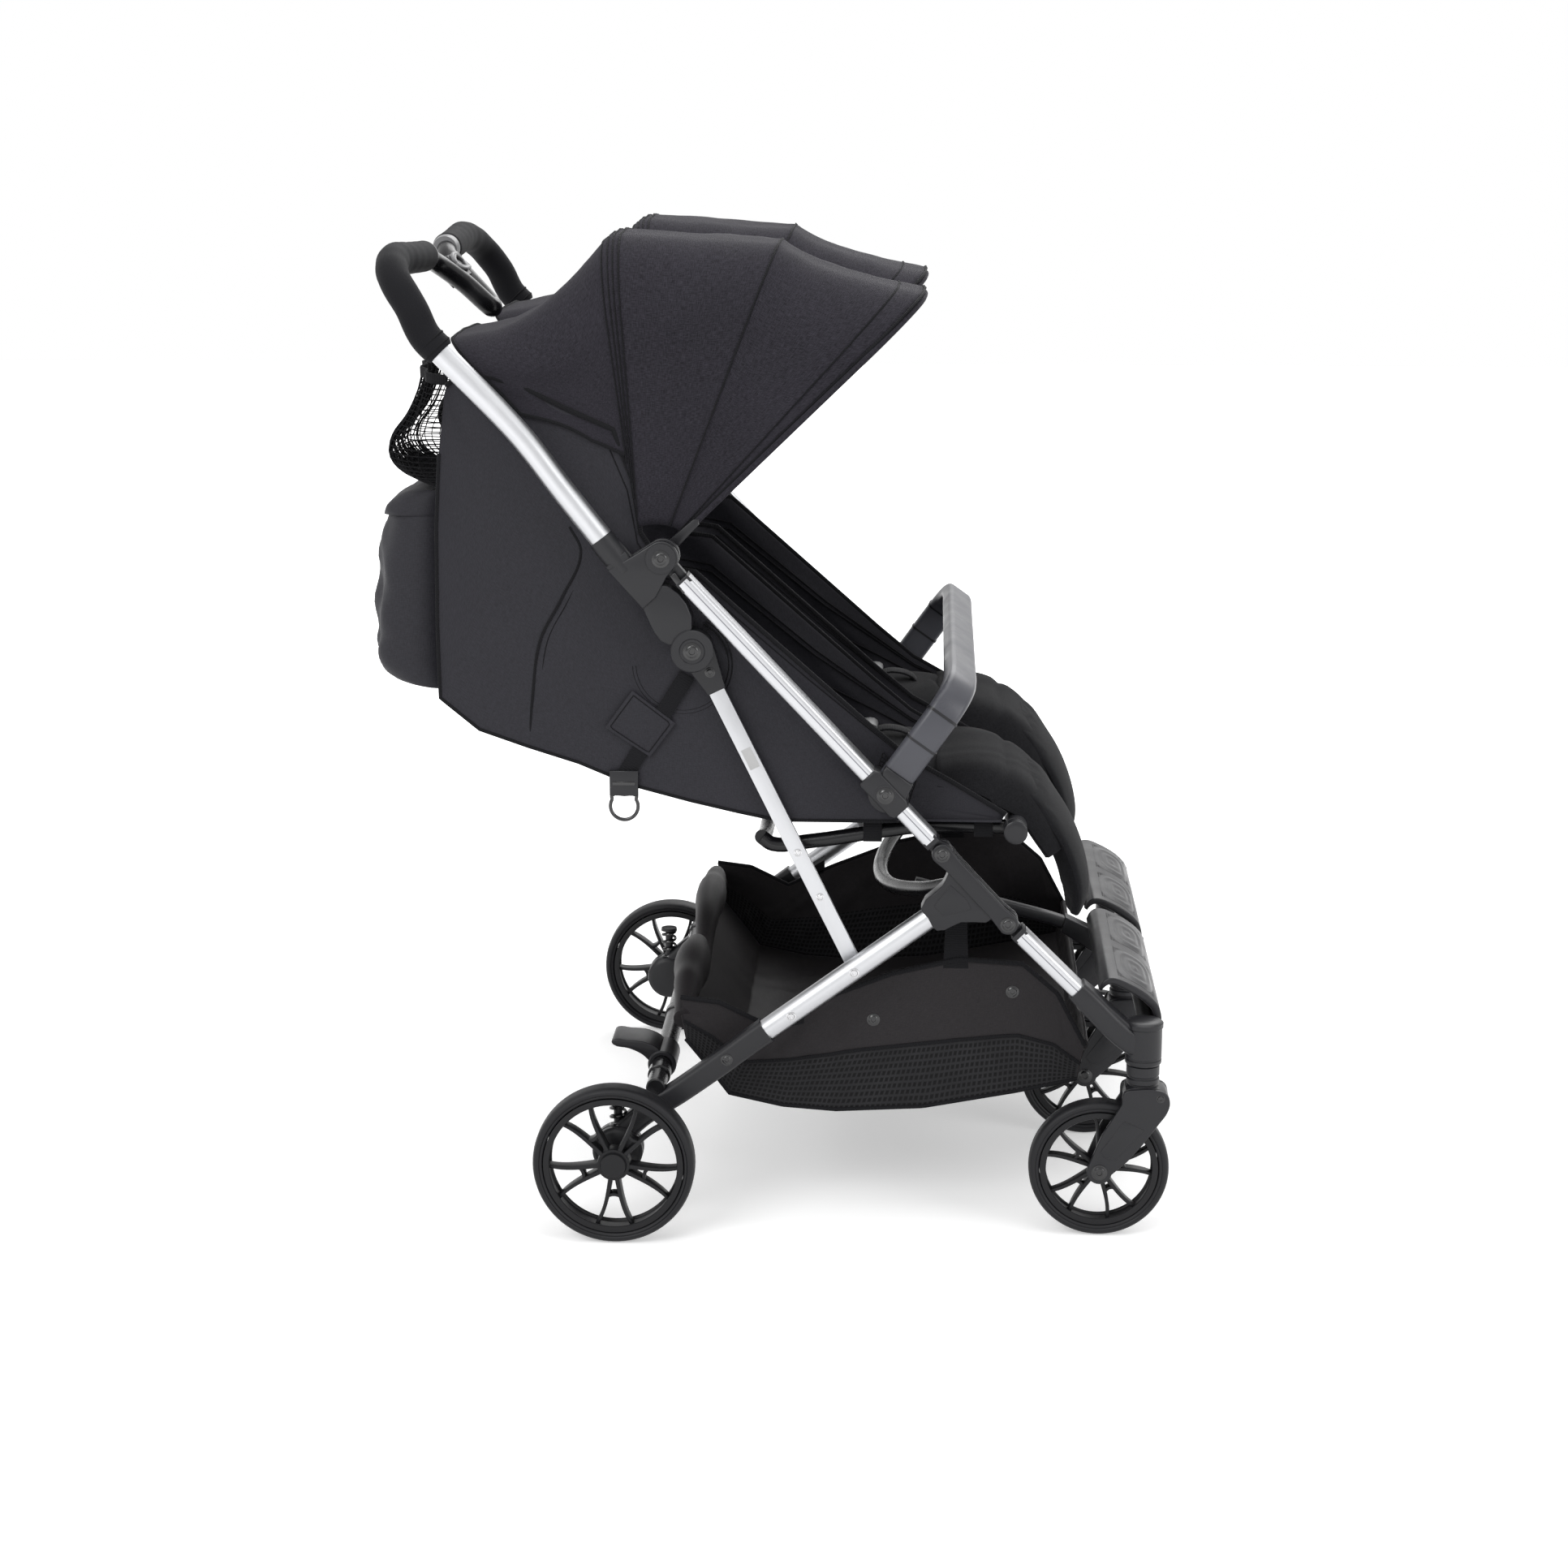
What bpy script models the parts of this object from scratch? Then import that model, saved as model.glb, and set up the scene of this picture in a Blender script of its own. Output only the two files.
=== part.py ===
"""Side-by-side double stroller: metres, +X forward, +Y to the stroller's left, +Z up, standing on z = 0."""

import math

import bmesh
import bpy
from mathutils import Vector

# Overall places, side view, measured from below the middle of the length
ORIGIN_X = 0.0963  # from the drawing's zero, below the seat's rear half, to the middle of the length
CLEAR = 0.0004  # running clearance at pins and seats
SEAM = 0.0003  # gap between pieces that are fixed to each other
HALF_FRAME = 0.300  # side frames' planes on either side of the middle
SEAT_MID = 0.152  # middle of each seat from the middle of the stroller

# Pivots of the folding frame
PIVOT_A = (-0.202, 0.697)  # front leg to handle
PIVOT_B = (-0.172, 0.605)  # handle to strut
PIVOT_C = (0.0765, 0.4015)  # front leg to bar
PIVOT_D = (-0.0107, 0.2764)  # strut to rear leg
PIVOT_E = (0.1430, 0.3300)  # lower leg to bar
PIN_RADIUS = 0.0040
EYE_RADIUS = 0.0105
TONGUE = 0.0100  # width of a joint's tongue
CLEVIS_GAP = TONGUE + 2 * 0.0006
FRAME_WIDTH = 0.0260  # joints and front legs across the frame

# Tubes
FRONT_LEG_DEPTH = 0.0165
REAR_LEG_DEPTH = 0.0225
REAR_LEG_WIDTH = 0.0200
STRUT_WIDTH = 0.0165
STRUT_THICK = 0.0060
HANDLE_RADIUS = 0.0120
FOAM_RADIUS = 0.0160
SEAT_TUBE_RADIUS = 0.0075
CROSS_RADIUS = 0.0100

# Wheels
REAR_AXLE = (-0.2525, 0.0825)
REAR_AXLE_RADIUS = 0.0045
FRONT_AXLE_RADIUS = 0.0040
REAR_WHEEL_RADIUS = 0.0825
REAR_HALF_TRACK = 0.3440
REAR_TYRE_WIDTH = 0.0280
FRONT_AXLE = (0.2400, 0.0715)
FRONT_WHEEL_RADIUS = 0.0715
FRONT_TYRE_WIDTH = 0.0240
TYRE_DEPTH = 0.0110
RIM_DEPTH = 0.0050
SPOKES = 5
SPOKE_SPREAD = 15.0
SPOKE_WIDTH = 0.0034
WHEEL_FACES = 24
FLAT_RATIO = 1 / math.cos(math.pi / WHEEL_FACES)  # from a flat's distance to its corners' radius
CASTER_X = 0.2825
CASTER_POST_LOW = 0.1830
CASTER_POST_HIGH = 0.2290
CASTER_POST_RADIUS = 0.0185

# Seats
SEAT_WIDTH = 0.232
SEAT_FRAME_HALF = 0.2560
RECLINE_AXIS = (-0.0900, 0.4150)
LEG_REST_AXIS = (0.1500, 0.4180)
SHELL_HALF = 0.1230
SHELL_WALL = 0.0030

# Canopies
BOW_ANGLE = 44.0  # front bow
BOW_REACH = 0.352
BOW_HALF = 0.1180
BOW_CORNER = 0.075
BOW_THICK = 0.0050
CANOPY_ROWS = [
    (44.0, 0.352), (57.0, 0.326), (70.0, 0.322), (84.5, 0.304), (99.0, 0.306), (114.0, 0.288),
    (129.0, 0.300),
]
CANOPY_WALL = 0.0025
CANOPY_START = 0.060

MATERIALS = {
    "satin_aluminium": ((0.72, 0.73, 0.75, 1), 0.32, 1.0),
    "dark_plastic": ((0.035, 0.035, 0.040, 1), 0.42, 0.0),
    "grey_plastic": ((0.13, 0.13, 0.15, 1), 0.40, 0.0),
    "tyre_rubber": ((0.030, 0.030, 0.033, 1), 0.75, 0.0),
    "handle_foam": ((0.022, 0.022, 0.026, 1), 0.90, 0.0),
    "black_tube": ((0.020, 0.020, 0.022, 1), 0.35, 0.0),
    "charcoal_fabric": ((0.040, 0.040, 0.047, 1), 0.90, 0.0),
    "steel": ((0.60, 0.60, 0.62, 1), 0.25, 1.0),
}


def material(name):
    """The Principled material of that name, made once."""
    found = bpy.data.materials.get(name)
    if found:
        return found
    colour, roughness, metallic = MATERIALS[name]
    made = bpy.data.materials.new(name)
    made.use_nodes = True
    shader = made.node_tree.nodes["Principled BSDF"]
    shader.inputs["Base Color"].default_value = colour
    shader.inputs["Roughness"].default_value = roughness
    shader.inputs["Metallic"].default_value = metallic
    return made


def side(point, y):
    """A side-view point (x, z) of the drawing, at y, in the part's frame."""
    return Vector((point[0] + ORIGIN_X, y, point[1]))


def make(name, mesh_bm, finish, pivot=None):
    """Links a finished mesh as an object with its origin on the pivot."""
    bmesh.ops.recalc_face_normals(mesh_bm, faces=mesh_bm.faces)
    mesh = bpy.data.meshes.new(name)
    mesh_bm.to_mesh(mesh)
    mesh_bm.free()
    obj = bpy.data.objects.new(name, mesh)
    bpy.context.collection.objects.link(obj)
    mesh.materials.append(material(finish))
    if pivot is not None:
        move_origin(obj, pivot)
    mesh.shade_smooth()
    mesh.set_sharp_from_angle(angle=math.radians(35))
    return obj


def move_origin(obj, pivot):
    """Puts the object's origin on its joint's axis without moving its shape."""
    for vertex in obj.data.vertices:
        vertex.co -= pivot
    obj.location = obj.location + pivot


def loft(rings, closed=False):
    """A solid through rings of points with as many points each."""
    made = bmesh.new()
    loops = [[made.verts.new(point) for point in ring] for ring in rings]
    count = len(loops[0])
    pairs = list(zip(loops, loops[1:])) + ([(loops[-1], loops[0])] if closed else [])
    for first, second in pairs:
        for i in range(count):
            j = (i + 1) % count
            made.faces.new((first[i], first[j], second[j], second[i]))
    if not closed:
        made.faces.new(loops[0][::-1])
        made.faces.new(loops[-1])
    return made


def oval(width, depth, count=12):
    """An ellipse as (across, in plane) pairs."""
    turns = [2 * math.pi * i / count for i in range(count)]
    return [(width / 2 * math.cos(t), depth / 2 * math.sin(t)) for t in turns]


def rounded_bar(width, depth, radius, steps=2):
    """A rectangle with round corners as (across, in plane) pairs."""
    section = []
    for corner in range(4):
        sx = (1, -1, -1, 1)[corner]
        sy = (1, 1, -1, -1)[corner]
        for k in range(steps + 1):
            turn = math.pi / 2 * (corner + k / steps)
            across = sx * (width / 2 - radius) + radius * math.cos(turn)
            section.append((across, sy * (depth / 2 - radius) + radius * math.sin(turn)))
    return section


def sweep(path, section, lateral=Vector((0, 1, 0))):
    """The section carried along a path, its first coordinate kept along the lateral direction."""
    path = [Vector(p) for p in path]
    rings = []
    for i, point in enumerate(path):
        ahead = path[min(i + 1, len(path) - 1)] - point
        behind = point - path[max(i - 1, 0)]
        tangent = (ahead.normalized() + behind.normalized()).normalized()
        across = (lateral - tangent * lateral.dot(tangent)).normalized()
        normal = tangent.cross(across)
        rings.append([point + across * a + normal * b for a, b in section])
    return loft(rings)


def turned(profile, centre, count=24, axis="Y", closed=False, phase=0.0):
    """A solid of revolution from (along the axis, radius) points; phase turns it by a share of a face."""
    rings = []
    for along, radius in profile:
        ring = []
        for i in range(count):
            turn = 2 * math.pi * (i + phase) / count
            u, v = radius * math.cos(turn), radius * math.sin(turn)
            offset = Vector((u, along, v)) if axis == "Y" else Vector((u, v, along))
            ring.append(centre + offset)
        rings.append(ring)
    return loft(rings, closed)


def prism(outline, y0, y1, chamfer=0.0):
    """A side-view outline carried from y0 to y1, with its edges chamfered if asked."""
    made = loft([[side(p, y0) for p in outline], [side(p, y1) for p in outline]])
    if chamfer:
        rims = [e for e in made.edges if abs(e.verts[0].co.y - e.verts[1].co.y) < 1e-7]
        bmesh.ops.bevel(made, geom=rims, offset=chamfer, segments=1, affect="EDGES", clamp_overlap=True)
    return made


def arc(centre, radius, start, end, count):
    """Points on a side-view arc, angles in degrees from +X towards +Z."""
    turns = [math.radians(start + (end - start) * i / (count - 1)) for i in range(count)]
    return [(centre[0] + radius * math.cos(t), centre[1] + radius * math.sin(t)) for t in turns]


def smooth_path(points, per_span=4):
    """A Catmull-Rom curve through the points."""
    points = [Vector(p) for p in points]
    ends = [points[0] * 2 - points[1]] + points + [points[-1] * 2 - points[-2]]
    found = []
    for i in range(1, len(ends) - 2):
        p0, p1, p2, p3 = ends[i - 1 : i + 3]
        for k in range(per_span):
            t = k / per_span
            found.append(
                0.5 * (2 * p1 + (p2 - p0) * t + (2 * p0 - 5 * p1 + 4 * p2 - p3) * t**2
                + (3 * p1 - p0 - 3 * p2 + p3) * t**3)
            )
    return found + [points[-1]]


def combine(base, tools, operation):
    """Applies EXACT Booleans of the tools to the base object, and removes the tools."""
    for tool in tools:
        modifier = base.modifiers.new("combine", "BOOLEAN")
        modifier.operation = operation
        modifier.solver = "EXACT"
        modifier.object = tool
    graph = bpy.context.evaluated_depsgraph_get()
    result = bpy.data.meshes.new_from_object(base.evaluated_get(graph))
    base.modifiers.clear()
    base.data = result
    for tool in tools:
        bpy.data.objects.remove(tool, do_unlink=True)
    clean(result)
    return base


def clean(mesh):
    """Merges the points that a Boolean leaves on top of each other."""
    made = bmesh.new()
    made.from_mesh(mesh)
    bmesh.ops.remove_doubles(made, verts=made.verts, dist=2e-6)
    bmesh.ops.dissolve_degenerate(made, edges=made.edges, dist=2e-6)
    made.to_mesh(mesh)
    made.free()
    mesh.shade_smooth()
    mesh.set_sharp_from_angle(angle=math.radians(35))


def union(base, *tools):
    """The base object with the tools fused on."""
    return combine(base, tools, "UNION")


def cut(base, *tools):
    """The base object with the tools taken out."""
    return combine(base, tools, "DIFFERENCE")


def temp(mesh_bm):
    """A tool for a Boolean."""
    return make("tool", mesh_bm, "steel")


def along(start, end, share):
    """The point at a share of the way between two side-view points."""
    return tuple(a + (b - a) * share for a, b in zip(start, end))


def direction(start, end):
    """The side-view unit vector from start to end."""
    dx, dz = end[0] - start[0], end[1] - start[1]
    size = math.hypot(dx, dz)
    return dx / size, dz / size


def step(point, way, distance, across=0.0):
    """A point moved along a direction and to its left."""
    return (point[0] + way[0] * distance - way[1] * across, point[1] + way[1] * distance + way[0] * across)


def pin_hole(point, y0, y1):
    """A cutter for a pin with its running clearance; its flats clear the round pin."""
    radius = (PIN_RADIUS + CLEAR) / math.cos(math.pi / 12)
    return temp(turned([(y0, radius), (y1, radius)], side(point, 0), 12))


def pin(point, y0, y1, head=0.0065, head_depth=0.0022):
    """A rivet's shank with a domed head at each end."""
    profile = [
        (y0 - head_depth, head * 0.6), (y0 - SEAM, head), (y0 - SEAM, PIN_RADIUS),
        (y1 + SEAM, PIN_RADIUS), (y1 + SEAM, head), (y1 + head_depth, head * 0.6),
    ]
    return turned(profile, side(point, 0), 10)


def spread(sign, low, high):
    """y from the frame's plane: low and high are measured outwards from the plane."""
    ends = (sign * (HALF_FRAME + low), sign * (HALF_FRAME + high))
    return min(ends), max(ends)


# Frame: rear legs, bars and rear axle
LEG_WAY = direction(PIVOT_C, PIVOT_E)
REAR_LEG_TOP = (0.0700, 0.3370)
REAR_LEG_LOW = (-0.1030, 0.2095)
REAR_LEG_WAY = direction(REAR_LEG_LOW, REAR_LEG_TOP)
AXLE_LEG_PATH = [(-0.1500, 0.1735), (-0.1900, 0.1440), (-0.2260, 0.1200), (-0.2480, 0.1000)]
SPRING_LOW = 0.1000
SPRING_HIGH = 0.1420
SPRING_RIBS = 4
CROSS_TUBE = (-0.2130, 0.1500)
HALF_CLEVIS = CLEVIS_GAP / 2
HALF_JOINT = FRAME_WIDTH / 2
STRUT_INNER = -(HALF_JOINT + 0.0008 + STRUT_THICK)
BASKET_RIVET = -0.0790  # along the rear leg from pivot D
BAR_HALF = 0.0085
BAR_NECK = 0.0140  # from a pivot to where the bar's eye narrows
GUSSET_PLATE = [(0.0840, 0.3850), (0.0600, 0.3475), (0.0760, 0.3265), (0.1230, 0.3410), (0.1120, 0.3560)]
GUSSET_HALF = 0.0095
STRUT_CAP_LENGTH = 0.0500
STRUT_CAP_RADIUS = 0.0190


def build_rear_leg(word, sign):
    """Silver oval leg with the strut's pin and the basket's rivet."""
    path = [side(REAR_LEG_LOW, sign * HALF_FRAME), side(REAR_LEG_TOP, sign * HALF_FRAME)]
    leg = make(f"rear_leg_{word}", sweep(path, oval(REAR_LEG_WIDTH, REAR_LEG_DEPTH, 16)), "satin_aluminium")
    inner, outer = spread(sign, STRUT_INNER, REAR_LEG_WIDTH / 2)
    second = step(PIVOT_D, REAR_LEG_WAY, BASKET_RIVET)
    near, far = spread(sign, 0, REAR_LEG_WIDTH / 2)
    union(leg, temp(pin(PIVOT_D, inner, outer)), temp(pin(second, near, far, 0.0050)))


def build_gusset_bar(word, sign):
    """The bar between pivots C and E with its clevis ends, fused with the gusset on the rear leg."""
    y0, y1 = spread(sign, -HALF_JOINT, HALF_JOINT)
    outline = arc(PIVOT_C, EYE_RADIUS, 55, 230, 7)
    outline += [step(PIVOT_C, LEG_WAY, BAR_NECK, -BAR_HALF)]
    outline += [step(PIVOT_E, LEG_WAY, -BAR_NECK, -BAR_HALF)]
    outline += arc(PIVOT_E, EYE_RADIUS, -128, 52, 7)
    outline += [step(PIVOT_E, LEG_WAY, -BAR_NECK, BAR_HALF), step(PIVOT_C, LEG_WAY, BAR_NECK, BAR_HALF)]
    bar = make(f"joint_bar_{word}", prism(outline[::-1], y0, y1, 0.0012), "dark_plastic")
    p0, p1 = spread(sign, -GUSSET_HALF, GUSSET_HALF)
    gusset = temp(prism(GUSSET_PLATE, p0, p1, 0.0010))
    leg_path = [side(step(REAR_LEG_TOP, REAR_LEG_WAY, reach), sign * HALF_FRAME) for reach in (-0.03, SEAM)]
    union(bar, gusset)
    socket = sweep(leg_path, oval(REAR_LEG_WIDTH + 2 * SEAM, REAR_LEG_DEPTH + 2 * SEAM, 16))
    c0, c1 = spread(sign, -HALF_CLEVIS, HALF_CLEVIS)
    slots = [temp(socket)]
    for pivot in (PIVOT_C, PIVOT_E):
        mouth = arc(pivot, EYE_RADIUS + 0.0016, 0, 330, 12)
        slots.append(temp(prism(mouth, c0, c1)))
    cut(bar, *slots)
    union(bar, temp(pin(PIVOT_C, y0, y1)), temp(pin(PIVOT_E, y0, y1)))


def build_axle_leg(word, sign):
    """The curved plastic leg from the rear leg's lower end to the axle, with its drum and spring seat."""
    plane = sign * HALF_FRAME
    points = [side(spot, plane) for spot in [step(REAR_LEG_LOW, REAR_LEG_WAY, -SEAM)] + AXLE_LEG_PATH]
    section = rounded_bar(0.0200, 0.0240, 0.005, 1)
    leg = make(f"axle_leg_{word}", sweep(smooth_path(points, 2), section), "dark_plastic")
    hub_in, hub_out = spread(sign, -0.0130, 0.0155)
    drum = turned(
        [(hub_in, 0.020), (hub_in + 0.003, 0.026), (hub_out - 0.002, 0.026), (hub_out, 0.022)],
        side(REAR_AXLE, 0), 14,
    )
    a0, a1 = spread(sign, 0.0, REAR_HALF_TRACK - HALF_FRAME + 0.0072)
    axle = turned([(a0, REAR_AXLE_RADIUS), (a1, REAR_AXLE_RADIUS)], side(REAR_AXLE, 0), 12)
    union(leg, temp(drum), temp(axle), temp(spring_housing(sign)))
    cut(leg, temp(turned([(-0.4, CROSS_RADIUS + SEAM), (0.4, CROSS_RADIUS + SEAM)], side(CROSS_TUBE, 0), 12)))


def spring_housing(sign):
    """Suspension spring on the drum, as ribs round its core."""
    core, rib = 0.0060, 0.0090
    pitch = (SPRING_HIGH - SPRING_LOW) / SPRING_RIBS
    profile = []
    for i in range(SPRING_RIBS):
        start = SPRING_LOW + pitch * i
        profile += [
            (start, core), (start + pitch * 0.25, rib), (start + pitch * 0.60, rib),
            (start + pitch * 0.85, core),
        ]
    return turned(profile, Vector((REAR_AXLE[0] + ORIGIN_X, sign * HALF_FRAME, 0)), 8, axis="Z")


def build_cross_tube():
    """Black tube between the two axle legs, which the brake pedal turns on."""
    half = HALF_FRAME + 0.0085
    tube = turned([(-half, CROSS_RADIUS), (half, CROSS_RADIUS)], side(CROSS_TUBE, 0), 12)
    make("rear_cross_tube", tube, "black_tube")


STRETCHER_END = (0.0930, 0.3560)
STRETCHER_RADIUS = 0.0080
STRETCHER_BOW = [
    (STRETCHER_END, 0.275), (STRETCHER_END, 0.26), ((0.060, 0.335), 0.20), ((0.022, 0.312), 0.10),
    ((0.010, 0.305), 0.0),
]


def build_stretcher():
    """The bowed cross tube between the two gussets, over the basket."""
    reach = HALF_FRAME - GUSSET_HALF - SEAM
    half = [side(STRETCHER_END, -reach)] + [side(spot, -y) for spot, y in STRETCHER_BOW]
    mirrored = [Vector((p.x, -p.y, p.z)) for p in half[-2::-1]]
    circle = oval(2 * STRETCHER_RADIUS, 2 * STRETCHER_RADIUS, 8)
    tube = sweep(smooth_path(half + mirrored, 2), circle, lateral=Vector((0, 0, 1)))
    make("frame_stretcher", tube, "black_tube")


def build_strut(word, sign):
    """The flat strut with its plastic end, whose eye sits behind the handle's disc."""
    y0, y1 = spread(sign, STRUT_INNER, STRUT_INNER + STRUT_THICK)
    way = direction(PIVOT_D, PIVOT_B)
    length = math.hypot(PIVOT_B[0] - PIVOT_D[0], PIVOT_B[1] - PIVOT_D[1])
    half = STRUT_WIDTH / 2
    silver_end = length - STRUT_CAP_LENGTH
    outline = arc(PIVOT_D, half, 207, 387, 7) + [
        step(PIVOT_D, way, silver_end + 0.002, -half), step(PIVOT_D, way, silver_end + 0.002, half),
    ]
    bar = make(f"rear_strut_{word}", prism(outline, y0, y1, 0.0008), "satin_aluminium")
    low_right = step(PIVOT_D, way, silver_end, -half - 0.0010)
    low_left = step(PIVOT_D, way, silver_end, half + 0.0010)
    cap = [low_right] + arc(PIVOT_B, STRUT_CAP_RADIUS, 20, 213, 8) + [low_left]
    c0, c1 = spread(sign, STRUT_INNER - 0.0015, -HALF_JOINT - 0.0006)
    union(bar, temp(prism(cap, c0, c1, 0.0006)))
    cut(bar, pin_hole(PIVOT_D, y0 - 0.01, y1 + 0.01))
    move_origin(bar, side(PIVOT_D, sign * HALF_FRAME))


# Wheels
def tyre_ring(centre, y, inner, outer, width):
    """A tyre with a flat tread and rounded shoulders; a flat of its tread lies on the ground."""
    half = width / 2
    inner, outer = inner * FLAT_RATIO, outer * FLAT_RATIO
    profile = [
        (y - half * 0.85, inner), (y - half, inner + (outer - inner) * 0.5), (y - half * 0.40, outer),
        (y + half * 0.40, outer), (y + half, inner + (outer - inner) * 0.5), (y + half * 0.85, inner),
    ]
    return turned(profile, centre, WHEEL_FACES, closed=True, phase=0.5)


def rib(centre, y, start, end, width, depth):
    """A straight rib in the wheel's plane between two points given as (radius, degrees)."""
    ends = []
    for radius, angle in (start, end):
        turn = math.radians(angle)
        ends.append(Vector((centre.x + radius * math.cos(turn), y, centre.z + radius * math.sin(turn))))
    half, thick = depth / 2, width / 2
    return sweep(ends, [(half, -thick), (half, thick), (-half, thick), (-half, -thick)])


def build_wheel(name, centre_xz, y, radius, width, first_spoke, bore, cap_side):
    """A tyre, and a rim with five split spokes fused to its hub; cap_side closes the hub outside."""
    centre = side(centre_xz, 0)
    pivot = side(centre_xz, y)
    rim_outer = radius - TYRE_DEPTH
    rim_inner = rim_outer - RIM_DEPTH
    make(f"{name}_tyre", tyre_ring(centre, y, rim_outer, radius, width), "tyre_rubber", pivot)
    half = width * 0.36
    outer = (rim_outer - SEAM) * FLAT_RATIO
    rim = [(y - half, rim_inner), (y - half, outer), (y + half, outer), (y + half, rim_inner)]
    body = make(f"{name}_rim", turned(rim, centre, WHEEL_FACES, closed=True, phase=0.5), "dark_plastic")
    hub_radius = radius * 0.200
    hub = [
        (y - half * 1.1, hub_radius * 0.85), (y - half * 0.8, hub_radius), (y + half * 0.8, hub_radius),
        (y + half * 1.1, hub_radius * 0.85),
    ]
    tools = [turned(hub, centre, 14)]
    web = radius * 0.44
    for k in range(SPOKES):
        middle = first_spoke + 360 / SPOKES * k
        for turn in (-1, 1):
            foot = (hub_radius * 0.8, middle + turn * 8)
            head = (rim_inner + RIM_DEPTH * 0.5, middle + turn * SPOKE_SPREAD)
            tools.append(rib(centre, y, foot, head, SPOKE_WIDTH, width * 0.42))
        tools.append(rib(centre, y, (web, middle - 13), (web, middle + 13), SPOKE_WIDTH * 0.8, width * 0.34))
    union(body, *[temp(tool) for tool in tools])
    hole = bore / math.cos(math.pi / 12)
    b0 = y - half * (0.8 if cap_side < 0 else 2)
    b1 = y + half * (0.8 if cap_side > 0 else 2)
    cut(body, temp(turned([(b0, hole), (b1, hole)], centre, 12)))
    move_origin(body, pivot)


# Front: lower legs, posts, casters and footrests
POST_WAY = direction(PIVOT_E, (0.2420, 0.2325))
LOWER_LEG_END = step(PIVOT_E, POST_WAY, 0.1290)
FOOT_Y = HALF_FRAME / 2 - CASTER_POST_RADIUS - 0.0008
FOOTREST_TUBE = (0.2880, 0.2080)
FOOTREST_OUTLINE = [
    (0.2360, 0.2560), (0.2480, 0.2660), (0.2640, 0.2620), (0.2960, 0.2400), (0.3010, 0.2280),
    (0.3010, 0.1900),
    (0.2940, 0.1900), (0.2940, 0.2250), (0.2900, 0.2330), (0.2600, 0.2540), (0.2480, 0.2580),
    (0.2400, 0.2520),
]
FORK_GAP = FRONT_TYRE_WIDTH / 2 + 0.0022
FORK_LEG = 0.0060
MIDDLE_BAR = [(0.2120, 0.2440), (0.1500, 0.2610), (0.0900, 0.2760), (0.0480, 0.2860)]


def build_lower_leg(word, sign):
    """Silver tube from its plastic eye at pivot E down to the caster post."""
    plane = sign * HALF_FRAME
    path = [side(step(PIVOT_E, POST_WAY, 0.0160), plane), side(LOWER_LEG_END, plane)]
    leg = make(
        f"lower_leg_{word}", sweep(path, rounded_bar(FRAME_WIDTH, FRONT_LEG_DEPTH, 0.005)),
        "satin_aluminium",
    )
    union(leg, *plug(PIVOT_E, POST_WAY, EYE_RADIUS + 0.0026, 0.0170, sign))
    cut(leg, pin_hole(PIVOT_E, *spread(sign, -0.02, 0.02)))
    move_origin(leg, side(PIVOT_E, plane))


def plug(pivot, way, block_start, block_end, sign):
    """A leg tube's plastic end: an eye for the pin, and the block that closes the tube."""
    y0, y1 = spread(sign, -TONGUE / 2, TONGUE / 2)
    b0, b1 = spread(sign, -HALF_JOINT + 0.0004, HALF_JOINT - 0.0004)
    angle = math.degrees(math.atan2(way[1], way[0]))
    neck = FRONT_LEG_DEPTH / 2 - 0.0004
    outline = [step(pivot, way, block_end, -neck * 0.8), step(pivot, way, block_end, neck * 0.8)]
    outline += arc(pivot, EYE_RADIUS, angle + 45, angle + 315, 10)
    block = [step(pivot, way, block_start, -neck), step(pivot, way, block_end, -neck)]
    block += [step(pivot, way, block_end, neck), step(pivot, way, block_start, neck)]
    return temp(prism(outline, y0, y1)), temp(prism(block, b0, b1))


def build_post(word, y, leg_sign):
    """Caster post with its cap and the arm for the lower leg, or the middle one's bar to the stretcher."""
    centre = Vector((CASTER_X + ORIGIN_X, y, 0))
    profile = [
        (CASTER_POST_LOW, 0.0170), (CASTER_POST_LOW + 0.003, CASTER_POST_RADIUS),
        (CASTER_POST_HIGH - 0.006, CASTER_POST_RADIUS),
        (CASTER_POST_HIGH - 0.0015, CASTER_POST_RADIUS + 0.001),
        (CASTER_POST_HIGH, CASTER_POST_RADIUS - 0.001),
    ]
    post = make(f"caster_post_{word}", turned(profile, centre, 16, axis="Z"), "dark_plastic")
    y0, y1 = y - HALF_JOINT - 0.0012, y + HALF_JOINT + 0.0012
    high, low = CASTER_POST_HIGH - 0.003, CASTER_POST_LOW + 0.004
    if leg_sign:
        collar_top = step(LOWER_LEG_END, POST_WAY, -0.018, 0.0115)
        collar_low = step(LOWER_LEG_END, POST_WAY, -0.030, -0.0115)
        arm = [
            collar_low, collar_top, (CASTER_X - 0.012, high), (CASTER_X + 0.002, high),
            (CASTER_X + 0.002, low), (CASTER_X - 0.012, low),
        ]
        union(post, temp(prism(arm, y0, y1, 0.0015)))
        path = [side(step(LOWER_LEG_END, POST_WAY, -0.06), y), side(step(LOWER_LEG_END, POST_WAY, SEAM), y)]
        bore = rounded_bar(FRAME_WIDTH + 2 * SEAM, FRONT_LEG_DEPTH + 2 * SEAM, 0.005)
        cut(post, temp(sweep(path, bore)))
    else:
        arm = [
            (0.2030, 0.2370), (0.2080, 0.2540), (CASTER_X - 0.012, high), (CASTER_X + 0.002, high),
            (CASTER_X + 0.002, low), (CASTER_X - 0.012, low), (0.2560, 0.2050),
        ]
        bar = sweep([side(p, 0.0) for p in MIDDLE_BAR], rounded_bar(0.0160, 0.0130, 0.004, 1))
        union(post, temp(prism(arm, -0.0110, 0.0110, 0.0015)), temp(bar))
    move_origin(post, side(PIVOT_E, y))


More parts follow.
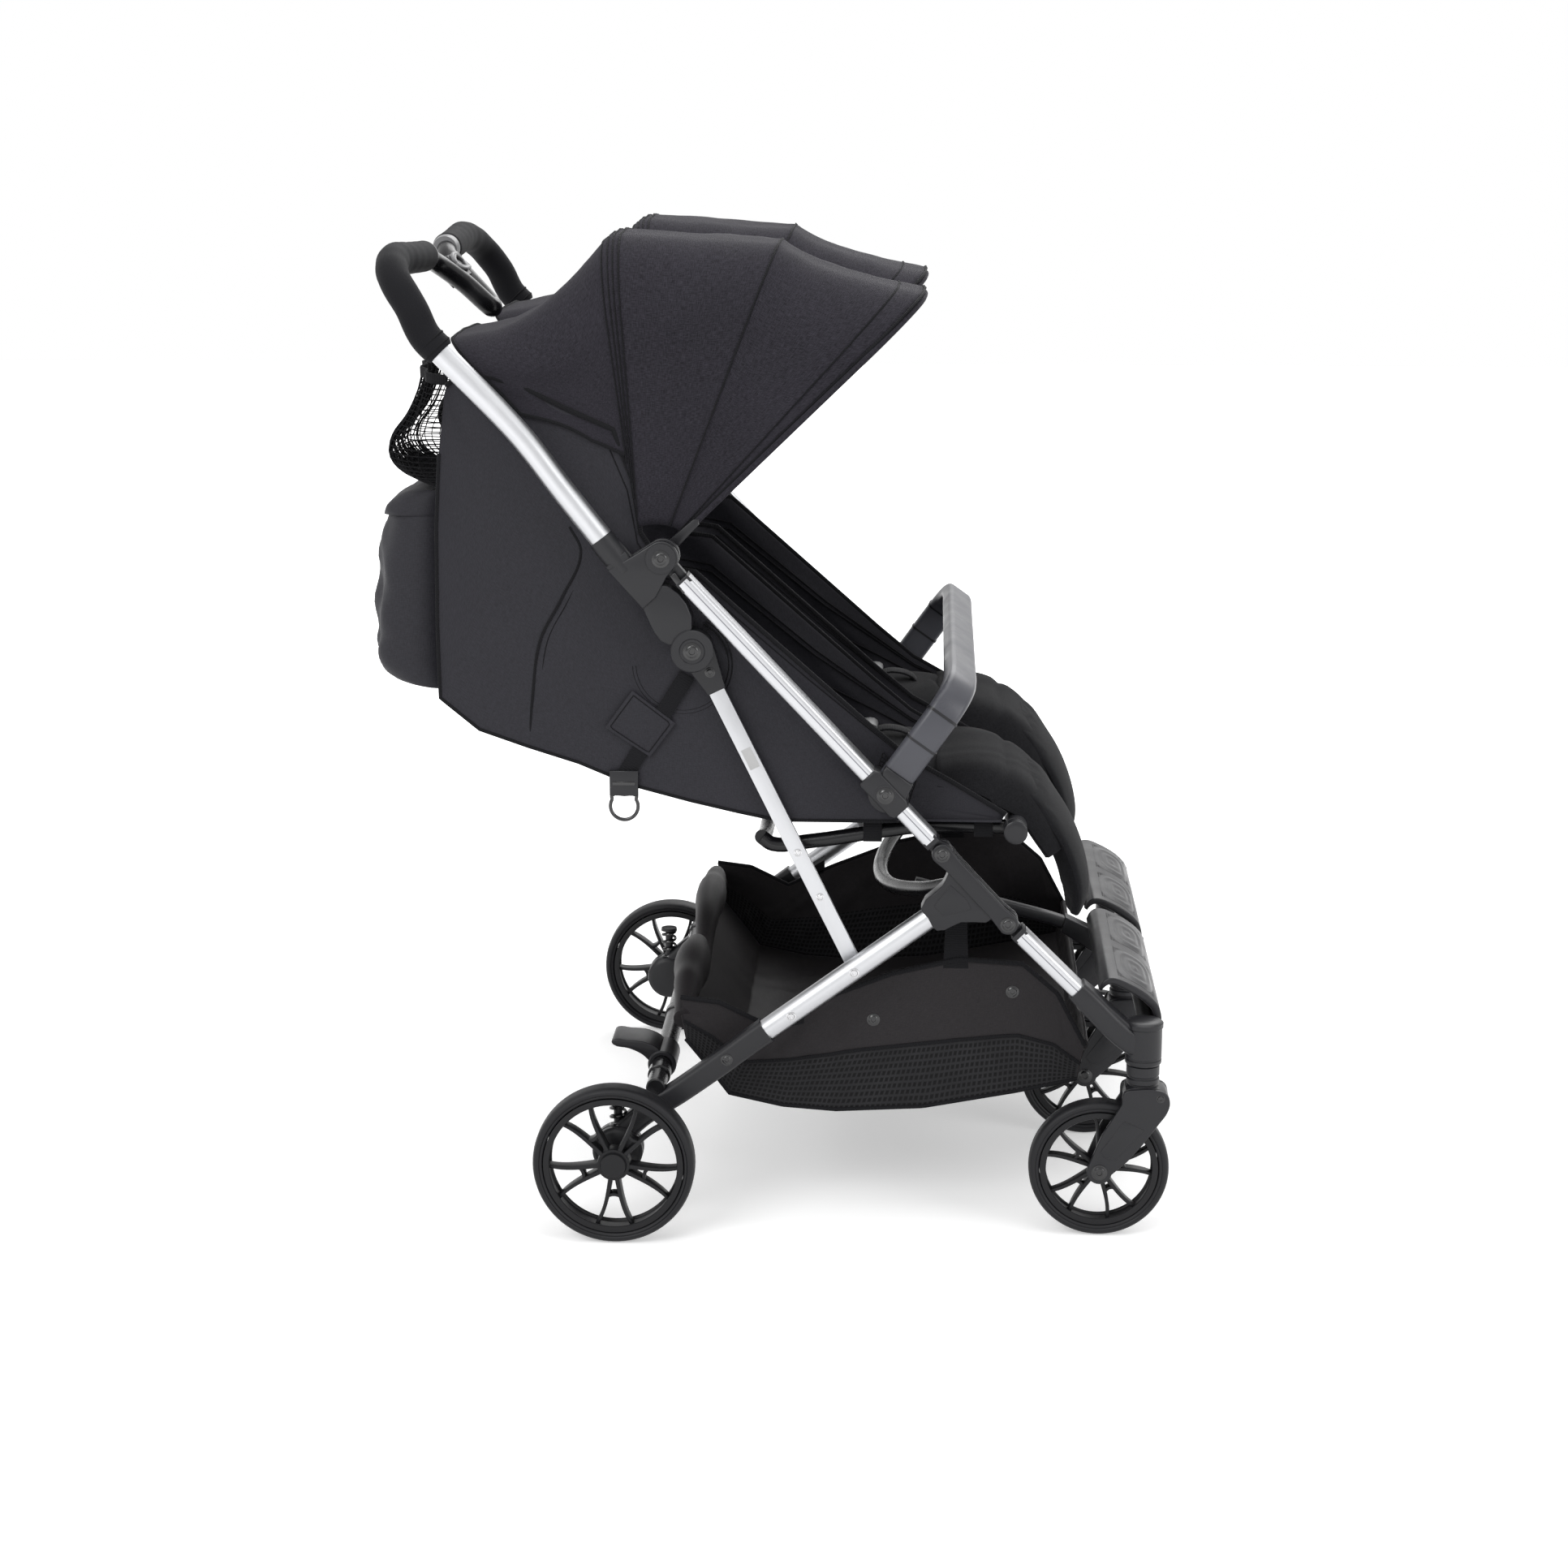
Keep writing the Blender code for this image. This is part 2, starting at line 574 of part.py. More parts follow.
def build_fork(word, y):
    """Swivel neck with ribs, fork head and two legs down to the axle bolt."""
    centre = Vector((CASTER_X + ORIGIN_X, y, 0))
    top = CASTER_POST_LOW - CLEAR
    profile = [
        (0.1500, 0.0125), (0.1530, 0.0165), (0.1690, 0.0160), (0.1698, 0.0145), (0.1730, 0.0145),
        (0.1738, 0.0162), (top, 0.0162),
    ]
    fork = make(f"caster_fork_{word}", turned(profile, centre, 12, axis="Z"), "dark_plastic")
    outline = [(0.2640, 0.1590), (0.3030, 0.1590), (0.3085, 0.1540), (0.3080, 0.1400), (0.2990, 0.1260)]
    outline += arc(FRONT_AXLE, 0.0130, -35, -200, 7) + [(0.2610, 0.1440)]
    tools = []
    for sgn in (-1, 1):
        ends = sorted((y + sgn * FORK_GAP, y + sgn * (FORK_GAP + FORK_LEG)))
        tools.append(temp(prism(outline[::-1], ends[0], ends[1], 0.0012)))
    head = [(0.2610, 0.1490), (0.2640, 0.1600), (0.3030, 0.1600), (0.3085, 0.1550), (0.3080, 0.1460)]
    tools.append(temp(prism(head, y - FORK_GAP - 0.001, y + FORK_GAP + 0.001)))
    union(fork, *tools)
    face = FORK_GAP + FORK_LEG
    shank = FRONT_AXLE_RADIUS
    profile = [(-face - 0.002, 0.0070), (-face + 0.001, 0.0080), (-face + 0.001, shank)]
    profile += [(-along_y, radius) for along_y, radius in profile[::-1]]
    union(fork, temp(turned([(y + along_y, radius) for along_y, radius in profile], side(FRONT_AXLE, 0), 10)))
    move_origin(fork, centre)


def build_footrest(word, middle):
    """Footrest between two posts: a curved moulded panel fused to the tube behind it."""
    y0, y1 = middle - FOOT_Y, middle + FOOT_Y
    pad = make(f"footrest_{word}", prism(FOOTREST_OUTLINE[::-1], y0, y1, 0.0010), "dark_plastic")
    tube = turned([(y0, 0.0080), (y1, 0.0080)], side(FOOTREST_TUBE, 0), 10)
    union(pad, temp(tube))
    move_origin(pad, side(PIVOT_E, middle))


# Handle: silver tubes, joints, foam arches and centre piece
JOINT_TOP = (-0.2425, 0.6905)
RAIL_BENDS = [(-0.3000, 0.7640), (-0.3380, 0.8140)]
FOAM_LOW = (-0.4150, 0.8950)
RAIL_END_WAY = direction(RAIL_BENDS[1], FOAM_LOW)
RAIL_END = 0.0120  # how far the tube runs on inside the foam


def handle_rail(sign, radius, reach=0.0):
    """Side tube from the joint into the foam, with its slight bend; reach lengthens its lower end."""
    plane = sign * HALF_FRAME
    low = step(JOINT_TOP, direction(RAIL_BENDS[0], JOINT_TOP), reach)
    points = [side(spot, plane) for spot in (low, *RAIL_BENDS, FOAM_LOW)]
    path = smooth_path(points, 2) + [side(step(FOAM_LOW, RAIL_END_WAY, RAIL_END), plane)]
    return sweep(path, oval(2 * radius, 2 * radius, 14))


def build_handle_tube(word, sign):
    """Silver tube from the joint up into the foam grip."""
    make(
        f"handle_tube_{word}", handle_rail(sign, HANDLE_RADIUS), "satin_aluminium",
        side(PIVOT_A, sign * HALF_FRAME),
    )


GRIP_LATERAL = Vector((0.72, 0.0, 0.69))
ARCH = [
    (*FOAM_LOW, 0.300), (*step(FOAM_LOW, RAIL_END_WAY, 0.0220), 0.300), (-0.4460, 0.9390, 0.297),
    (-0.4660, 0.9720, 0.280), (-0.4780, 0.9900, 0.230), (-0.4780, 0.9900, 0.150),
    (-0.4745, 0.9865, 0.095), (-0.4740, 0.9860, 0.0740),
]
ARCH_INNER = [
    (-0.4744, 0.9864, 0.0870), (-0.4740, 0.9860, 0.0735), (-0.4650, 0.9740, 0.0420),
    (-0.4360, 0.9440, 0.0200),
    (-0.4080, 0.9160, 0.0000),
]
INNER_RADIUS = 0.0105
RELEASE_MID = (-0.4560, 0.9650)
RELEASE_HALF = 0.0480


def inner_legs(radius, reach=0.0):
    """The handle's inner legs, which meet low between the seats; reach lengthens both ends."""
    start = [side((x, z), -y) for x, z, y in ARCH_INNER]
    start[0].y -= reach
    other = [Vector((p.x, -p.y, p.z)) for p in start[-2::-1]]
    return sweep(smooth_path(start + other, 2), oval(2 * radius, 2 * radius, 10), lateral=GRIP_LATERAL)


def build_arch(word, sign):
    """Foam grip over one seat, bored for the tubes that run into its ends."""
    points = [side((x, z), sign * y) for x, z, y in ARCH]
    grip = sweep(smooth_path(points, 2), oval(2 * FOAM_RADIUS, 2 * FOAM_RADIUS, 10), lateral=GRIP_LATERAL)
    foam = make(f"handle_foam_{word}", grip, "handle_foam")
    bore = [
        side(step(FOAM_LOW, RAIL_END_WAY, reach), sign * HALF_FRAME) for reach in (-0.020, RAIL_END + SEAM)
    ]
    width = 2 * (HANDLE_RADIUS + SEAM) / math.cos(math.pi / 14)
    cut(foam, temp(inner_legs(INNER_RADIUS + SEAM, SEAM)))
    cut(foam, temp(sweep(bore, oval(width, width, 14))))
    move_origin(foam, side(PIVOT_A, sign * HALF_FRAME))


def build_centre_tube():
    """The black tube that both grips end on, in one piece from arch to arch."""
    make("handle_centre_tube", inner_legs(INNER_RADIUS), "black_tube", side(PIVOT_A, 0))


def build_fold_release():
    """The grey piece that clasps both inner legs: a bridge with its button."""
    way = direction((-0.4360, 0.9440), (-0.4650, 0.9740))
    half, low, high = 0.0150, -0.0260, 0.0100
    outline = [step(RELEASE_MID, way, low, -half), step(RELEASE_MID, way, high, -half)]
    outline += [step(RELEASE_MID, way, high, half), step(RELEASE_MID, way, low, half)]
    release = make("fold_release", prism(outline, -RELEASE_HALF, RELEASE_HALF, 0.0040), "grey_plastic")
    cut(release, temp(inner_legs(INNER_RADIUS + SEAM)))
    move_origin(release, side(PIVOT_A, 0))


JOINT_SLOT_RADIUS = 0.0290  # room for the front leg's end while the handle folds


def build_handle_joint(word, sign):
    """The moulded joint: gusset, boss at A, black link and disc at B, with a slot for the leg's eye."""
    y0, y1 = spread(sign, -HALF_JOINT, HALF_JOINT)
    plane = sign * HALF_FRAME
    gusset = [(-0.2520, 0.6850), (-0.2330, 0.6960)] + arc(PIVOT_A, 0.0170, 110, -20, 8)
    gusset += [(-0.1965, 0.6800), (-0.2070, 0.6600), (-0.2200, 0.6480)]
    joint = make(f"handle_joint_{word}", prism(gusset[::-1], y0, y1), "dark_plastic")
    link = sweep(
        [side((-0.2330, 0.6720), plane), side(PIVOT_B, plane)], rounded_bar(0.0235, 0.0235, 0.007, 1),
    )
    disc_profile = [(y0, 0.0190), (y0 + 0.0015, 0.0210), (y1 - 0.0015, 0.0210), (y1, 0.0190)]
    disc = turned(disc_profile, side(PIVOT_B, 0), 18)
    boss = turned([(y0 - 0.0012, 0.0155), (y1 + 0.0012, 0.0155)], side(PIVOT_A, 0), 16)
    union(joint, temp(link), temp(disc), temp(boss))
    c0, c1 = spread(sign, -HALF_CLEVIS, HALF_CLEVIS)
    slot = arc(PIVOT_A, EYE_RADIUS + 0.0012, 250, 118, 7) + arc(PIVOT_A, JOINT_SLOT_RADIUS, 97, -62, 10)
    cut(joint, temp(prism(slot[::-1], c0, c1)), temp(handle_rail(sign, HANDLE_RADIUS + SEAM, SEAM)))
    union(joint, temp(pin(PIVOT_A, y0 - 0.0012, y1 + 0.0012)))
    move_origin(joint, side(PIVOT_A, plane))


# Front frame: upper legs, bumper sockets and seat frame
SOCKET_MID = along(PIVOT_A, PIVOT_C, 0.795)
UPPER_WAY = direction(PIVOT_A, PIVOT_C)
UPPER_LENGTH = math.hypot(PIVOT_C[0] - PIVOT_A[0], PIVOT_C[1] - PIVOT_A[1])
UPPER_START = 0.0310
UPPER_END = UPPER_LENGTH - 0.0170


def build_upper_leg(word, sign):
    """Silver front leg with a plastic eye at each end."""
    plane = sign * HALF_FRAME
    back_way = (-UPPER_WAY[0], -UPPER_WAY[1])
    path = [
        side(step(PIVOT_A, UPPER_WAY, reach), plane) for reach in (UPPER_START - 0.001, UPPER_END + 0.001)
    ]
    leg = make(
        f"upper_leg_{word}", sweep(path, rounded_bar(FRAME_WIDTH, FRONT_LEG_DEPTH, 0.005)),
        "satin_aluminium",
    )
    upper = plug(PIVOT_A, UPPER_WAY, 0.0270, UPPER_START, sign)
    lower = plug(PIVOT_C, back_way, EYE_RADIUS + 0.0026, UPPER_LENGTH - UPPER_END, sign)
    union(leg, *upper, *lower)
    cut(leg, pin_hole(PIVOT_A, *spread(sign, -0.02, 0.02)), pin_hole(PIVOT_C, *spread(sign, -0.02, 0.02)))
    move_origin(leg, side(PIVOT_C, plane))


BUMPER_WAY = direction((0.0140, 0.4770), (0.0760, 0.5640))
BUMPER_WIDE = 0.0290
BUMPER_THICK = 0.0180
BUMPER_FOOT_REACH = 0.0130
BUMPER_FOOT = step(SOCKET_MID, BUMPER_WAY, BUMPER_FOOT_REACH)
BUMPER_BEND = [(0.045, 0.0), (0.086, 0.0), (0.104, 0.010), (0.112, 0.036)]  # up from the foot, and inwards
BUMPER_CROSS = 0.1130


def build_socket(word, sign):
    """Collar round the upper leg with the bumper's cup above it and a round boss."""
    y0, y1 = spread(sign, -HALF_JOINT - 0.0026, HALF_JOINT + 0.0026)
    plane = sign * HALF_FRAME
    rear, front, below, above = -0.0260, 0.0240, -0.0120, 0.0115
    outline = [step(SOCKET_MID, UPPER_WAY, rear, below), step(SOCKET_MID, UPPER_WAY, front, below)]
    outline += [step(SOCKET_MID, UPPER_WAY, front + 0.004, above)]
    outline += [step(BUMPER_FOOT, BUMPER_WAY, 0.0110, -0.0180), step(BUMPER_FOOT, BUMPER_WAY, 0.0110, 0.0180)]
    outline += [step(SOCKET_MID, UPPER_WAY, rear - 0.002, above)]
    socket = make(f"bumper_socket_{word}", prism(outline, y0, y1, 0.0020), "grey_plastic")
    leg_path = [
        side(step(PIVOT_A, UPPER_WAY, reach), plane) for reach in (UPPER_START + 0.02, UPPER_END - 0.01)
    ]
    bore = temp(sweep(leg_path, rounded_bar(FRAME_WIDTH + 2 * SEAM, FRONT_LEG_DEPTH + 2 * SEAM, 0.005)))
    foot_path = [
        side(step(SOCKET_MID, BUMPER_WAY, reach), plane) for reach in (BUMPER_FOOT_REACH - 0.0005, 0.06)
    ]
    cup = temp(sweep(foot_path, rounded_bar(BUMPER_THICK + 2 * CLEAR, BUMPER_WIDE + 2 * CLEAR, 0.0075)))
    cut(socket, bore, cup)
    move_origin(socket, side(PIVOT_C, plane))


def build_bumper_bar():
    """One bar over both seats: two flat oval arms, corner bends and the cross-bar."""
    arm = [side(BUMPER_FOOT, -HALF_FRAME)]
    arm += [side(step(BUMPER_FOOT, BUMPER_WAY, up), inwards - HALF_FRAME) for up, inwards in BUMPER_BEND]
    cross = step(BUMPER_FOOT, BUMPER_WAY, BUMPER_CROSS)
    arm += [side(cross, -HALF_FRAME / 2)]
    path = arm + [side(cross, 0.0)] + [Vector((p.x, -p.y, p.z)) for p in arm[::-1]]
    flat = rounded_bar(BUMPER_THICK, BUMPER_WIDE, 0.0070)
    normal = Vector((-BUMPER_WAY[1], 0, BUMPER_WAY[0]))
    rings = []
    for i, point in enumerate(path):
        ahead = path[min(i + 1, len(path) - 1)] - point
        behind = point - path[max(i - 1, 0)]
        tangent = (ahead.normalized() + behind.normalized()).normalized()
        across = normal.cross(tangent).normalized()
        rings.append([point + across * a + normal * b for a, b in flat])
    make("bumper_bar", loft(rings), "grey_plastic", side(BUMPER_FOOT, 0))


def build_seat_frame():
    """Black tube under both seats, down each side and up across the back."""
    half = SEAT_FRAME_HALF
    front = (LEG_REST_AXIS[0] - 0.0060, LEG_REST_AXIS[1] - 0.0010)
    points = [side(front, -half), side((0.060, 0.4170), -half), side((-0.060, 0.3990), -half)]
    points += [
        side((-0.0960, 0.3960), -half), side((-0.1065, 0.4030), -half),
        side((-0.1060, 0.4120), -half + 0.006),
    ]
    points += [side((-0.1050, 0.4000), -half + 0.040), side((-0.1050, 0.3960), 0.0)]
    mirrored = [Vector((p.x, -p.y, p.z)) for p in points[-2::-1]]
    circle = oval(2 * SEAT_TUBE_RADIUS, 2 * SEAT_TUBE_RADIUS, 8)
    frame = make(
        "seat_frame", sweep(smooth_path(points + mirrored, 2), circle, lateral=Vector((0, 0, 1))),
        "black_tube",
    )
    tools = []
    for sign in (-1, 1):
        inner, outer = spread(sign, -0.0555, -HALF_JOINT - 0.0005)
        boss = turned([(inner, 0.0120), (outer - 0.003, 0.0120), (outer, 0.0095)], side(LEG_REST_AXIS, 0), 14)
        stub_in, stub_out = spread(sign, SEAT_FRAME_HALF - HALF_FRAME, -HALF_JOINT - SEAM)
        stub = turned([(stub_in, 0.0070), (stub_out, 0.0070)], side((0.0570, 0.4170), 0), 10)
        tools += [temp(boss), temp(stub)]
    union(frame, *tools)
    move_origin(frame, side(PIVOT_C, 0))


# Soft parts of each seat
SEAT_BACK = -0.0780
SEAT_FRONT = 0.1140
FLOOR_LOW = 0.4258
SEAT_LOW = FLOOR_LOW + SHELL_WALL + SEAM
SEAT_TOP = 0.4730


def cushion(rows, y_middle, halves, columns=7, crown=0.006):
    """A padded solid from (x, z, thickness, way) rows and half widths, crowned, with drawn-in sides."""
    rings = []
    for (x, z, thick, way), half in zip(rows, halves):
        dx, dz = math.cos(math.radians(way)), math.sin(math.radians(way))
        ring = []
        for upper in (1, -1):
            for i in range(columns):
                share = -1 + 2 * i / (columns - 1)
                share = share if upper > 0 else -share
                swell = (1 - share**4) * (thick / 2) + 0.0025 + (crown * (1 - share**2) if upper > 0 else 0)
                ring.append(side((x + dx * upper * swell, z + dz * upper * swell), y_middle + half * share))
        rings.append(ring)
    return loft(rings)


def build_seat(word, sign):
    """Seat pad, shell with its pockets, back, leg rest and canopy of one seat."""
    middle = sign * SEAT_MID
    half = SEAT_WIDTH / 2 - 0.004
    pad_rows = []
    for i in range(8):
        share = i / 7
        x = SEAT_BACK + (SEAT_FRONT - SEAT_BACK) * share
        lift = 0.006 * math.sin(math.pi * share)
        thick = (SEAT_TOP - SEAT_LOW - 0.010) * (1 - 0.55 * (2 * share - 1) ** 6)
        pad_rows.append((x, SEAT_LOW + thick / 2 + 0.0026 + lift, thick, 90))
    pad = cushion(pad_rows, middle, [half] * len(pad_rows))
    make(f"seat_pad_{word}", pad, "charcoal_fabric", side(PIVOT_C, middle))
    build_shell(word, middle)
    build_back(word, middle)
    build_leg_rest(word, middle)
    build_canopy(word, middle)


SHELL_OUTLINE = [
    (-0.4150, 0.8600), (-0.4240, 0.7940), (-0.4300, 0.5400), (-0.3900, 0.5160), (-0.3410, 0.4990),
    (-0.2520, 0.4670),
    (-0.1780, 0.4450), (-0.0900, FLOOR_LOW), (0.1180, FLOOR_LOW), (0.1300, 0.4500), (0.1050, 0.5050),
    (0.0500, 0.5000), (0.0000, 0.5250), (-0.1720, 0.6770), (-0.2000, 0.6790), (-0.2370, 0.6970),
    (-0.2520, 0.7150), (-0.3600, 0.8000),
]


POCKET_INSET = 0.020  # both pockets stop short of the shell's sides
POUCH = [
    (-0.4285, 0.7440), (-0.4560, 0.7480), (-0.4860, 0.7340), (-0.4940, 0.7080), (-0.5040, 0.5760),
    (-0.4840, 0.5560),
    (-0.4285, 0.5600),
]
NET_POCKET = [(-0.4185, 0.8600), (-0.4560, 0.8640), (-0.4840, 0.8080), (-0.4800, 0.7680), (-0.4235, 0.7600)]
NET_MOUTH = [
    (-0.4180, 0.9000), (-0.4530, 0.9000), (-0.4530, 0.8600), (-0.4800, 0.8070), (-0.4770, 0.7720),
    (-0.4270, 0.7640),
]


def build_shell(word, middle):
    """Fabric tub: two side walls and a rear wall, with the pouch and the net pocket sewn on behind."""
    y0, y1 = middle - SHELL_HALF, middle + SHELL_HALF
    shell = make(f"seat_shell_{word}", prism(SHELL_OUTLINE[::-1], y0, y1), "charcoal_fabric")
    wall = SHELL_WALL
    inside = [
        (-0.4150 + wall, 0.95), (-0.4240 + wall, 0.7940), (-0.4300 + wall, 0.5400),
        (-0.4290 + wall, 0.40),
        (-0.1000, 0.40),
    ]
    inside += [(-0.0880, FLOOR_LOW + wall), (0.2, FLOOR_LOW + wall), (0.2, 0.95)]
    p0, p1 = y0 + POCKET_INSET, y1 - POCKET_INSET
    union(shell, temp(prism(POUCH[::-1], p0, p1, 0.004)), temp(prism(NET_POCKET[::-1], p0, p1)))
    cut(
        shell, temp(prism(inside[::-1], y0 + wall, y1 - wall)),
        temp(prism(NET_MOUTH[::-1], p0 + wall, p1 - wall)),
    )
    move_origin(shell, side(PIVOT_C, middle))


BACK_LENGTH = 0.318
BACK_ANGLE = 158.5
BACK_START = 0.0180
BACK_LIFT = 0.0140
BACK_SHOULDER = 0.0066  # the top is this much narrower on each side, to pass the canopy's clips


def build_back(word, middle):
    """Reclining back panel, padded on its upper side."""
    rows = []
    way = (math.cos(math.radians(BACK_ANGLE)), math.sin(math.radians(BACK_ANGLE)))
    halves = []
    full = SHELL_HALF - SHELL_WALL - 0.0006
    for i in range(9):
        share = i / 8
        spot = step(RECLINE_AXIS, way, BACK_START + (BACK_LENGTH - BACK_START) * share, -BACK_LIFT)
        rows.append((spot[0], spot[1], 0.012 * (1 - 0.6 * (2 * share - 1) ** 6), BACK_ANGLE - 90))
        halves.append(full if i < 7 else full - BACK_SHOULDER)
    back = cushion(rows[::-1], middle, halves[::-1], crown=0.004)
    make(f"seat_back_{word}", back, "charcoal_fabric", side(RECLINE_AXIS, middle))


LEG_REST_CURVE = [
    (0.1560, 0.4480, 52), (0.1680, 0.4370, 36), (0.1800, 0.4180, 30), (0.1980, 0.3900, 28),
    (0.2100, 0.3600, 20),
    (0.2140, 0.3360, 4), (0.2090, 0.3180, -18),
]  # x, z and the way its padding faces, in degrees


def build_leg_rest(word, middle):
    """Padded calf rest on a tube that turns between the seat frame's bosses."""
    ends = (0, len(LEG_REST_CURVE) - 1)
    rows = [(x, z, 0.014 - 0.004 * (i in ends), way) for i, (x, z, way) in enumerate(LEG_REST_CURVE)]
    half = SEAT_FRAME_HALF - SEAT_MID - 0.0130
    pad = cushion(rows, middle, [half] * len(rows), crown=0.004)
    rest = make(f"leg_rest_{word}", pad, "charcoal_fabric")
    outer = 1 if middle > 0 else -1
    y0, y1 = sorted((middle - outer * half * 0.9, outer * (HALF_FRAME - 0.0555 - CLEAR)))
    tube = turned([(y0, 0.0100), (y1, 0.0100)], side(LEG_REST_AXIS, 0), 10)
    arms = [temp(tube)]
    for share in (-0.7, 0.7):
        bracket = [(LEG_REST_AXIS[0], 0.4080), (0.1860, 0.4060), (0.1800, 0.4200), (LEG_REST_AXIS[0], 0.4270)]
        spot = middle + half * share
        arms.append(temp(prism(bracket, spot - 0.006, spot + 0.006)))
    union(rest, *arms)
    move_origin(rest, side(LEG_REST_AXIS, middle))


def bow_path(angle, reach, middle, shrink=0.0, start=0.030, aside=0.0):
    """The centre line of a canopy bow: up one side, round the corner, across and down again."""
    way = (math.cos(math.radians(angle)), math.sin(math.radians(angle)))
    half = BOW_HALF - shrink
    reach = reach - shrink
    corner = BOW_CORNER - shrink * 0.5
    points = [(start, -half), (reach * 0.45, -half)]
    for k in range(5):
        turn = math.pi / 2 * k / 4
        points.append((reach - corner + corner * math.sin(turn), -half + corner - corner * math.cos(turn)))
    points.append((reach + 0.002, 0.0))
    points += [(r, -y) for r, y in points[-2::-1]]
    return [side(step(PIVOT_A, way, r, aside), middle + y) for r, y in points]


def build_canopy(word, middle):
    """Fabric canopy, a curved shell over three bows, and its front bow as a piece of its own."""
    outer, inner = [], []
    for i, (angle, reach) in enumerate(CANOPY_ROWS):
        aside = 0.0 if i else BOW_THICK / 2 + SEAM
        outer.append(bow_path(angle, reach, middle, 0.0, CANOPY_START, aside))
        inner.append(bow_path(angle, reach, middle, CANOPY_WALL, CANOPY_START, aside))
    made = bmesh.new()
    grid_out = [[made.verts.new(p) for p in row] for row in outer]
    grid_in = [[made.verts.new(p) for p in row] for row in inner]
    rows, columns = len(CANOPY_ROWS), len(outer[0])
    for grid, flip in ((grid_out, False), (grid_in, True)):
        for i in range(rows - 1):
            for j in range(columns - 1):
                face = (grid[i][j], grid[i][j + 1], grid[i + 1][j + 1], grid[i + 1][j])
                made.faces.new(face[::-1] if flip else face)
    for j in range(columns - 1):
        made.faces.new((grid_out[0][j + 1], grid_out[0][j], grid_in[0][j], grid_in[0][j + 1]))
        made.faces.new((grid_out[-1][j], grid_out[-1][j + 1], grid_in[-1][j + 1], grid_in[-1][j]))
    for i in range(rows - 1):
        made.faces.new((grid_out[i][0], grid_out[i + 1][0], grid_in[i + 1][0], grid_in[i][0]))
        made.faces.new((grid_out[i + 1][-1], grid_out[i][-1], grid_in[i][-1], grid_in[i + 1][-1]))
    make(f"canopy_{word}", made, "charcoal_fabric", side(PIVOT_A, middle))
    path = bow_path(BOW_ANGLE, BOW_REACH, middle)
    bow = make(
        f"canopy_bow_{word}",
        sweep(path, oval(BOW_THICK, BOW_THICK * 1.4, 6), lateral=Vector((0.7, 0, -0.72))), "dark_plastic",
    )
    outer = 1 if middle > 0 else -1
    y0, y1 = sorted(
        (middle + outer * (BOW_HALF - 0.0030), outer * (HALF_FRAME - HALF_JOINT - 0.0012 - 0.0022 - 0.0006)),
    )
    clip = turned([(y0, 0.0125), (y1, 0.0125)], side(PIVOT_A, 0), 14)
    way = (math.cos(math.radians(BOW_ANGLE)), math.sin(math.radians(BOW_ANGLE)))
    arm = [
        step(PIVOT_A, way, 0, -0.006), step(PIVOT_A, way, 0.042, -0.0035),
        step(PIVOT_A, way, 0.042, 0.0035), step(PIVOT_A, way, 0, 0.006),
    ]
    a0, a1 = sorted((middle + outer * (BOW_HALF - 0.0025), middle + outer * (BOW_HALF + 0.0035)))
    union(bow, temp(clip), temp(prism(arm, a0, a1)))
    move_origin(bow, side(PIVOT_A, middle))


STRAP_TOP = (-0.1800, 0.5740)
STRAP_LOW = (-0.2440, 0.4700)
STRAP_PATCH = [(-0.2350, 0.5580), (-0.1920, 0.5250), (-0.2180, 0.4900), (-0.2630, 0.5200)]


def build_strap(word, sign):
    """Recline webbing on the shell's outer side under its stitched patch, with its buckle and D-ring."""
    plane = sign * (SEAT_MID + SHELL_HALF + SEAM)
    y0, y1 = sorted((plane, plane + sign * 0.0015))
    p0, p1 = sorted((plane, plane + sign * 0.0022))
    b0, b1 = sorted((plane, plane + sign * 0.0040))
    way = direction(STRAP_LOW, STRAP_TOP)
    half = 0.0085
    band = [
        step(STRAP_LOW, way, 0, -half), step(STRAP_TOP, way, 0, -half), step(STRAP_TOP, way, 0, half),
        step(STRAP_LOW, way, 0, half),
    ]
    strap = make(f"recline_strap_{word}", prism(band, y0, y1), "charcoal_fabric")
    low, high = 0.4500, 0.4760
    x0, x1 = -0.2590, -0.2300
    buckle = [(x0, low), (x1, low), (x1, high), (x0, high)]
    ring_middle = ((x0 + x1) / 2, low - 0.0110)
    ring_outline = [
        (ring_middle[0] + 0.0139, low + 0.002), (ring_middle[0] - 0.0139, low + 0.002),
    ] + arc(ring_middle, 0.0160, 150, 390, 14)[1:-1]
    hole = [
        (ring_middle[0] + 0.0100, low - 0.0030), (ring_middle[0] - 0.0100, low - 0.0030),
    ] + arc(ring_middle, 0.0120, 148, 392, 14)[1:-1]
    union(
        strap, temp(prism(STRAP_PATCH[::-1], p0, p1)), temp(prism(buckle, b0, b1)),
        temp(prism(ring_outline, b0 + 0.0006, b1 - 0.0006)),
    )
    cut(strap, temp(prism(hole, b0 - 0.001, b1 + 0.001)))
    move_origin(strap, side(PIVOT_C, sign * SEAT_MID))


# Basket
BASKET_HALF = 0.268
BASKET_WALL = 0.003
BASKET_OUTLINE = [
    (-0.1640, 0.1640), (-0.1400, 0.1320), (-0.0850, 0.1200), (-0.0300, 0.1160), (0.0600, 0.1210),
    (0.1540, 0.1390),
    (0.2180, 0.1540), (0.2250, 0.1900), (0.1960, 0.2450), (0.1600, 0.2760), (0.0940, 0.2800),
    (0.0280, 0.2640),
    (-0.0500, 0.2330), (-0.1050, 0.2080), (-0.1500, 0.2300), (-0.1900, 0.2350), (-0.1850, 0.1900),
]


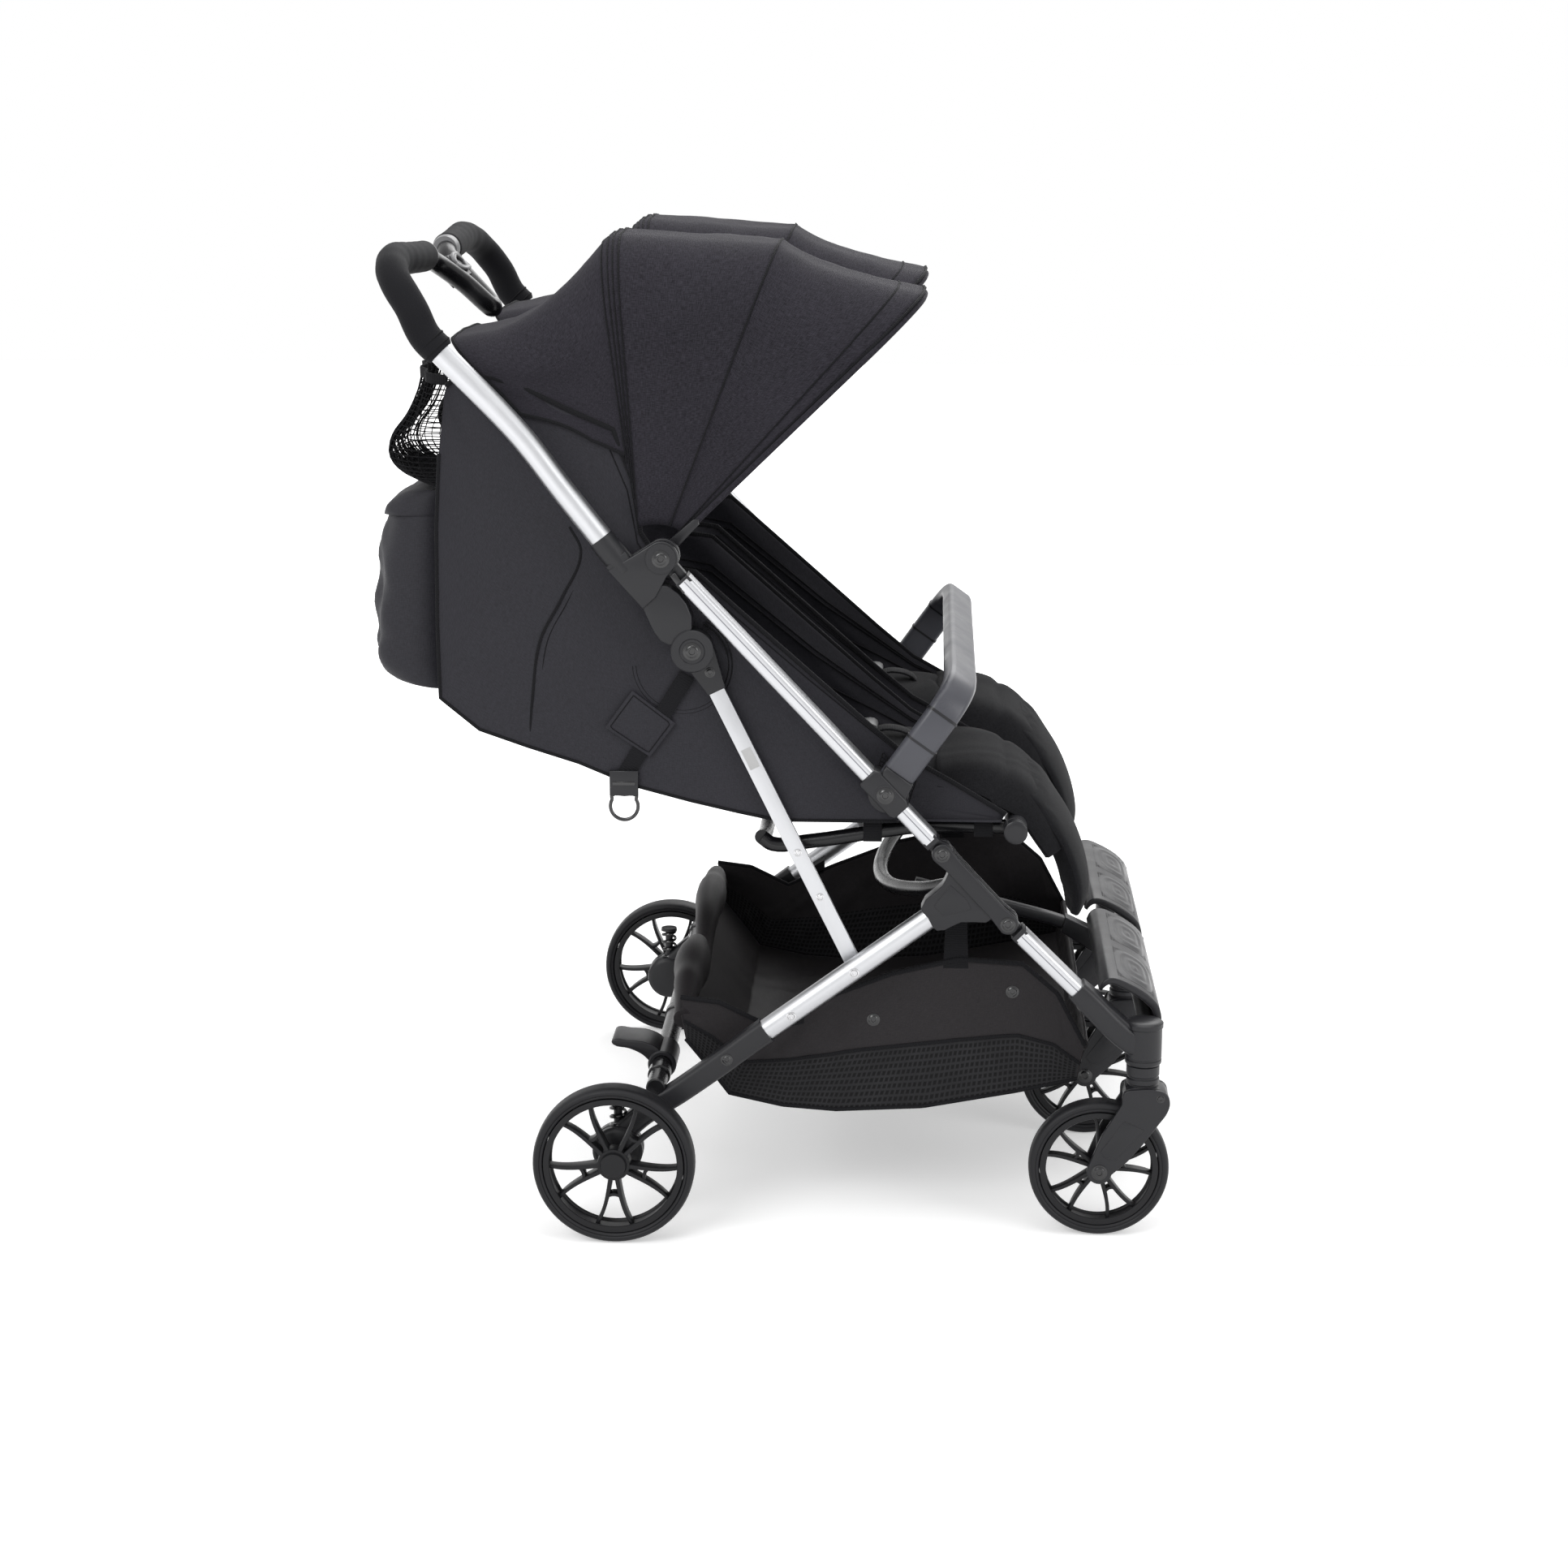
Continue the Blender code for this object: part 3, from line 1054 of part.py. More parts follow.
BASKET_INSIDE = [
    (-0.1560, 0.1690), (-0.1370, 0.1350), (-0.0850, 0.1230), (-0.0300, 0.1190), (0.0600, 0.1240),
    (0.1530, 0.1420),
    (0.2150, 0.1565), (0.2220, 0.1900), (0.2000, 0.2300), (0.1900, 0.3400), (-0.1560, 0.3400),
    (-0.1560, 0.2000),
]


def build_basket():
    """Shopping basket: a fabric trough with high sides and a padded rear rim, open on top."""
    low, high = -BASKET_HALF, BASKET_HALF
    basket = make("basket", prism(BASKET_OUTLINE, low, high), "charcoal_fabric")
    wall = BASKET_WALL
    cut(basket, temp(prism(BASKET_INSIDE, low + wall, high - wall)))
    tabs = []
    for sign in (-1, 1):
        inner, outer = spread(sign, high - wall - HALF_FRAME, -REAR_LEG_WIDTH / 2 - SEAM)
        tab = [(-0.0850, 0.2260), (-0.0850, 0.2100), (-0.0620, 0.2150), (-0.0620, 0.2400)]
        tabs.append(temp(prism(tab, inner, outer)))
        inner, outer = spread(sign, high - wall - HALF_FRAME, high - HALF_FRAME)
        hanger = [(0.0800, 0.2700), (0.1040, 0.2700), (0.1010, 0.3470), (0.0830, 0.3470)]
        tabs.append(temp(prism(hanger, inner, outer)))
    union(basket, *tabs)


# Brake pedal
PEDAL_SPAN = (-0.235, -0.185)
PEDAL_BLADE = [
    (-0.2150, 0.1560), (-0.2150, 0.1640), (-0.2300, 0.1740), (-0.2500, 0.1760), (-0.2660, 0.1740),
    (-0.2640, 0.1700),
    (-0.2480, 0.1660), (-0.2340, 0.1580),
]

# Assemblies
SIDES = (("right", -1), ("left", 1))


def build_frame():
    """The rear frame, which is the root that everything else is carried on, its struts and wheels."""
    for word, sign in SIDES:
        build_rear_leg(word, sign)
        build_gusset_bar(word, sign)
        build_axle_leg(word, sign)
        build_strut(word, sign)
        build_wheel(
            f"rear_wheel_{word}", REAR_AXLE, sign * REAR_HALF_TRACK, REAR_WHEEL_RADIUS, REAR_TYRE_WIDTH,
            -90, REAR_AXLE_RADIUS + CLEAR, sign,
        )
    build_cross_tube()
    build_stretcher()
    build_brake()
    build_basket()


def build_brake():
    """Foot pedal on a sleeve round the rear cross tube."""
    sleeve_outer, sleeve_bore = 0.0150, CROSS_RADIUS + CLEAR
    y0, y1 = PEDAL_SPAN
    pedal = make(
        "brake_pedal", turned([(y0, sleeve_outer), (y1, sleeve_outer)], side(CROSS_TUBE, 0), 16),
        "dark_plastic",
    )
    union(pedal, temp(prism(PEDAL_BLADE[::-1], y0 + 0.002, y1 - 0.002, 0.0010)))
    cut(pedal, temp(turned([(y0 - 0.01, sleeve_bore), (y1 + 0.01, sleeve_bore)], side(CROSS_TUBE, 0), 16)))
    move_origin(pedal, side(CROSS_TUBE, 0))


def build_front():
    """Lower legs, posts, casters, front wheels and footrests."""
    for word, sign in SIDES:
        build_lower_leg(word, sign)
        build_footrest(word, sign * HALF_FRAME / 2)
    for word, y, leg_sign in (("right", -HALF_FRAME, -1), ("middle", 0.0, 0), ("left", HALF_FRAME, 1)):
        build_post(word, y, leg_sign)
        build_fork(word, y)
        build_wheel(
            f"front_wheel_{word}", FRONT_AXLE, y, FRONT_WHEEL_RADIUS, FRONT_TYRE_WIDTH, 8,
            FRONT_AXLE_RADIUS + CLEAR, 0,
        )


def build_handle():
    """Handle tubes, joints, foam arches and the middle tube with its release."""
    for word, sign in SIDES:
        build_handle_tube(word, sign)
        build_handle_joint(word, sign)
        build_arch(word, sign)
    build_centre_tube()
    build_fold_release()


def build_front_frame():
    """Upper legs with their sockets, the bumper bar and the seat frame."""
    for word, sign in SIDES:
        build_upper_leg(word, sign)
        build_socket(word, sign)
    build_bumper_bar()
    build_seat_frame()


def build_soft():
    """The seats and their recline straps."""
    for word, sign in SIDES:
        build_seat(word, sign)
        build_strap(word, sign)


def main():
    """Clears the scene and builds every piece."""
    for obj in list(bpy.data.objects):
        bpy.data.objects.remove(obj, do_unlink=True)
    build_frame()
    build_front()
    build_handle()
    build_front_frame()
    build_soft()


if __name__ == "__main__":
    main()
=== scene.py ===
"""Looks of the side-by-side double stroller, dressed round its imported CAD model.

Lengths are metres. Side-view points are (x, z) of the drawing, whose zero lies below the seats; place() carries
them into the frame that the CAD model stands in.
"""

import logging
import math
from dataclasses import dataclass
from enum import Enum
from typing import Sequence

import bmesh
import bpy
import numpy as np
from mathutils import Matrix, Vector


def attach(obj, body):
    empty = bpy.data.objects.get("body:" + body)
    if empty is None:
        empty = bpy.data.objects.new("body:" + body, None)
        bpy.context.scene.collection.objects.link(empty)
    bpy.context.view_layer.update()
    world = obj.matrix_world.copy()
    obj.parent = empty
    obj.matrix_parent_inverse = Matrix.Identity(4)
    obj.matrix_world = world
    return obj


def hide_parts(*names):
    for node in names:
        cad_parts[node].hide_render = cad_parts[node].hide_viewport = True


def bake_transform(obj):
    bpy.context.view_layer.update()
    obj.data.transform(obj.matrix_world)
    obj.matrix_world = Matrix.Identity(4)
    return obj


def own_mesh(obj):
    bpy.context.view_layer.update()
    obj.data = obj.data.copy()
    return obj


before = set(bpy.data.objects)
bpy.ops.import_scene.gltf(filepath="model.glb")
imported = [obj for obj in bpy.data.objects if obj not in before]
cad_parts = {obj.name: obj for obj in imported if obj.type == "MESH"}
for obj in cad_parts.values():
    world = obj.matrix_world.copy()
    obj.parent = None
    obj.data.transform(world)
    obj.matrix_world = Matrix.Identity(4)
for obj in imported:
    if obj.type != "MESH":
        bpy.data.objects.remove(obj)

LOG = logging.getLogger("stroller")
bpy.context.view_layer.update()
ORIGIN_X = 0.0963  # from the drawing's zero to the middle of the length
HALF_FRAME = 0.3
SEAT_MID = 0.152
FRAME_WIDTH = 0.026
LEG_DEPTH = 0.0165
UV_MAP = "metres"
ARCH_ACROSS = (0.72, 0, 0.69)  # square to the handle's arches, in the side view
UP = (0, 0, 1)
BACK_FRONT = 0.014  # from the recline axis to the middle of the seat back
WAVE_TURN = 6.283  # a wave texture's bands repeat after this many of its units
Spot = tuple[float, float]
Socket = bpy.types.NodeSocket


class Side(Enum):
    """The stroller's two sides; the right one faces the camera."""

    RIGHT = "right"
    LEFT = "left"

    @property
    def sign(self) -> int:
        """-1 on the right, 1 on the left."""
        return -1 if self is Side.RIGHT else 1

    @property
    def y(self) -> float:
        """The plane of the side frame."""
        return self.sign * HALF_FRAME

    @property
    def seat(self) -> float:
        """The middle plane of the seat."""
        return self.sign * SEAT_MID


class Place(Enum):
    """The three front wheels."""

    RIGHT = "right"
    MIDDLE = "middle"
    LEFT = "left"

    @property
    def y(self) -> float:
        """Where the wheel's plane stands."""
        return {"right": -HALF_FRAME, "middle": 0.0, "left": HALF_FRAME}[self.value]


PIVOT_A: Spot = (-0.202, 0.697)
PIVOT_B: Spot = (-0.172, 0.605)
PIVOT_C: Spot = (0.0765, 0.4015)
PIVOT_D: Spot = (-0.0107, 0.2764)
PIVOT_E: Spot = (0.143, 0.33)
FRONT_AXLE: Spot = (0.24, 0.0715)
POST_X = 0.2825  # the casters' upright axes
REAR_TRACK = 0.344  # from the middle to a rear wheel's plane


def place(x: np.ndarray, z: np.ndarray, y: np.ndarray) -> np.ndarray:
    """Drawing coordinates as points of the frame.

    Args:
        x: forward, from the drawing's zero.
        z: up from the floor.
        y: to the stroller's left.

    Returns:
        An array whose last axis is (x, y, z).
    """
    x, z, y = np.broadcast_arrays(np.asarray(x, float), np.asarray(z, float), np.asarray(y, float))
    return np.stack([x + ORIGIN_X, y, z], -1)


def spots(points: Sequence[Spot], y: float | Sequence[float]) -> np.ndarray:
    """Side-view points at y, one y for all or one each."""
    flat = np.asarray(points, float)
    return place(flat[:, 0], flat[:, 1], np.asarray(y, float))


def way(start: Spot, end: Spot) -> np.ndarray:
    """The side-view unit vector from start to end."""
    span = np.subtract(end, start)
    return span / np.linalg.norm(span)


def step(point: Spot, along: np.ndarray, distance: float, across: float = 0.0) -> Spot:
    """A side-view point moved along a direction and to its left."""
    return (
        float(point[0] + along[0] * distance - along[1] * across),
        float(point[1] + along[1] * distance + along[0] * across),
    )


def stepped(point: Spot, along: np.ndarray, pairs: Sequence[Spot]) -> list[Spot]:
    """Side-view points at (along, across) pairs from a point."""
    return [step(point, along, distance, across) for distance, across in pairs]


def strip(point: Spot, along: np.ndarray, start: float, end: float, half: float) -> list[Spot]:
    """The corners of a strip from start to end along a direction, half wide on either side."""
    return stepped(point, along, ((start, -half), (end, -half), (end, half), (start, half)))


def mirrored(half: Sequence[Sequence[float]]) -> np.ndarray:
    """Points of the frame for (x, z, y) rows that end on the middle plane, and for their mirror image back out."""
    rows = np.array(list(half) + [(x, z, -y) for x, z, y in half[-2::-1]])
    return place(rows[:, 0], rows[:, 1], rows[:, 2])


def run_of(path: np.ndarray) -> np.ndarray:
    """The length along a path at each of its points."""
    return np.concatenate([[0], np.cumsum(np.linalg.norm(np.diff(path, axis=0), axis=1))])


def arc(centre: Spot, radius: float, start: float, end: float, count: int) -> list[Spot]:
    """Points of a side-view arc, angles in degrees from +X towards +Z."""
    turn = np.radians(np.linspace(start, end, count))
    return list(zip(centre[0] + radius * np.cos(turn), centre[1] + radius * np.sin(turn)))


def curve(points: np.ndarray, per_span: int = 6) -> np.ndarray:
    """A smooth curve through points: a cubic Hermite span between neighbours.

    Each span is h(t) = p0 (2t3 - 3t2 + 1) + m0 (t3 - 2t2 + t) + p1 (3t2 - 2t3) + m1 (t3 - t2), where the slope m at
    a point is the mean direction of the two spans that meet there, times the span's own length.

    Args:
        points: n by 2 or n by 3.
        per_span: points for each span.

    Returns:
        The curve's points.
    """
    points = np.asarray(points, float)
    chord = np.diff(points, axis=0)
    size = np.linalg.norm(chord, axis=1)
    ends = np.vstack([chord[:1], chord, chord[-1:]])
    sizes = np.concatenate([size[:1], size, size[-1:]])
    slope = ends[:-1] / sizes[:-1, None] + ends[1:] / sizes[1:, None]
    slope /= np.maximum(np.linalg.norm(slope, axis=1), 1e-9)[:, None]
    t = np.arange(per_span)[None, :, None] / per_span
    p0, p1 = points[:-1, None], points[1:, None]
    m0, m1 = slope[:-1, None] * size[:, None, None], slope[1:, None] * size[:, None, None]
    leave, leave_slope = 2 * t**3 - 3 * t**2 + 1, t**3 - 2 * t**2 + t
    reach, reach_slope = 3 * t**2 - 2 * t**3, t**3 - t**2
    spans = p0 * leave + m0 * leave_slope + p1 * reach + m1 * reach_slope
    return np.vstack([spans.reshape(-1, points.shape[1]), points[-1:]])


def even(path: np.ndarray, count: int) -> np.ndarray:
    """A path's points spread evenly along its length."""
    run = run_of(path)
    marks = np.linspace(0, run[-1], count)
    return np.stack([np.interp(marks, run, path[:, i]) for i in range(path.shape[1])], -1)


def rounded(width: float, depth: float, radius: float, corner: int = 6) -> np.ndarray:
    """A rectangle with round corners, as (across, in plane) pairs."""
    turn = np.radians(np.linspace(0, 90, corner))
    quarter = np.stack([np.cos(turn), np.sin(turn)], -1) * radius
    parts = []
    for quadrant, (sx, sy) in enumerate(((1, 1), (-1, 1), (-1, -1), (1, -1))):
        spin = math.pi / 2 * quadrant
        bend = np.array([[math.cos(spin), math.sin(spin)], [-math.sin(spin), math.cos(spin)]])
        parts.append(quarter @ bend + [sx * (width / 2 - radius), sy * (depth / 2 - radius)])
    return np.vstack(parts)


def oval(width: float, depth: float, count: int = 24) -> np.ndarray:
    """An ellipse as (across, in plane) pairs."""
    turn = np.linspace(0, 2 * math.pi, count, endpoint=False)
    return np.stack([width / 2 * np.cos(turn), depth / 2 * np.sin(turn)], -1)


def waves(u: np.ndarray, v: np.ndarray, seed: int, count: int = 7, low: float = 4.0, high: float = 22.0) -> np.ndarray:
    """Soft creases: a sum of sine waves in seeded directions, each weaker as it gets finer, between about -1 and 1."""
    rng = np.random.default_rng(seed)
    turn = rng.uniform(0, math.pi, count)
    rate = np.geomspace(low, high, count)
    phase = rng.uniform(0, 2 * math.pi, count)
    total = np.zeros(np.broadcast(u, v).shape)
    for k in range(count):
        run = (u * math.cos(turn[k]) + v * math.sin(turn[k])) * rate[k] * 2 * math.pi
        total = total + np.sin(run + phase[k] + 1.3 * np.sin(run * 0.37 + phase[-k])) * (low / rate[k]) ** 0.6
    return total / 2.2


class Shell:
    """Collects the surfaces of one piece, each a grid of points or a flat outline, and makes its mesh.

    Every surface carries a UV map in metres, so cloth and brushed metal follow it.
    """

    def __init__(self) -> None:
        """Starts empty."""
        self.points: list[np.ndarray] = []
        self.faces: list[list[int]] = []
        self.marks: list[np.ndarray] = []
        self.slots: list[int] = []
        self.total = 0

    def add(self, points: np.ndarray, faces: np.ndarray, marks: np.ndarray, slot: int) -> None:
        """Adds faces over their own points, with a UV pair for each corner."""
        self.points.append(points)
        self.faces += (faces + self.total).tolist()
        self.marks.append(marks.reshape(-1, 2))
        self.slots += [slot] * len(faces)
        self.total += len(points)

    def grid(self, grid: np.ndarray, ring: bool = False, loop: bool = False, caps: bool = False, slot: int = 0) -> None:
        """A surface over a grid of rows and columns.

        Args:
            grid: rows by columns by 3.
            ring: the last column joins the first.
            loop: the last row joins the first.
            caps: the first and last rows are closed with a flat face.
            slot: the finish's place in the piece's list.
        """
        rows, columns = grid.shape[:2]
        index = np.arange(rows * columns).reshape(rows, columns)
        r, c = np.meshgrid(np.arange(rows - (not loop)), np.arange(columns - (not ring)), indexing="ij")
        r1, c1 = (r + 1) % rows, (c + 1) % columns
        quads = np.stack([index[r, c], index[r, c1], index[r1, c1], index[r1, c]], -1).reshape(-1, 4)
        along = np.linalg.norm(np.diff(grid, axis=0, append=grid[:1]), axis=2).mean(1)
        across = np.linalg.norm(np.diff(grid, axis=1, append=grid[:, :1]), axis=2).mean(0)
        v = np.concatenate([[0], np.cumsum(along)])
        u = np.concatenate([[0], np.cumsum(across)])
        marks = np.stack(
            [np.stack([u[c], v[r]], -1), np.stack([u[c + 1], v[r]], -1), np.stack([u[c + 1], v[r + 1]], -1),
             np.stack([u[c], v[r + 1]], -1)], -2
        )
        self.add(grid.reshape(-1, 3), quads, marks, slot)
        if caps:
            for row in (index[0][::-1], index[-1]):
                flat = grid.reshape(-1, 3)[row]
                self.faces.append((row + self.total - rows * columns).tolist())
                self.marks.append(flat[:, [0, 2]])
                self.slots.append(slot)

    def sweep(
        self, path: np.ndarray, section: np.ndarray, lateral: Sequence[float] = (0, 1, 0),
        sizes: np.ndarray | None = None, slot: int = 0,
    ) -> None:
        """A closed profile carried along a path: point + across * a * size + normal * b * size at each ring.

        Args:
            path: n by 3.
            section: (across, in plane) pairs.
            lateral: the direction that the profile's first coordinate keeps to.
            sizes: a share of the profile's size at each ring.
            slot: the finish's place in the piece's list.
        """
        tangent = np.gradient(path, axis=0)
        tangent /= np.linalg.norm(tangent, axis=1)[:, None]
        side = np.asarray(lateral, float)
        across = side - tangent * (tangent @ side)[:, None]
        across /= np.linalg.norm(across, axis=1)[:, None]
        normal = np.cross(tangent, across)
        size = (np.ones(len(path)) if sizes is None else np.asarray(sizes))[:, None, None]
        grid = path[:, None] + (across[:, None] * section[None, :, :1] + normal[:, None] * section[None, :, 1:]) * size
        self.grid(grid, ring=True, caps=True, slot=slot)

    def turned(
        self, profile: Sequence[Spot], centre: Sequence[float], axis: str = "Y", count: int = 40, loop: bool = False,
        slot: int = 0,
    ) -> None:
        """A profile of (along the axis, radius) turned about an axis through the centre.

        Args:
            profile: from one end to the other; with loop it closes on itself as a ring.
            centre: a point of the axis.
            axis: X, Y or Z.
            count: faces round.
            loop: the profile is closed.
            slot: the finish's place in the piece's list.
        """
        rows = np.asarray(profile, float)
        turn = np.linspace(0, 2 * math.pi, count, endpoint=False)
        along = np.broadcast_to(rows[:, :1], (len(rows), count))
        u = rows[:, 1:] * np.cos(turn)
        v = rows[:, 1:] * np.sin(turn)
        order = {"X": (along, u, v), "Y": (u, along, v), "Z": (u, v, along)}[axis]
        self.grid(np.stack(order, -1) + np.asarray(centre, float), ring=True, loop=loop, caps=not loop, slot=slot)

    def plate(self, outline: Sequence[Spot], y0: float, y1: float, edge: float = 0.001, slot: int = 0) -> None:
        """A side-view outline carried from y0 to y1, its rims rounded by drawing the outline in over three steps.

        Args:
            outline: side-view points in order.
            y0: one face.
            y1: the other face.
            edge: how far the rims are rounded.
            slot: the finish's place in the piece's list.
        """
        flat = np.asarray(outline, float)
        y0, y1 = min(y0, y1), max(y0, y1)
        ahead = np.roll(flat, -1, 0) - flat
        ahead /= np.maximum(np.linalg.norm(ahead, axis=1), 1e-9)[:, None]
        behind = np.roll(ahead, 1, 0)
        area = np.sum(flat[:, 0] * np.roll(flat[:, 1], -1) - np.roll(flat[:, 0], -1) * flat[:, 1])
        outward = np.stack([ahead[:, 1] + behind[:, 1], -ahead[:, 0] - behind[:, 0]], -1) * np.sign(area)
        outward /= np.maximum(np.linalg.norm(outward, axis=1), 1e-9)[:, None]
        turn = np.radians([0, 35, 65, 90])
        drawn = edge * (1 - np.sin(turn))
        depth = edge * (1 - np.cos(turn))
        rings = [place(*(flat - outward * d).T, y0 + h) for d, h in zip(drawn, depth)]
        rings += [place(*(flat - outward * d).T, y1 - h) for d, h in zip(drawn[::-1], depth[::-1])]
        self.grid(np.stack(rings), ring=True, caps=True, slot=slot)

    def build(
        self, name: str, finishes: Sequence["Finish"], outward: bool = True, angle: float = 38.0
    ) -> bpy.types.Object:
        """The mesh as an object at the origin.

        Args:
            name: the piece's name.
            finishes: one for each slot.
            outward: turn the faces outwards, for closed pieces.
            angle: edges sharper than this many degrees stay sharp.

        Returns:
            The object, linked to the scene.
        """
        mesh = bpy.data.meshes.new(name)
        mesh.from_pydata(np.vstack(self.points).tolist(), [], self.faces)
        layer = mesh.uv_layers.new(name=UV_MAP)
        layer.data.foreach_set("uv", np.vstack(self.marks).astype(np.float32).ravel())
        mesh.polygons.foreach_set("material_index", np.asarray(self.slots, np.int32))
        for finish in finishes:
            mesh.materials.append(finish.material())
        work = bmesh.new()
        work.from_mesh(mesh)
        bmesh.ops.remove_doubles(work, verts=work.verts, dist=1e-6)
        if outward:
            bmesh.ops.recalc_face_normals(work, faces=work.faces)
        work.to_mesh(mesh)
        work.free()
        mesh.shade_smooth()
        mesh.set_sharp_from_angle(angle=math.radians(angle))
        piece = bpy.data.objects.new(name, mesh)
        bpy.context.scene.collection.objects.link(piece)
        return piece


def fit(piece: bpy.types.Object, body: str, *nodes: str) -> bpy.types.Object:
    """Puts a finished piece on its body in place of the CAD nodes that it stands for, and reports it."""
    if nodes:
        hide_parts(*nodes)
    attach(piece, body)
    LOG.info("%s on %s, %d faces", piece.name, body, len(piece.data.polygons))
    return piece


def thicken(piece: bpy.types.Object, depth: float, offset: float = 0.0) -> bpy.types.Object:
    """Gives a sheet its thickness, outwards for offset 1, inwards for -1 and both ways for 0."""
    wall = piece.modifiers.new("cloth", "SOLIDIFY")
    wall.thickness = depth
    wall.offset = offset
    wall.use_even_offset = False
    return piece


# Finishes
@dataclass(frozen=True)
class Finish:
    """A procedural finish: its colour, its roughness, and the grain that its nodes add."""

    name: str
    colour: tuple[float, float, float]
    rough: float
    metal: float = 0.0
    coat: float = 0.0
    sheen: float = 0.0
    gloss: float = 0.32

    def material(self) -> bpy.types.Material:
        """The material of this finish, made once."""
        found = bpy.data.materials.get(self.name)
        if found:
            return found
        made = bpy.data.materials.new(self.name)
        made.use_nodes = True
        shader = made.node_tree.nodes["Principled BSDF"]
        shader.inputs["Base Color"].default_value = (*self.colour, 1)
        shader.inputs["Roughness"].default_value = self.rough
        shader.inputs["Metallic"].default_value = self.metal
        shader.inputs["Specular IOR Level"].default_value = self.gloss
        shader.inputs["Coat Weight"].default_value = self.coat
        shader.inputs["Coat Roughness"].default_value = 0.25
        shader.inputs["Sheen Weight"].default_value = self.sheen
        shader.inputs["Sheen Roughness"].default_value = 0.45
        self.detail(Nodes(made), shader)
        return made

    def detail(self, nodes: "Nodes", shader: bpy.types.Node) -> None:
        """Adds the grain; each kind of finish has its own."""

    def dye(
        self, nodes: "Nodes", shader: bpy.types.Node, source: Socket, dark: float, light: float
    ) -> None:
        """Joins the base colour to a source, from a darker share of the finish's colour to a lighter one."""
        tint = nodes.tint(source, shade(self.colour, dark), shade(self.colour, light))
        nodes.join(tint, shader.inputs["Base Color"])


class Nodes:
    """Short ways to add and join shader nodes."""

    def __init__(self, material: bpy.types.Material) -> None:
        """Works on the material's tree."""
        self.tree = material.node_tree

    def add(self, kind: str, **values: object) -> bpy.types.Node:
        """A node of a kind with its properties set."""
        node = self.tree.nodes.new(kind)
        for key, value in values.items():
            setattr(node, key, value)
        return node

    def join(self, output: Socket, target: Socket) -> None:
        """Joins an output to an input."""
        self.tree.links.new(output, target)

    def value(self, target: Socket, source: object) -> None:
        """Sets an input to a number, or joins it to a socket."""
        if isinstance(source, Socket):
            self.join(source, target)
        else:
            target.default_value = source

    def math(self, operation: str, first: object, second: object = 0.0) -> Socket:
        """A Math node's result."""
        node = self.add("ShaderNodeMath", operation=operation)
        self.value(node.inputs[0], first)
        self.value(node.inputs[1], second)
        return node.outputs[0]

    def place(self) -> Socket:
        """Object coordinates."""
        return self.add("ShaderNodeTexCoord").outputs["Object"]

    def metres(self) -> Socket:
        """The piece's own UV map, in metres."""
        return self.add("ShaderNodeUVMap", uv_map=UV_MAP).outputs["UV"]

    def scaled(self, vector: Socket, scale: Sequence[float], turn: float = 0.0) -> Socket:
        """Coordinates scaled, and turned about Z."""
        node = self.add("ShaderNodeMapping")
        self.join(vector, node.inputs["Vector"])
        node.inputs["Scale"].default_value = scale
        node.inputs["Rotation"].default_value = (0, 0, turn)
        return node.outputs[0]

    def noise(self, vector: Socket, scale: float, detail: float = 3.0, rough: float = 0.55) -> Socket:
        """Noise between 0 and 1."""
        node = self.add("ShaderNodeTexNoise")
        self.join(vector, node.inputs["Vector"])
        node.inputs["Scale"].default_value = scale
        node.inputs["Detail"].default_value = detail
        node.inputs["Roughness"].default_value = rough
        return node.outputs["Fac"]

    def wave(self, vector: Socket, direction: str, scale: float, distortion: float = 0.0) -> Socket:
        """Bands across a direction, X or Y, between 0 and 1."""
        node = self.add("ShaderNodeTexWave", wave_type="BANDS", bands_direction=direction)
        self.join(vector, node.inputs["Vector"])
        node.inputs["Scale"].default_value = scale
        node.inputs["Distortion"].default_value = distortion
        return node.outputs["Fac"]

    def weave(self, vector: Socket, scale: float, distortion: float = 0.0) -> Socket:
        """Bands both ways, the higher of the two showing."""
        return self.math("MAXIMUM", *(self.wave(vector, way, scale, distortion) for way in "XY"))

    def span(self, source: Socket, low: float, high: float, a: float = 0.3, b: float = 0.7) -> Socket:
        """A value carried from the range a to b onto low to high."""
        node = self.add("ShaderNodeMapRange")
        self.join(source, node.inputs["Value"])
        for key, number in (("From Min", a), ("From Max", b), ("To Min", low), ("To Max", high)):
            node.inputs[key].default_value = number
        return node.outputs[0]

    def tint(self, source: Socket, dark: Sequence[float], light: Sequence[float]) -> Socket:
        """A colour between dark and light."""
        node = self.add("ShaderNodeMix", data_type="RGBA")
        self.join(source, node.inputs["Factor"])
        node.inputs["A"].default_value = (*dark, 1)
        node.inputs["B"].default_value = (*light, 1)
        return node.outputs["Result"]

    def bump(self, shader: bpy.types.Node, height: Socket, strength: float, distance: float) -> None:
        """Raises the surface by a height."""
        node = self.add("ShaderNodeBump")
        node.inputs["Strength"].default_value = strength
        node.inputs["Distance"].default_value = distance
        self.join(height, node.inputs["Height"])
        self.join(node.outputs[0], shader.inputs["Normal"])


def shade(colour: Sequence[float], share: float) -> tuple[float, ...]:
    """A colour made darker or lighter."""
    return tuple(min(1.0, part * share) for part in colour)


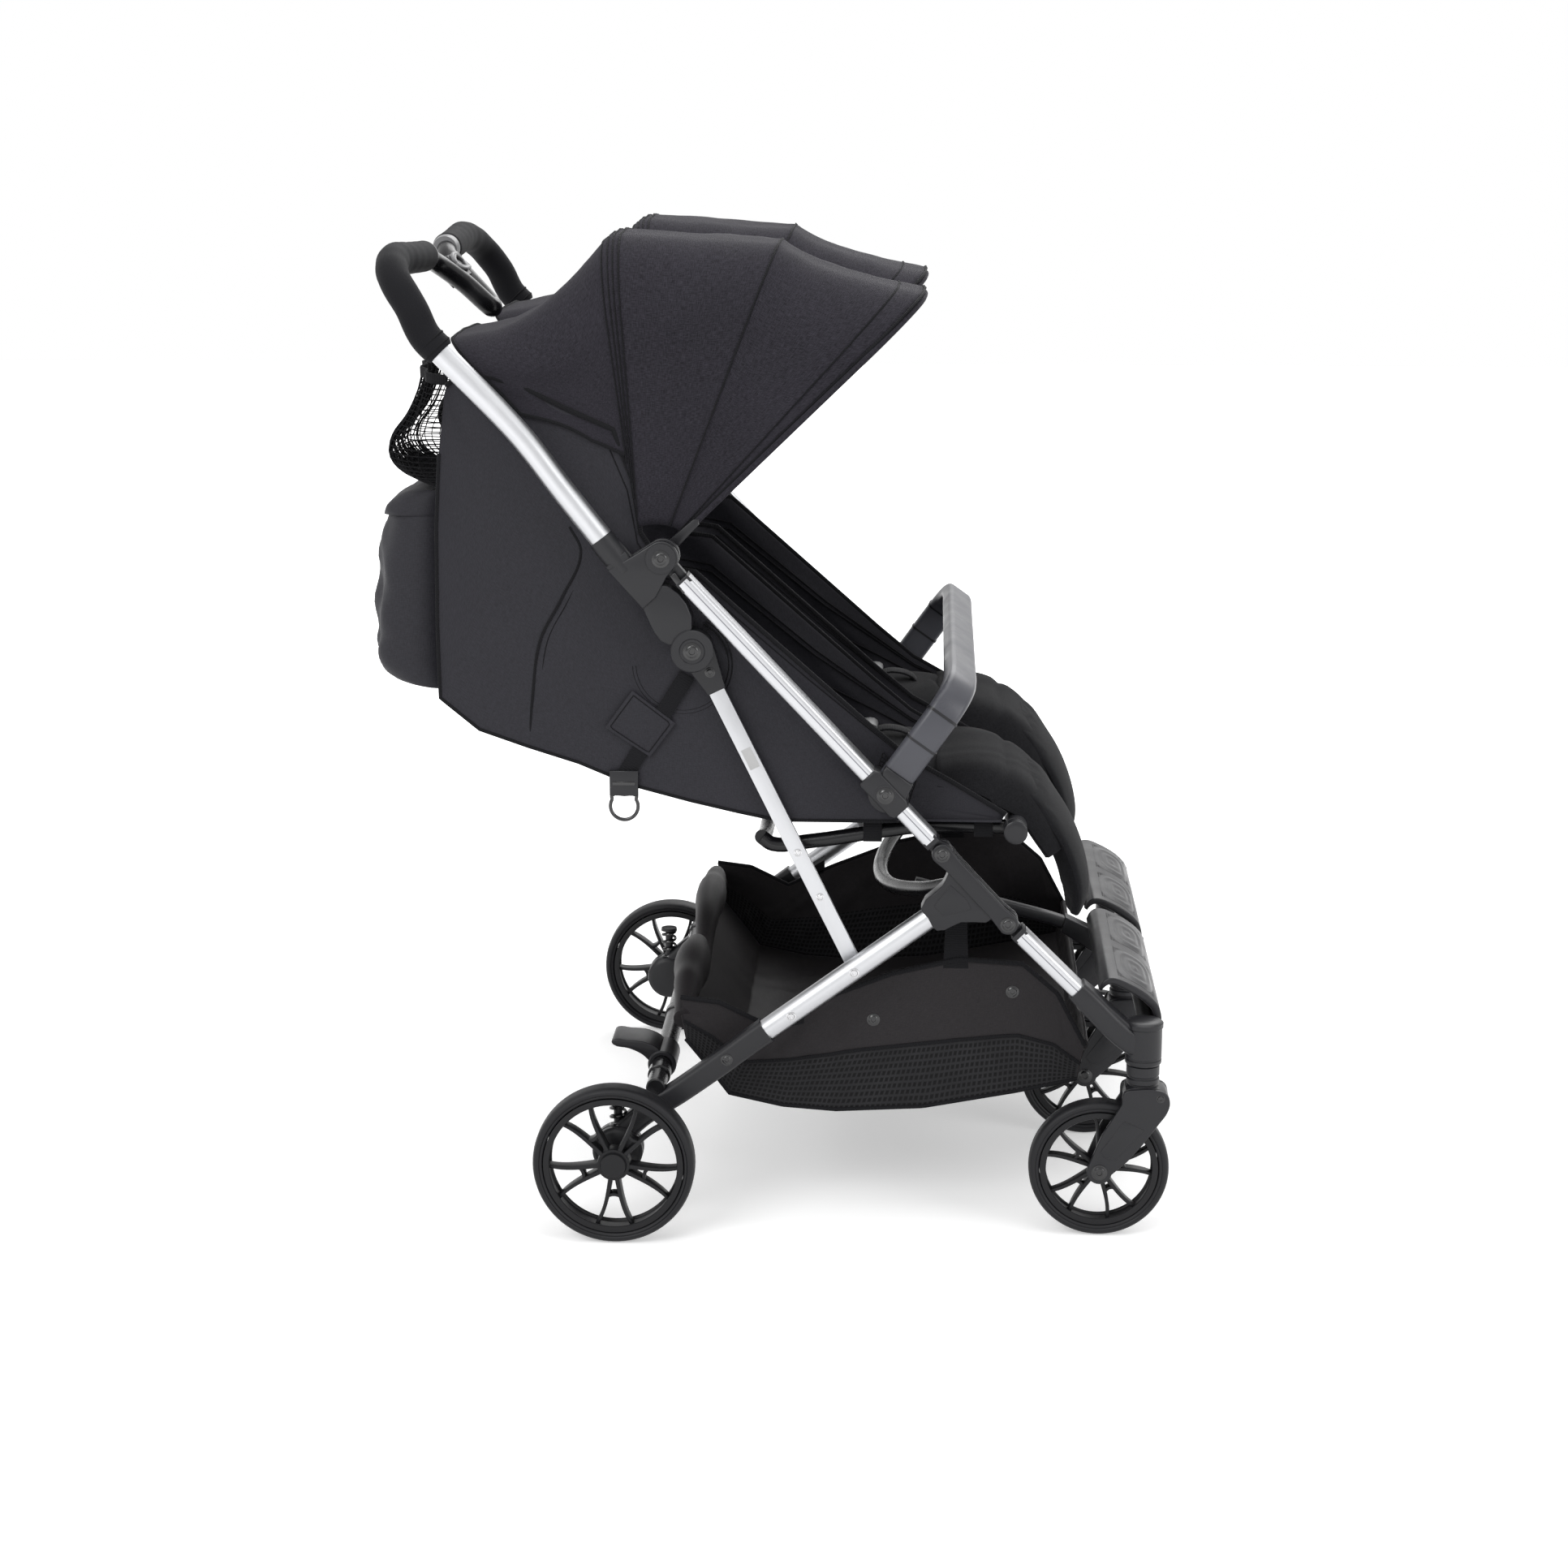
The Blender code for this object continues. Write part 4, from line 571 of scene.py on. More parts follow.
@dataclass(frozen=True)
class SatinAluminium(Finish):
    """Anodised tube: a fine lengthwise brush with faint handling marks."""

    def detail(self, nodes: Nodes, shader: bpy.types.Node) -> None:
        """Brush lines run along the UV map's length; colour and roughness drift a little."""
        brush = nodes.noise(nodes.scaled(nodes.metres(), (2600, 45, 1)), 1.0, 2.0)
        drift = nodes.noise(nodes.place(), 14.0, 4.0)
        self.dye(nodes, shader, drift, 0.93, 1.05)
        rough = nodes.math(
            "ADD", nodes.span(brush, -0.05, 0.05), nodes.span(drift, self.rough - 0.04, self.rough + 0.06)
        )
        nodes.join(rough, shader.inputs["Roughness"])
        nodes.bump(shader, brush, 0.1, 0.0002)


@dataclass(frozen=True)
class MouldedPlastic(Finish):
    """Fine-grained moulded plastic, with rubbed places that shine a little more."""

    grain: float = 1500.0

    def detail(self, nodes: Nodes, shader: bpy.types.Node) -> None:
        """A pitted grain from fine noise, and slow drift in colour and gloss."""
        grain = nodes.noise(nodes.place(), self.grain, 2.0)
        drift = nodes.noise(nodes.place(), 22.0, 5.0)
        self.dye(nodes, shader, drift, 0.86, 1.16)
        nodes.join(nodes.span(drift, self.rough - 0.07, self.rough + 0.07), shader.inputs["Roughness"])
        nodes.bump(shader, grain, 0.25, 0.0002)


@dataclass(frozen=True)
class TyreRubber(Finish):
    """Matt moulded rubber with a dusty bloom low in its grain."""

    def detail(self, nodes: Nodes, shader: bpy.types.Node) -> None:
        """Two noises: a coarse bloom for colour and a fine one for the surface."""
        bloom = nodes.noise(nodes.place(), 38.0, 6.0, 0.65)
        grain = nodes.noise(nodes.place(), 900.0, 3.0)
        self.dye(nodes, shader, bloom, 0.8, 1.3)
        nodes.join(nodes.span(bloom, self.rough - 0.08, self.rough + 0.08), shader.inputs["Roughness"])
        nodes.bump(shader, grain, 0.3, 0.0003)


@dataclass(frozen=True)
class GripFoam(Finish):
    """Closed-cell foam: small cells that show as a soft pitted skin."""

    def detail(self, nodes: Nodes, shader: bpy.types.Node) -> None:
        """Cells from a Voronoi pattern over a slow drift of colour."""
        cells = nodes.add("ShaderNodeTexVoronoi")
        nodes.join(nodes.place(), cells.inputs["Vector"])
        cells.inputs["Scale"].default_value = 1100.0
        drift = nodes.noise(nodes.place(), 30.0, 5.0)
        self.dye(nodes, shader, drift, 0.85, 1.2)
        nodes.bump(shader, cells.outputs["Distance"], 0.35, 0.0004)


@dataclass(frozen=True)
class WovenCloth(Finish):
    """Plain-weave cloth of mixed grey threads, which gives it a heathered look."""

    threads: float = 1600.0
    mix: float = 0.32
    relief: float = 0.35

    def detail(self, nodes: Nodes, shader: bpy.types.Node) -> None:
        """Threads are bands of the UV map both ways; each run of thread is a little lighter or darker than the next."""
        metres = nodes.metres()
        warp = nodes.noise(nodes.scaled(metres, (self.threads, self.threads / 9, 1)), 1.0, 2.0)
        weft = nodes.noise(nodes.scaled(metres, (self.threads / 9, self.threads, 1)), 1.0, 2.0)
        heather = nodes.math("MULTIPLY", nodes.math("ADD", warp, weft), 0.5)
        drift = nodes.noise(nodes.place(), 9.0, 3.0)
        spread = nodes.math("ADD", nodes.span(heather, 0.0, 1.0, 0.38, 0.62), nodes.span(drift, -0.12, 0.12))
        self.dye(nodes, shader, spread, 1 - self.mix, 1 + self.mix)
        weave = nodes.weave(metres, self.threads / WAVE_TURN)
        nodes.bump(shader, nodes.math("ADD", weave, nodes.math("MULTIPLY", heather, 0.8)), self.relief, 0.0003)


@dataclass(frozen=True)
class Webbing(Finish):
    """Ribbed strap webbing: close cords across its width."""

    def detail(self, nodes: Nodes, shader: bpy.types.Node) -> None:
        """Bands along the strap, crossed by finer ones."""
        metres = nodes.metres()
        cords = nodes.wave(metres, "Y", 130.0)
        drift = nodes.noise(metres, 700.0, 3.0)
        self.dye(nodes, shader, drift, 0.75, 1.3)
        nodes.bump(shader, cords, 0.5, 0.0005)


@dataclass(frozen=True)
class NetCloth(Finish):
    """Close polyester mesh: rows of dark holes between lighter threads."""

    cell: float = 0.0026

    def detail(self, nodes: Nodes, shader: bpy.types.Node) -> None:
        """Holes where the two bands of the UV map are both low."""
        metres = nodes.metres()
        weave = nodes.weave(metres, 0.5 / (self.cell * 3.1416), 0.4)
        drift = nodes.noise(metres, 25.0, 3.0)
        open_share = nodes.math("MULTIPLY", nodes.span(weave, 0.0, 1.0, 0.45, 0.9), nodes.span(drift, 0.6, 1.0))
        self.dye(nodes, shader, open_share, 0.35, 1.5)
        nodes.bump(shader, weave, 0.6, 0.0006)


ALUMINIUM = SatinAluminium("satin_aluminium_tube", (0.52, 0.525, 0.54), 0.36, metal=1.0, gloss=0.5)
# Darker metal for the legs' groove lines: painted shade standing in for a groove that the tubes do not cut.
GROOVE_SHADE_ALUMINIUM = SatinAluminium("aluminium_groove_painted_shade", (0.22, 0.22, 0.24), 0.42, metal=1.0, gloss=0.5)
BLACK_PLASTIC = MouldedPlastic("dark_moulded_plastic", (0.012, 0.012, 0.014), 0.38)
WHEEL_PLASTIC = MouldedPlastic("wheel_plastic", (0.008, 0.008, 0.0092), 0.42, gloss=0.25)
GREY_PLASTIC = MouldedPlastic("grey_bumper_plastic", (0.06, 0.061, 0.071), 0.34, grain=2200.0)
LIGHT_GREY = MouldedPlastic("light_grey_plastic", (0.15, 0.15, 0.155), 0.34, grain=2200.0)
TAG_WHITE = MouldedPlastic("bare_tag", (0.42, 0.42, 0.42), 0.5, grain=2200.0)
BLACK_TUBE = MouldedPlastic("black_painted_tube", (0.006, 0.006, 0.007), 0.26, grain=2600.0)
BOLT_BLACK = MouldedPlastic("black_bolt", (0.005, 0.005, 0.006), 0.14, grain=3000.0, gloss=0.6)
RIVET_STEEL = SatinAluminium("rivet_steel", (0.52, 0.52, 0.53), 0.2, metal=1.0, gloss=0.5)
TYRE = TyreRubber("tyre_rubber_tread", (0.01, 0.01, 0.0115), 0.52, gloss=0.25)
FOAM = GripFoam("grip_foam", (0.007, 0.007, 0.0085), 0.78, sheen=0.03, gloss=0.12)
CANOPY_CLOTH = WovenCloth("canopy_cloth", (0.0215, 0.02, 0.0255), 0.82, sheen=0.03, gloss=0.1, threads=1500.0, mix=0.46)
SHELL_CLOTH = WovenCloth("shell_cloth", (0.017, 0.0165, 0.021), 0.58, sheen=0.03, gloss=0.2, threads=1700.0, mix=0.26)
SEAT_CLOTH = WovenCloth("seat_cloth", (0.008, 0.008, 0.0092), 0.84, sheen=0.03, gloss=0.08, threads=1500.0, mix=0.4)
BASKET_CLOTH = WovenCloth(
    "basket_cloth", (0.015, 0.0132, 0.0146), 0.55, sheen=0.03, gloss=0.18, threads=1700.0, mix=0.2
)
BINDING = Webbing("binding_tape", (0.007, 0.007, 0.0082), 0.78, sheen=0.03, gloss=0.12)
WEBBING = Webbing("strap_webbing", (0.008, 0.008, 0.0092), 0.8, sheen=0.03, gloss=0.12)
BASKET_NET = NetCloth("basket_net", (0.015, 0.0148, 0.016), 0.66, gloss=0.12)
CORD_BLACK = Webbing("net_cord", (0.007, 0.007, 0.008), 0.8, gloss=0.12)


# Wheels and casters
@dataclass
class Wheel:
    """A wheel: tyre with a rounded tread, deep rim, hub and five split spokes tied by a small web.

    Attributes:
        name: the wheel's name, which its two nodes' names begin with.
        axle: the axle in the side view.
        y: the wheel's plane.
        radius: to the tread.
        width: of the tyre.
        first: the first spoke's angle, in degrees from +X.
        hub_share: the hub's radius as a share of the wheel's.
        depth: of the tyre, from the tread to the rim.
    """

    name: str
    axle: Spot
    y: float
    radius: float
    width: float
    first: float
    hub_share: float
    depth: float = 0.011

    def build(self, body: str) -> None:
        """Builds the tyre and the rim in place of their CAD nodes."""
        fit(self.tyre(), body, f"{self.name}_tyre")
        fit(self.rim(), body, f"{self.name}_rim")

    def centre(self) -> np.ndarray:
        """The middle of the wheel."""
        return place(self.axle[0], self.axle[1], self.y)

    def tyre(self) -> bpy.types.Object:
        """A ring whose section is flat on the tread, round at the shoulders and stepped beside the rim."""
        half = self.width / 2
        inner = self.radius - self.depth
        share = [
            (-0.62, 0.0), (-0.8, 0.06), (-0.9, 0.16), (-0.93, 0.3), (-0.89, 0.36), (-0.97, 0.44), (-1.0, 0.6),
            (-0.93, 0.78), (-0.78, 0.91), (-0.56, 0.98), (-0.34, 1.0), (0.34, 1.0), (0.56, 0.98), (0.78, 0.91),
            (0.93, 0.78), (1.0, 0.6), (0.97, 0.44), (0.89, 0.36), (0.93, 0.3), (0.9, 0.16), (0.8, 0.06), (0.62, 0.0),
        ]
        shell = Shell()
        shell.turned([(a * half, inner + b * self.depth) for a, b in share], self.centre(), count=96, loop=True)
        return shell.build(f"{self.name}_tyre_ring", [TYRE], angle=50)

    def rim(self) -> bpy.types.Object:
        """The rim's bed and lips, the hub with its cap, and the spokes."""
        shell = Shell()
        half = self.width / 2
        outer = self.radius - self.depth - 0.0003
        lip = 0.0058
        bed = [
            (-0.86, 0.0), (-0.9, -0.0018), (-0.88, -lip), (-0.8, -lip - 0.0006), (-0.66, -lip), (-0.6, -0.0042),
            (0.6, -0.0042), (0.66, -lip), (0.8, -lip - 0.0006), (0.88, -lip), (0.9, -0.0018), (0.86, 0.0),
        ]
        shell.turned([(a * half, outer + b) for a, b in bed], self.centre(), count=96, loop=True)
        hub = self.radius * self.hub_share
        face = half * 0.62
        profile = [
            (-face - 0.0035, hub * 0.7), (-face - 0.0035, hub * 0.74), (-face - 0.002, hub * 0.78), (-face, hub * 0.8),
            (-face, hub * 0.96), (-face + 0.0015, hub), (face - 0.0015, hub), (face, hub * 0.96), (face, hub * 0.8),
            (face + 0.002, hub * 0.78), (face + 0.0035, hub * 0.74), (face + 0.0035, hub * 0.7),
        ]
        shell.turned(profile, self.centre(), count=48)
        for number in range(5):
            self.spoke(shell, self.first + 72 * number, hub, outer - 0.0042)
        return shell.build(f"{self.name}_rim_spokes", [WHEEL_PLASTIC])

    def spoke(self, shell: Shell, middle: float, hub: float, reach: float) -> None:
        """One split spoke: two bars that leave the hub side by side, bow apart to the rim, and the web between them.

        A bar's angle off the middle is 9.5 (1 - s)^1.5 + 3 + 12.5 s^1.3 degrees, s being the share of the way out.
        """
        share = np.linspace(0, 1, 12)
        radius = hub * 0.9 + (reach - hub * 0.9) * share
        for hand in (-1, 1):
            turn = np.radians(middle + hand * (9.5 * (1 - share) ** 1.5 + 3.0 + 12.5 * share**1.3))
            path = self.centre() + np.stack([radius * np.cos(turn), 0 * radius, radius * np.sin(turn)], -1)
            shell.sweep(path, rounded(self.width * 0.52, 0.004, 0.0009, 3), (0, 1, 0), 1.15 - 0.3 * share)
        spread = np.linspace(-1, 1, 9)
        at = hub + (reach - hub) * 0.36
        turn = np.radians(middle + spread * 10.5)
        dip = at - 0.0022 * (1 - spread**2)
        path = self.centre() + np.stack([dip * np.cos(turn), 0 * turn, dip * np.sin(turn)], -1)
        shell.sweep(path, rounded(self.width * 0.48, 0.0034, 0.0008, 3), (0, 1, 0))


@dataclass
class Caster:
    """A front caster: ribbed neck, a head with its bolt, two tapering fork legs and the axle's bolt heads."""

    where: Place
    axle: Spot = FRONT_AXLE
    post_x: float = POST_X
    gap: float = 0.0142
    leg: float = 0.006

    def build(self) -> None:
        """Builds the fork in place of its CAD node."""
        word, y = self.where.value, self.where.y
        shell = Shell()
        top = 0.1826
        neck = [
            (0.15, 0.0126), (0.1535, 0.016), (0.156, 0.0165), (0.16, 0.0165), (0.1612, 0.0152), (0.1626, 0.0152),
            (0.1638, 0.0168), (0.168, 0.0168), (0.1692, 0.0154), (0.1706, 0.0154), (0.1718, 0.0168),
            (top - 0.001, 0.0168), (top, 0.0155),
        ]
        shell.turned(neck, place(self.post_x, 0, y), "Z", 40)
        head = [
            (0.2628, 0.15), (0.265, 0.159), (0.272, 0.1606), (0.296, 0.1606), (0.305, 0.157), (0.3085, 0.151),
            (0.308, 0.146), (0.29, 0.144)
        ]
        shell.plate(head, y - self.gap - 0.001, y + self.gap + 0.001, 0.0012)
        for hand in (-1, 1):
            face = y + hand * (self.gap + self.leg)
            outline = curve(np.array([
                (0.261, 0.144), (0.263, 0.157), (0.276, 0.16), (0.296, 0.16), (0.306, 0.156), (0.3095, 0.147),
                (0.307, 0.136), (0.299, 0.124), (0.285, 0.104), (0.268, 0.083)
            ]), 4)
            foot = arc(self.axle, 0.0128, -12, -206, 16)
            shell.plate(np.vstack([outline, foot, [(0.242, 0.112)]]), y + hand * self.gap, face, 0.0016)
            inset = np.array([(0.264, 0.127), (0.284, 0.118), (0.256, 0.085), (0.244, 0.088), (0.2405, 0.094)])
            shell.plate(inset, face - hand * 0.0006, face + hand * 0.0005, 0.0005)
            bolt(shell, self.axle, face, hand, 0.0082, 1)
            bolt(shell, (0.2999, 0.1514), face - hand * 0.0008, hand, 0.0046, 1)
        piece = shell.build(f"caster_fork_{word}_moulding", [BLACK_PLASTIC, BOLT_BLACK])
        fit(piece, f"caster_{word}", f"caster_fork_{word}")


def bolt(shell: Shell, at: Spot, face: float, hand: int, radius: float, slot: int, depth: float = 0.0018) -> None:
    """A round bolt head on a face: a washer step, a domed rim and a socket, turned about Y.

    Args:
        shell: the piece that it belongs to.
        at: side-view middle.
        face: y of the surface under it.
        hand: which way it points, -1 or 1.
        radius: of the washer.
        slot: its finish.
        depth: how far it stands out.
    """
    rows = [
        (-0.0006, radius), (depth * 0.35, radius), (depth * 0.45, radius * 0.9), (depth * 0.55, radius * 0.72),
        (depth, radius * 0.62), (depth * 1.15, radius * 0.46), (depth * 1.1, radius * 0.34),
        (depth * 0.6, radius * 0.3), (depth * 0.6, radius * 0.02),
    ]
    shell.turned([(a * hand, r) for a, r in rows], place(at[0], at[1], face), count=24, slot=slot)


# The folding frame
@dataclass
class RearFrame:
    """Rear legs, joint bars, axle legs, struts, cross tube, stretcher and brake pedal."""

    leg_top: Spot = (0.07, 0.337)
    leg_low: Spot = (-0.103, 0.2095)
    rear_axle: Spot = (-0.2525, 0.0825)
    cross: Spot = (-0.213, 0.15)

    def build(self) -> None:
        """Builds both sides and what joins them."""
        for side in Side:
            self.leg(side)
            self.bar(side)
            self.axle_leg(side)
            self.strut(side)
            name, y = f"rear_wheel_{side.value}", side.sign * REAR_TRACK
            Wheel(name, self.rear_axle, y, radius=0.0825, width=0.028, first=-90.0, hub_share=0.205).build(name)
        self.cross_tubes()
        self.pedal()

    def leg(self, side: Side) -> None:
        """Silver oval tube, slightly flattened, with its rivets."""
        y = side.y
        shell = Shell()
        along = way(self.leg_low, self.leg_top)
        path = spots([self.leg_low, step(self.leg_low, along, 0.1), self.leg_top], y)
        shell.sweep(even(path, 12), oval(0.02, 0.0225, 32))
        bolt(shell, PIVOT_D, y + side.sign * 0.0098, side.sign, 0.0052, 1, 0.0016)
        bolt(shell, step(PIVOT_D, along, -0.079), y + side.sign * 0.0098, side.sign, 0.005, 1, 0.0016)
        pin = [
            (-side.sign * 0.0198, 0.0065), (-side.sign * 0.019, 0.0065), (-side.sign * 0.019, 0.004),
            (side.sign * 0.008, 0.004)
        ]
        shell.turned(pin, place(PIVOT_D[0], PIVOT_D[1], y), count=20, slot=1)
        fit(
            shell.build(f"rear_leg_{side.value}_tube", [ALUMINIUM, RIVET_STEEL]), "rear_frame",
            f"rear_leg_{side.value}"
        )

    def bar(self, side: Side) -> None:
        """The plastic joint bar between pivots C and E with the gusset that grips the rear leg."""
        y, hand = side.y, side.sign
        shell = Shell()
        along = way(PIVOT_C, PIVOT_E)
        half = 0.0086
        flank = [step(PIVOT_C, along, 0.0155, -half), step(PIVOT_E, along, -0.0155, -half)]
        back = [step(PIVOT_E, along, -0.0155, half), step(PIVOT_C, along, 0.0155, half)]
        outline = arc(PIVOT_C, 0.0105, 55, 230, 14) + flank + arc(PIVOT_E, 0.0105, -128, 52, 14) + back
        for low, high in ((-0.013, -0.0058), (0.0058, 0.013)):
            shell.plate(outline, y + low, y + high, 0.0014)
        core = [step(PIVOT_C, along, 0.0135, -half + 0.001), step(PIVOT_E, along, -0.0135, -half + 0.001)]
        core += [step(PIVOT_E, along, -0.0135, half - 0.001), step(PIVOT_C, along, 0.0135, half - 0.001)]
        shell.plate(core, y - 0.011, y + 0.011, 0.0008)
        gusset = curve(np.array([
            (0.084, 0.385), (0.077, 0.369), (0.056, 0.345), (0.063, 0.335), (0.072, 0.322), (0.096, 0.331),
            (0.129, 0.3365), (0.112, 0.356)
        ]), 3)
        shell.plate(gusset, y - 0.0112, y + 0.0112, 0.0016)
        inset = [(0.085, 0.37), (0.069, 0.348), (0.078, 0.338), (0.106, 0.3455), (0.101, 0.356)]
        shell.plate(inset, y + hand * 0.0108, y + hand * 0.0118, 0.0004)
        for pivot in (PIVOT_C, PIVOT_E):
            bolt(shell, pivot, y + hand * 0.0128, hand, 0.0078, 1, 0.0022)
            bolt(shell, pivot, y - hand * 0.0128, -hand, 0.0066, 1, 0.0018)
        fit(
            shell.build(f"joint_bar_{side.value}_moulding", [BLACK_PLASTIC, BOLT_BLACK]), "rear_frame",
            f"joint_bar_{side.value}"
        )

    def axle_leg(self, side: Side) -> None:
        """The curved leg down to the axle, its spring and the drum behind the wheel."""
        y, hand = side.y, side.sign
        shell = Shell()
        low = way(self.leg_low, self.leg_top)
        route = [
            step(self.leg_low, low, 0.004), step(self.leg_low, low, -0.012), (-0.15, 0.1735), (-0.19, 0.144),
            (-0.226, 0.12), (-0.248, 0.1)
        ]
        path = curve(spots(route, y), 6)
        share = np.linspace(0, 1, len(path))
        shell.sweep(path, rounded(0.0212, 0.025, 0.006, 5), sizes=1.02 - 0.1 * share + 0.06 * share**6)
        drum = [
            (-0.013, 0.0195), (-0.0118, 0.0225), (-0.01, 0.025), (-0.006, 0.026), (0.002, 0.026), (0.004, 0.024),
            (0.006, 0.026), (0.012, 0.0258), (0.014, 0.0235), (0.0155, 0.02)
        ]
        shell.turned([(a * hand, r) for a, r in drum], place(*self.rear_axle, y), count=48)
        axle = [(0.0, 0.0045), (hand * 0.0512, 0.0045)]
        shell.turned(axle, place(*self.rear_axle, y), count=16, slot=1)
        turns = np.linspace(0, 2 * math.pi * 4.2, 90)
        rise = 0.102 + 0.039 * turns / turns[-1]
        coil = place(self.rear_axle[0] + 0.0076 * np.cos(turns), rise, y + 0.0076 * np.sin(turns))
        shell.sweep(coil, oval(0.0034, 0.0034, 8), UP, slot=1)
        shell.turned([
            (0.098, 0.007), (0.099, 0.0098), (0.1015, 0.0098), (0.102, 0.0045), (0.14, 0.0045), (0.1402, 0.0098),
            (0.1435, 0.0092)
        ], place(self.rear_axle[0], 0, y), "Z", 24)
        bolt(shell, (-0.1397, 0.1825), y + hand * 0.0104, hand, 0.0062, 1)
        fit(
            shell.build(f"axle_leg_{side.value}_moulding", [BLACK_PLASTIC, BOLT_BLACK]), "rear_frame",
            f"axle_leg_{side.value}"
        )

    def strut(self, side: Side) -> None:
        """The flat silver strut with its plastic end behind the handle's disc, its rivets and the bare tag."""
        y, hand = side.y, side.sign
        shell = Shell()
        along = way(PIVOT_D, PIVOT_B)
        length = math.dist(PIVOT_D, PIVOT_B)
        half, end = 0.00825, length - 0.05
        outer, inner = y - hand * 0.0139, y - hand * 0.0199
        outline = arc(PIVOT_D, half, 207, 387, 16) + [step(PIVOT_D, along, end, -half), step(PIVOT_D, along, end, half)]
        shell.plate(outline, outer, inner, 0.0009)
        first, last = stepped(PIVOT_D, along, ((end - 0.001, -half - 0.0012), (end - 0.001, half + 0.0012)))
        cap = [first] + arc(PIVOT_B, 0.0188, 20, 213, 20) + [last]
        shell.plate(cap, y - hand * 0.0137, y - hand * 0.0213, 0.0012, slot=1)
        for share in (0.36, 0.22):
            spot = step(PIVOT_D, along, length * share)
            bolt(shell, spot, outer, hand, 0.0042, 2, 0.0012)
        bolt(shell, (-0.1564, 0.579), y - hand * 0.0137, hand, 0.0052, 3, 0.0014)
        tag = step(PIVOT_D, along, length * 0.655)
        shell.plate(strip(tag, along, -0.011, 0.011, 0.0052), outer, outer + hand * 0.0004, 0.0001, slot=4)
        finishes = [ALUMINIUM, BLACK_PLASTIC, RIVET_STEEL, BOLT_BLACK, TAG_WHITE]
        fit(shell.build(f"rear_strut_{side.value}_bar", finishes), "struts", f"rear_strut_{side.value}")

    def cross_tubes(self) -> None:
        """The black tube between the axle legs and the bowed stretcher over the basket."""
        shell = Shell()
        reach = HALF_FRAME + 0.0085
        shell.turned([
            (-reach, 0.0085), (-reach + 0.0015, 0.01), (reach - 0.0015, 0.01), (reach, 0.0085)
        ], place(*self.cross, 0), count=32)
        for y in (-0.262, 0.262, -0.06, 0.06):
            shell.turned([
                (y - 0.008, 0.0104), (y - 0.007, 0.0118), (y + 0.007, 0.0118), (y + 0.008, 0.0104)
            ], place(*self.cross, 0), count=32)
        fit(shell.build("rear_cross_tube_painted", [BLACK_TUBE]), "rear_frame", "rear_cross_tube")
        bow = Shell()
        half = [
            (0.093, 0.356, -0.2902), (0.093, 0.356, -0.275), (0.093, 0.356, -0.26), (0.06, 0.335, -0.2),
            (0.022, 0.312, -0.1), (0.01, 0.305, 0.0)
        ]
        bow.sweep(curve(mirrored(half), 6), oval(0.016, 0.016, 24), UP)
        fit(bow.build("frame_stretcher_painted", [BLACK_TUBE]), "rear_frame", "frame_stretcher")

    def pedal(self) -> None:
        """The brake pedal: a sleeve on the cross tube and an upturned foot blade with a rib along it."""
        shell = Shell()
        low, high = -0.235, -0.185
        sleeve = [
            (low, 0.0105), (low, 0.0135), (low + 0.0015, 0.015), (high - 0.0015, 0.015), (high, 0.0135),
            (high, 0.0105)
        ]
        shell.turned(sleeve, place(*self.cross, 0), count=40, loop=True)
        blade = curve(np.array([
            (-0.213, 0.156), (-0.215, 0.165), (-0.23, 0.1735), (-0.25, 0.1755), (-0.263, 0.1765), (-0.266, 0.174),
            (-0.264, 0.1702), (-0.248, 0.1665), (-0.234, 0.16), (-0.224, 0.15)
        ]), 4)
        shell.plate(blade, low + 0.002, high - 0.002, 0.0016)
        fit(shell.build("brake_pedal_moulding", [BLACK_PLASTIC]), "brake_pedal", "brake_pedal")


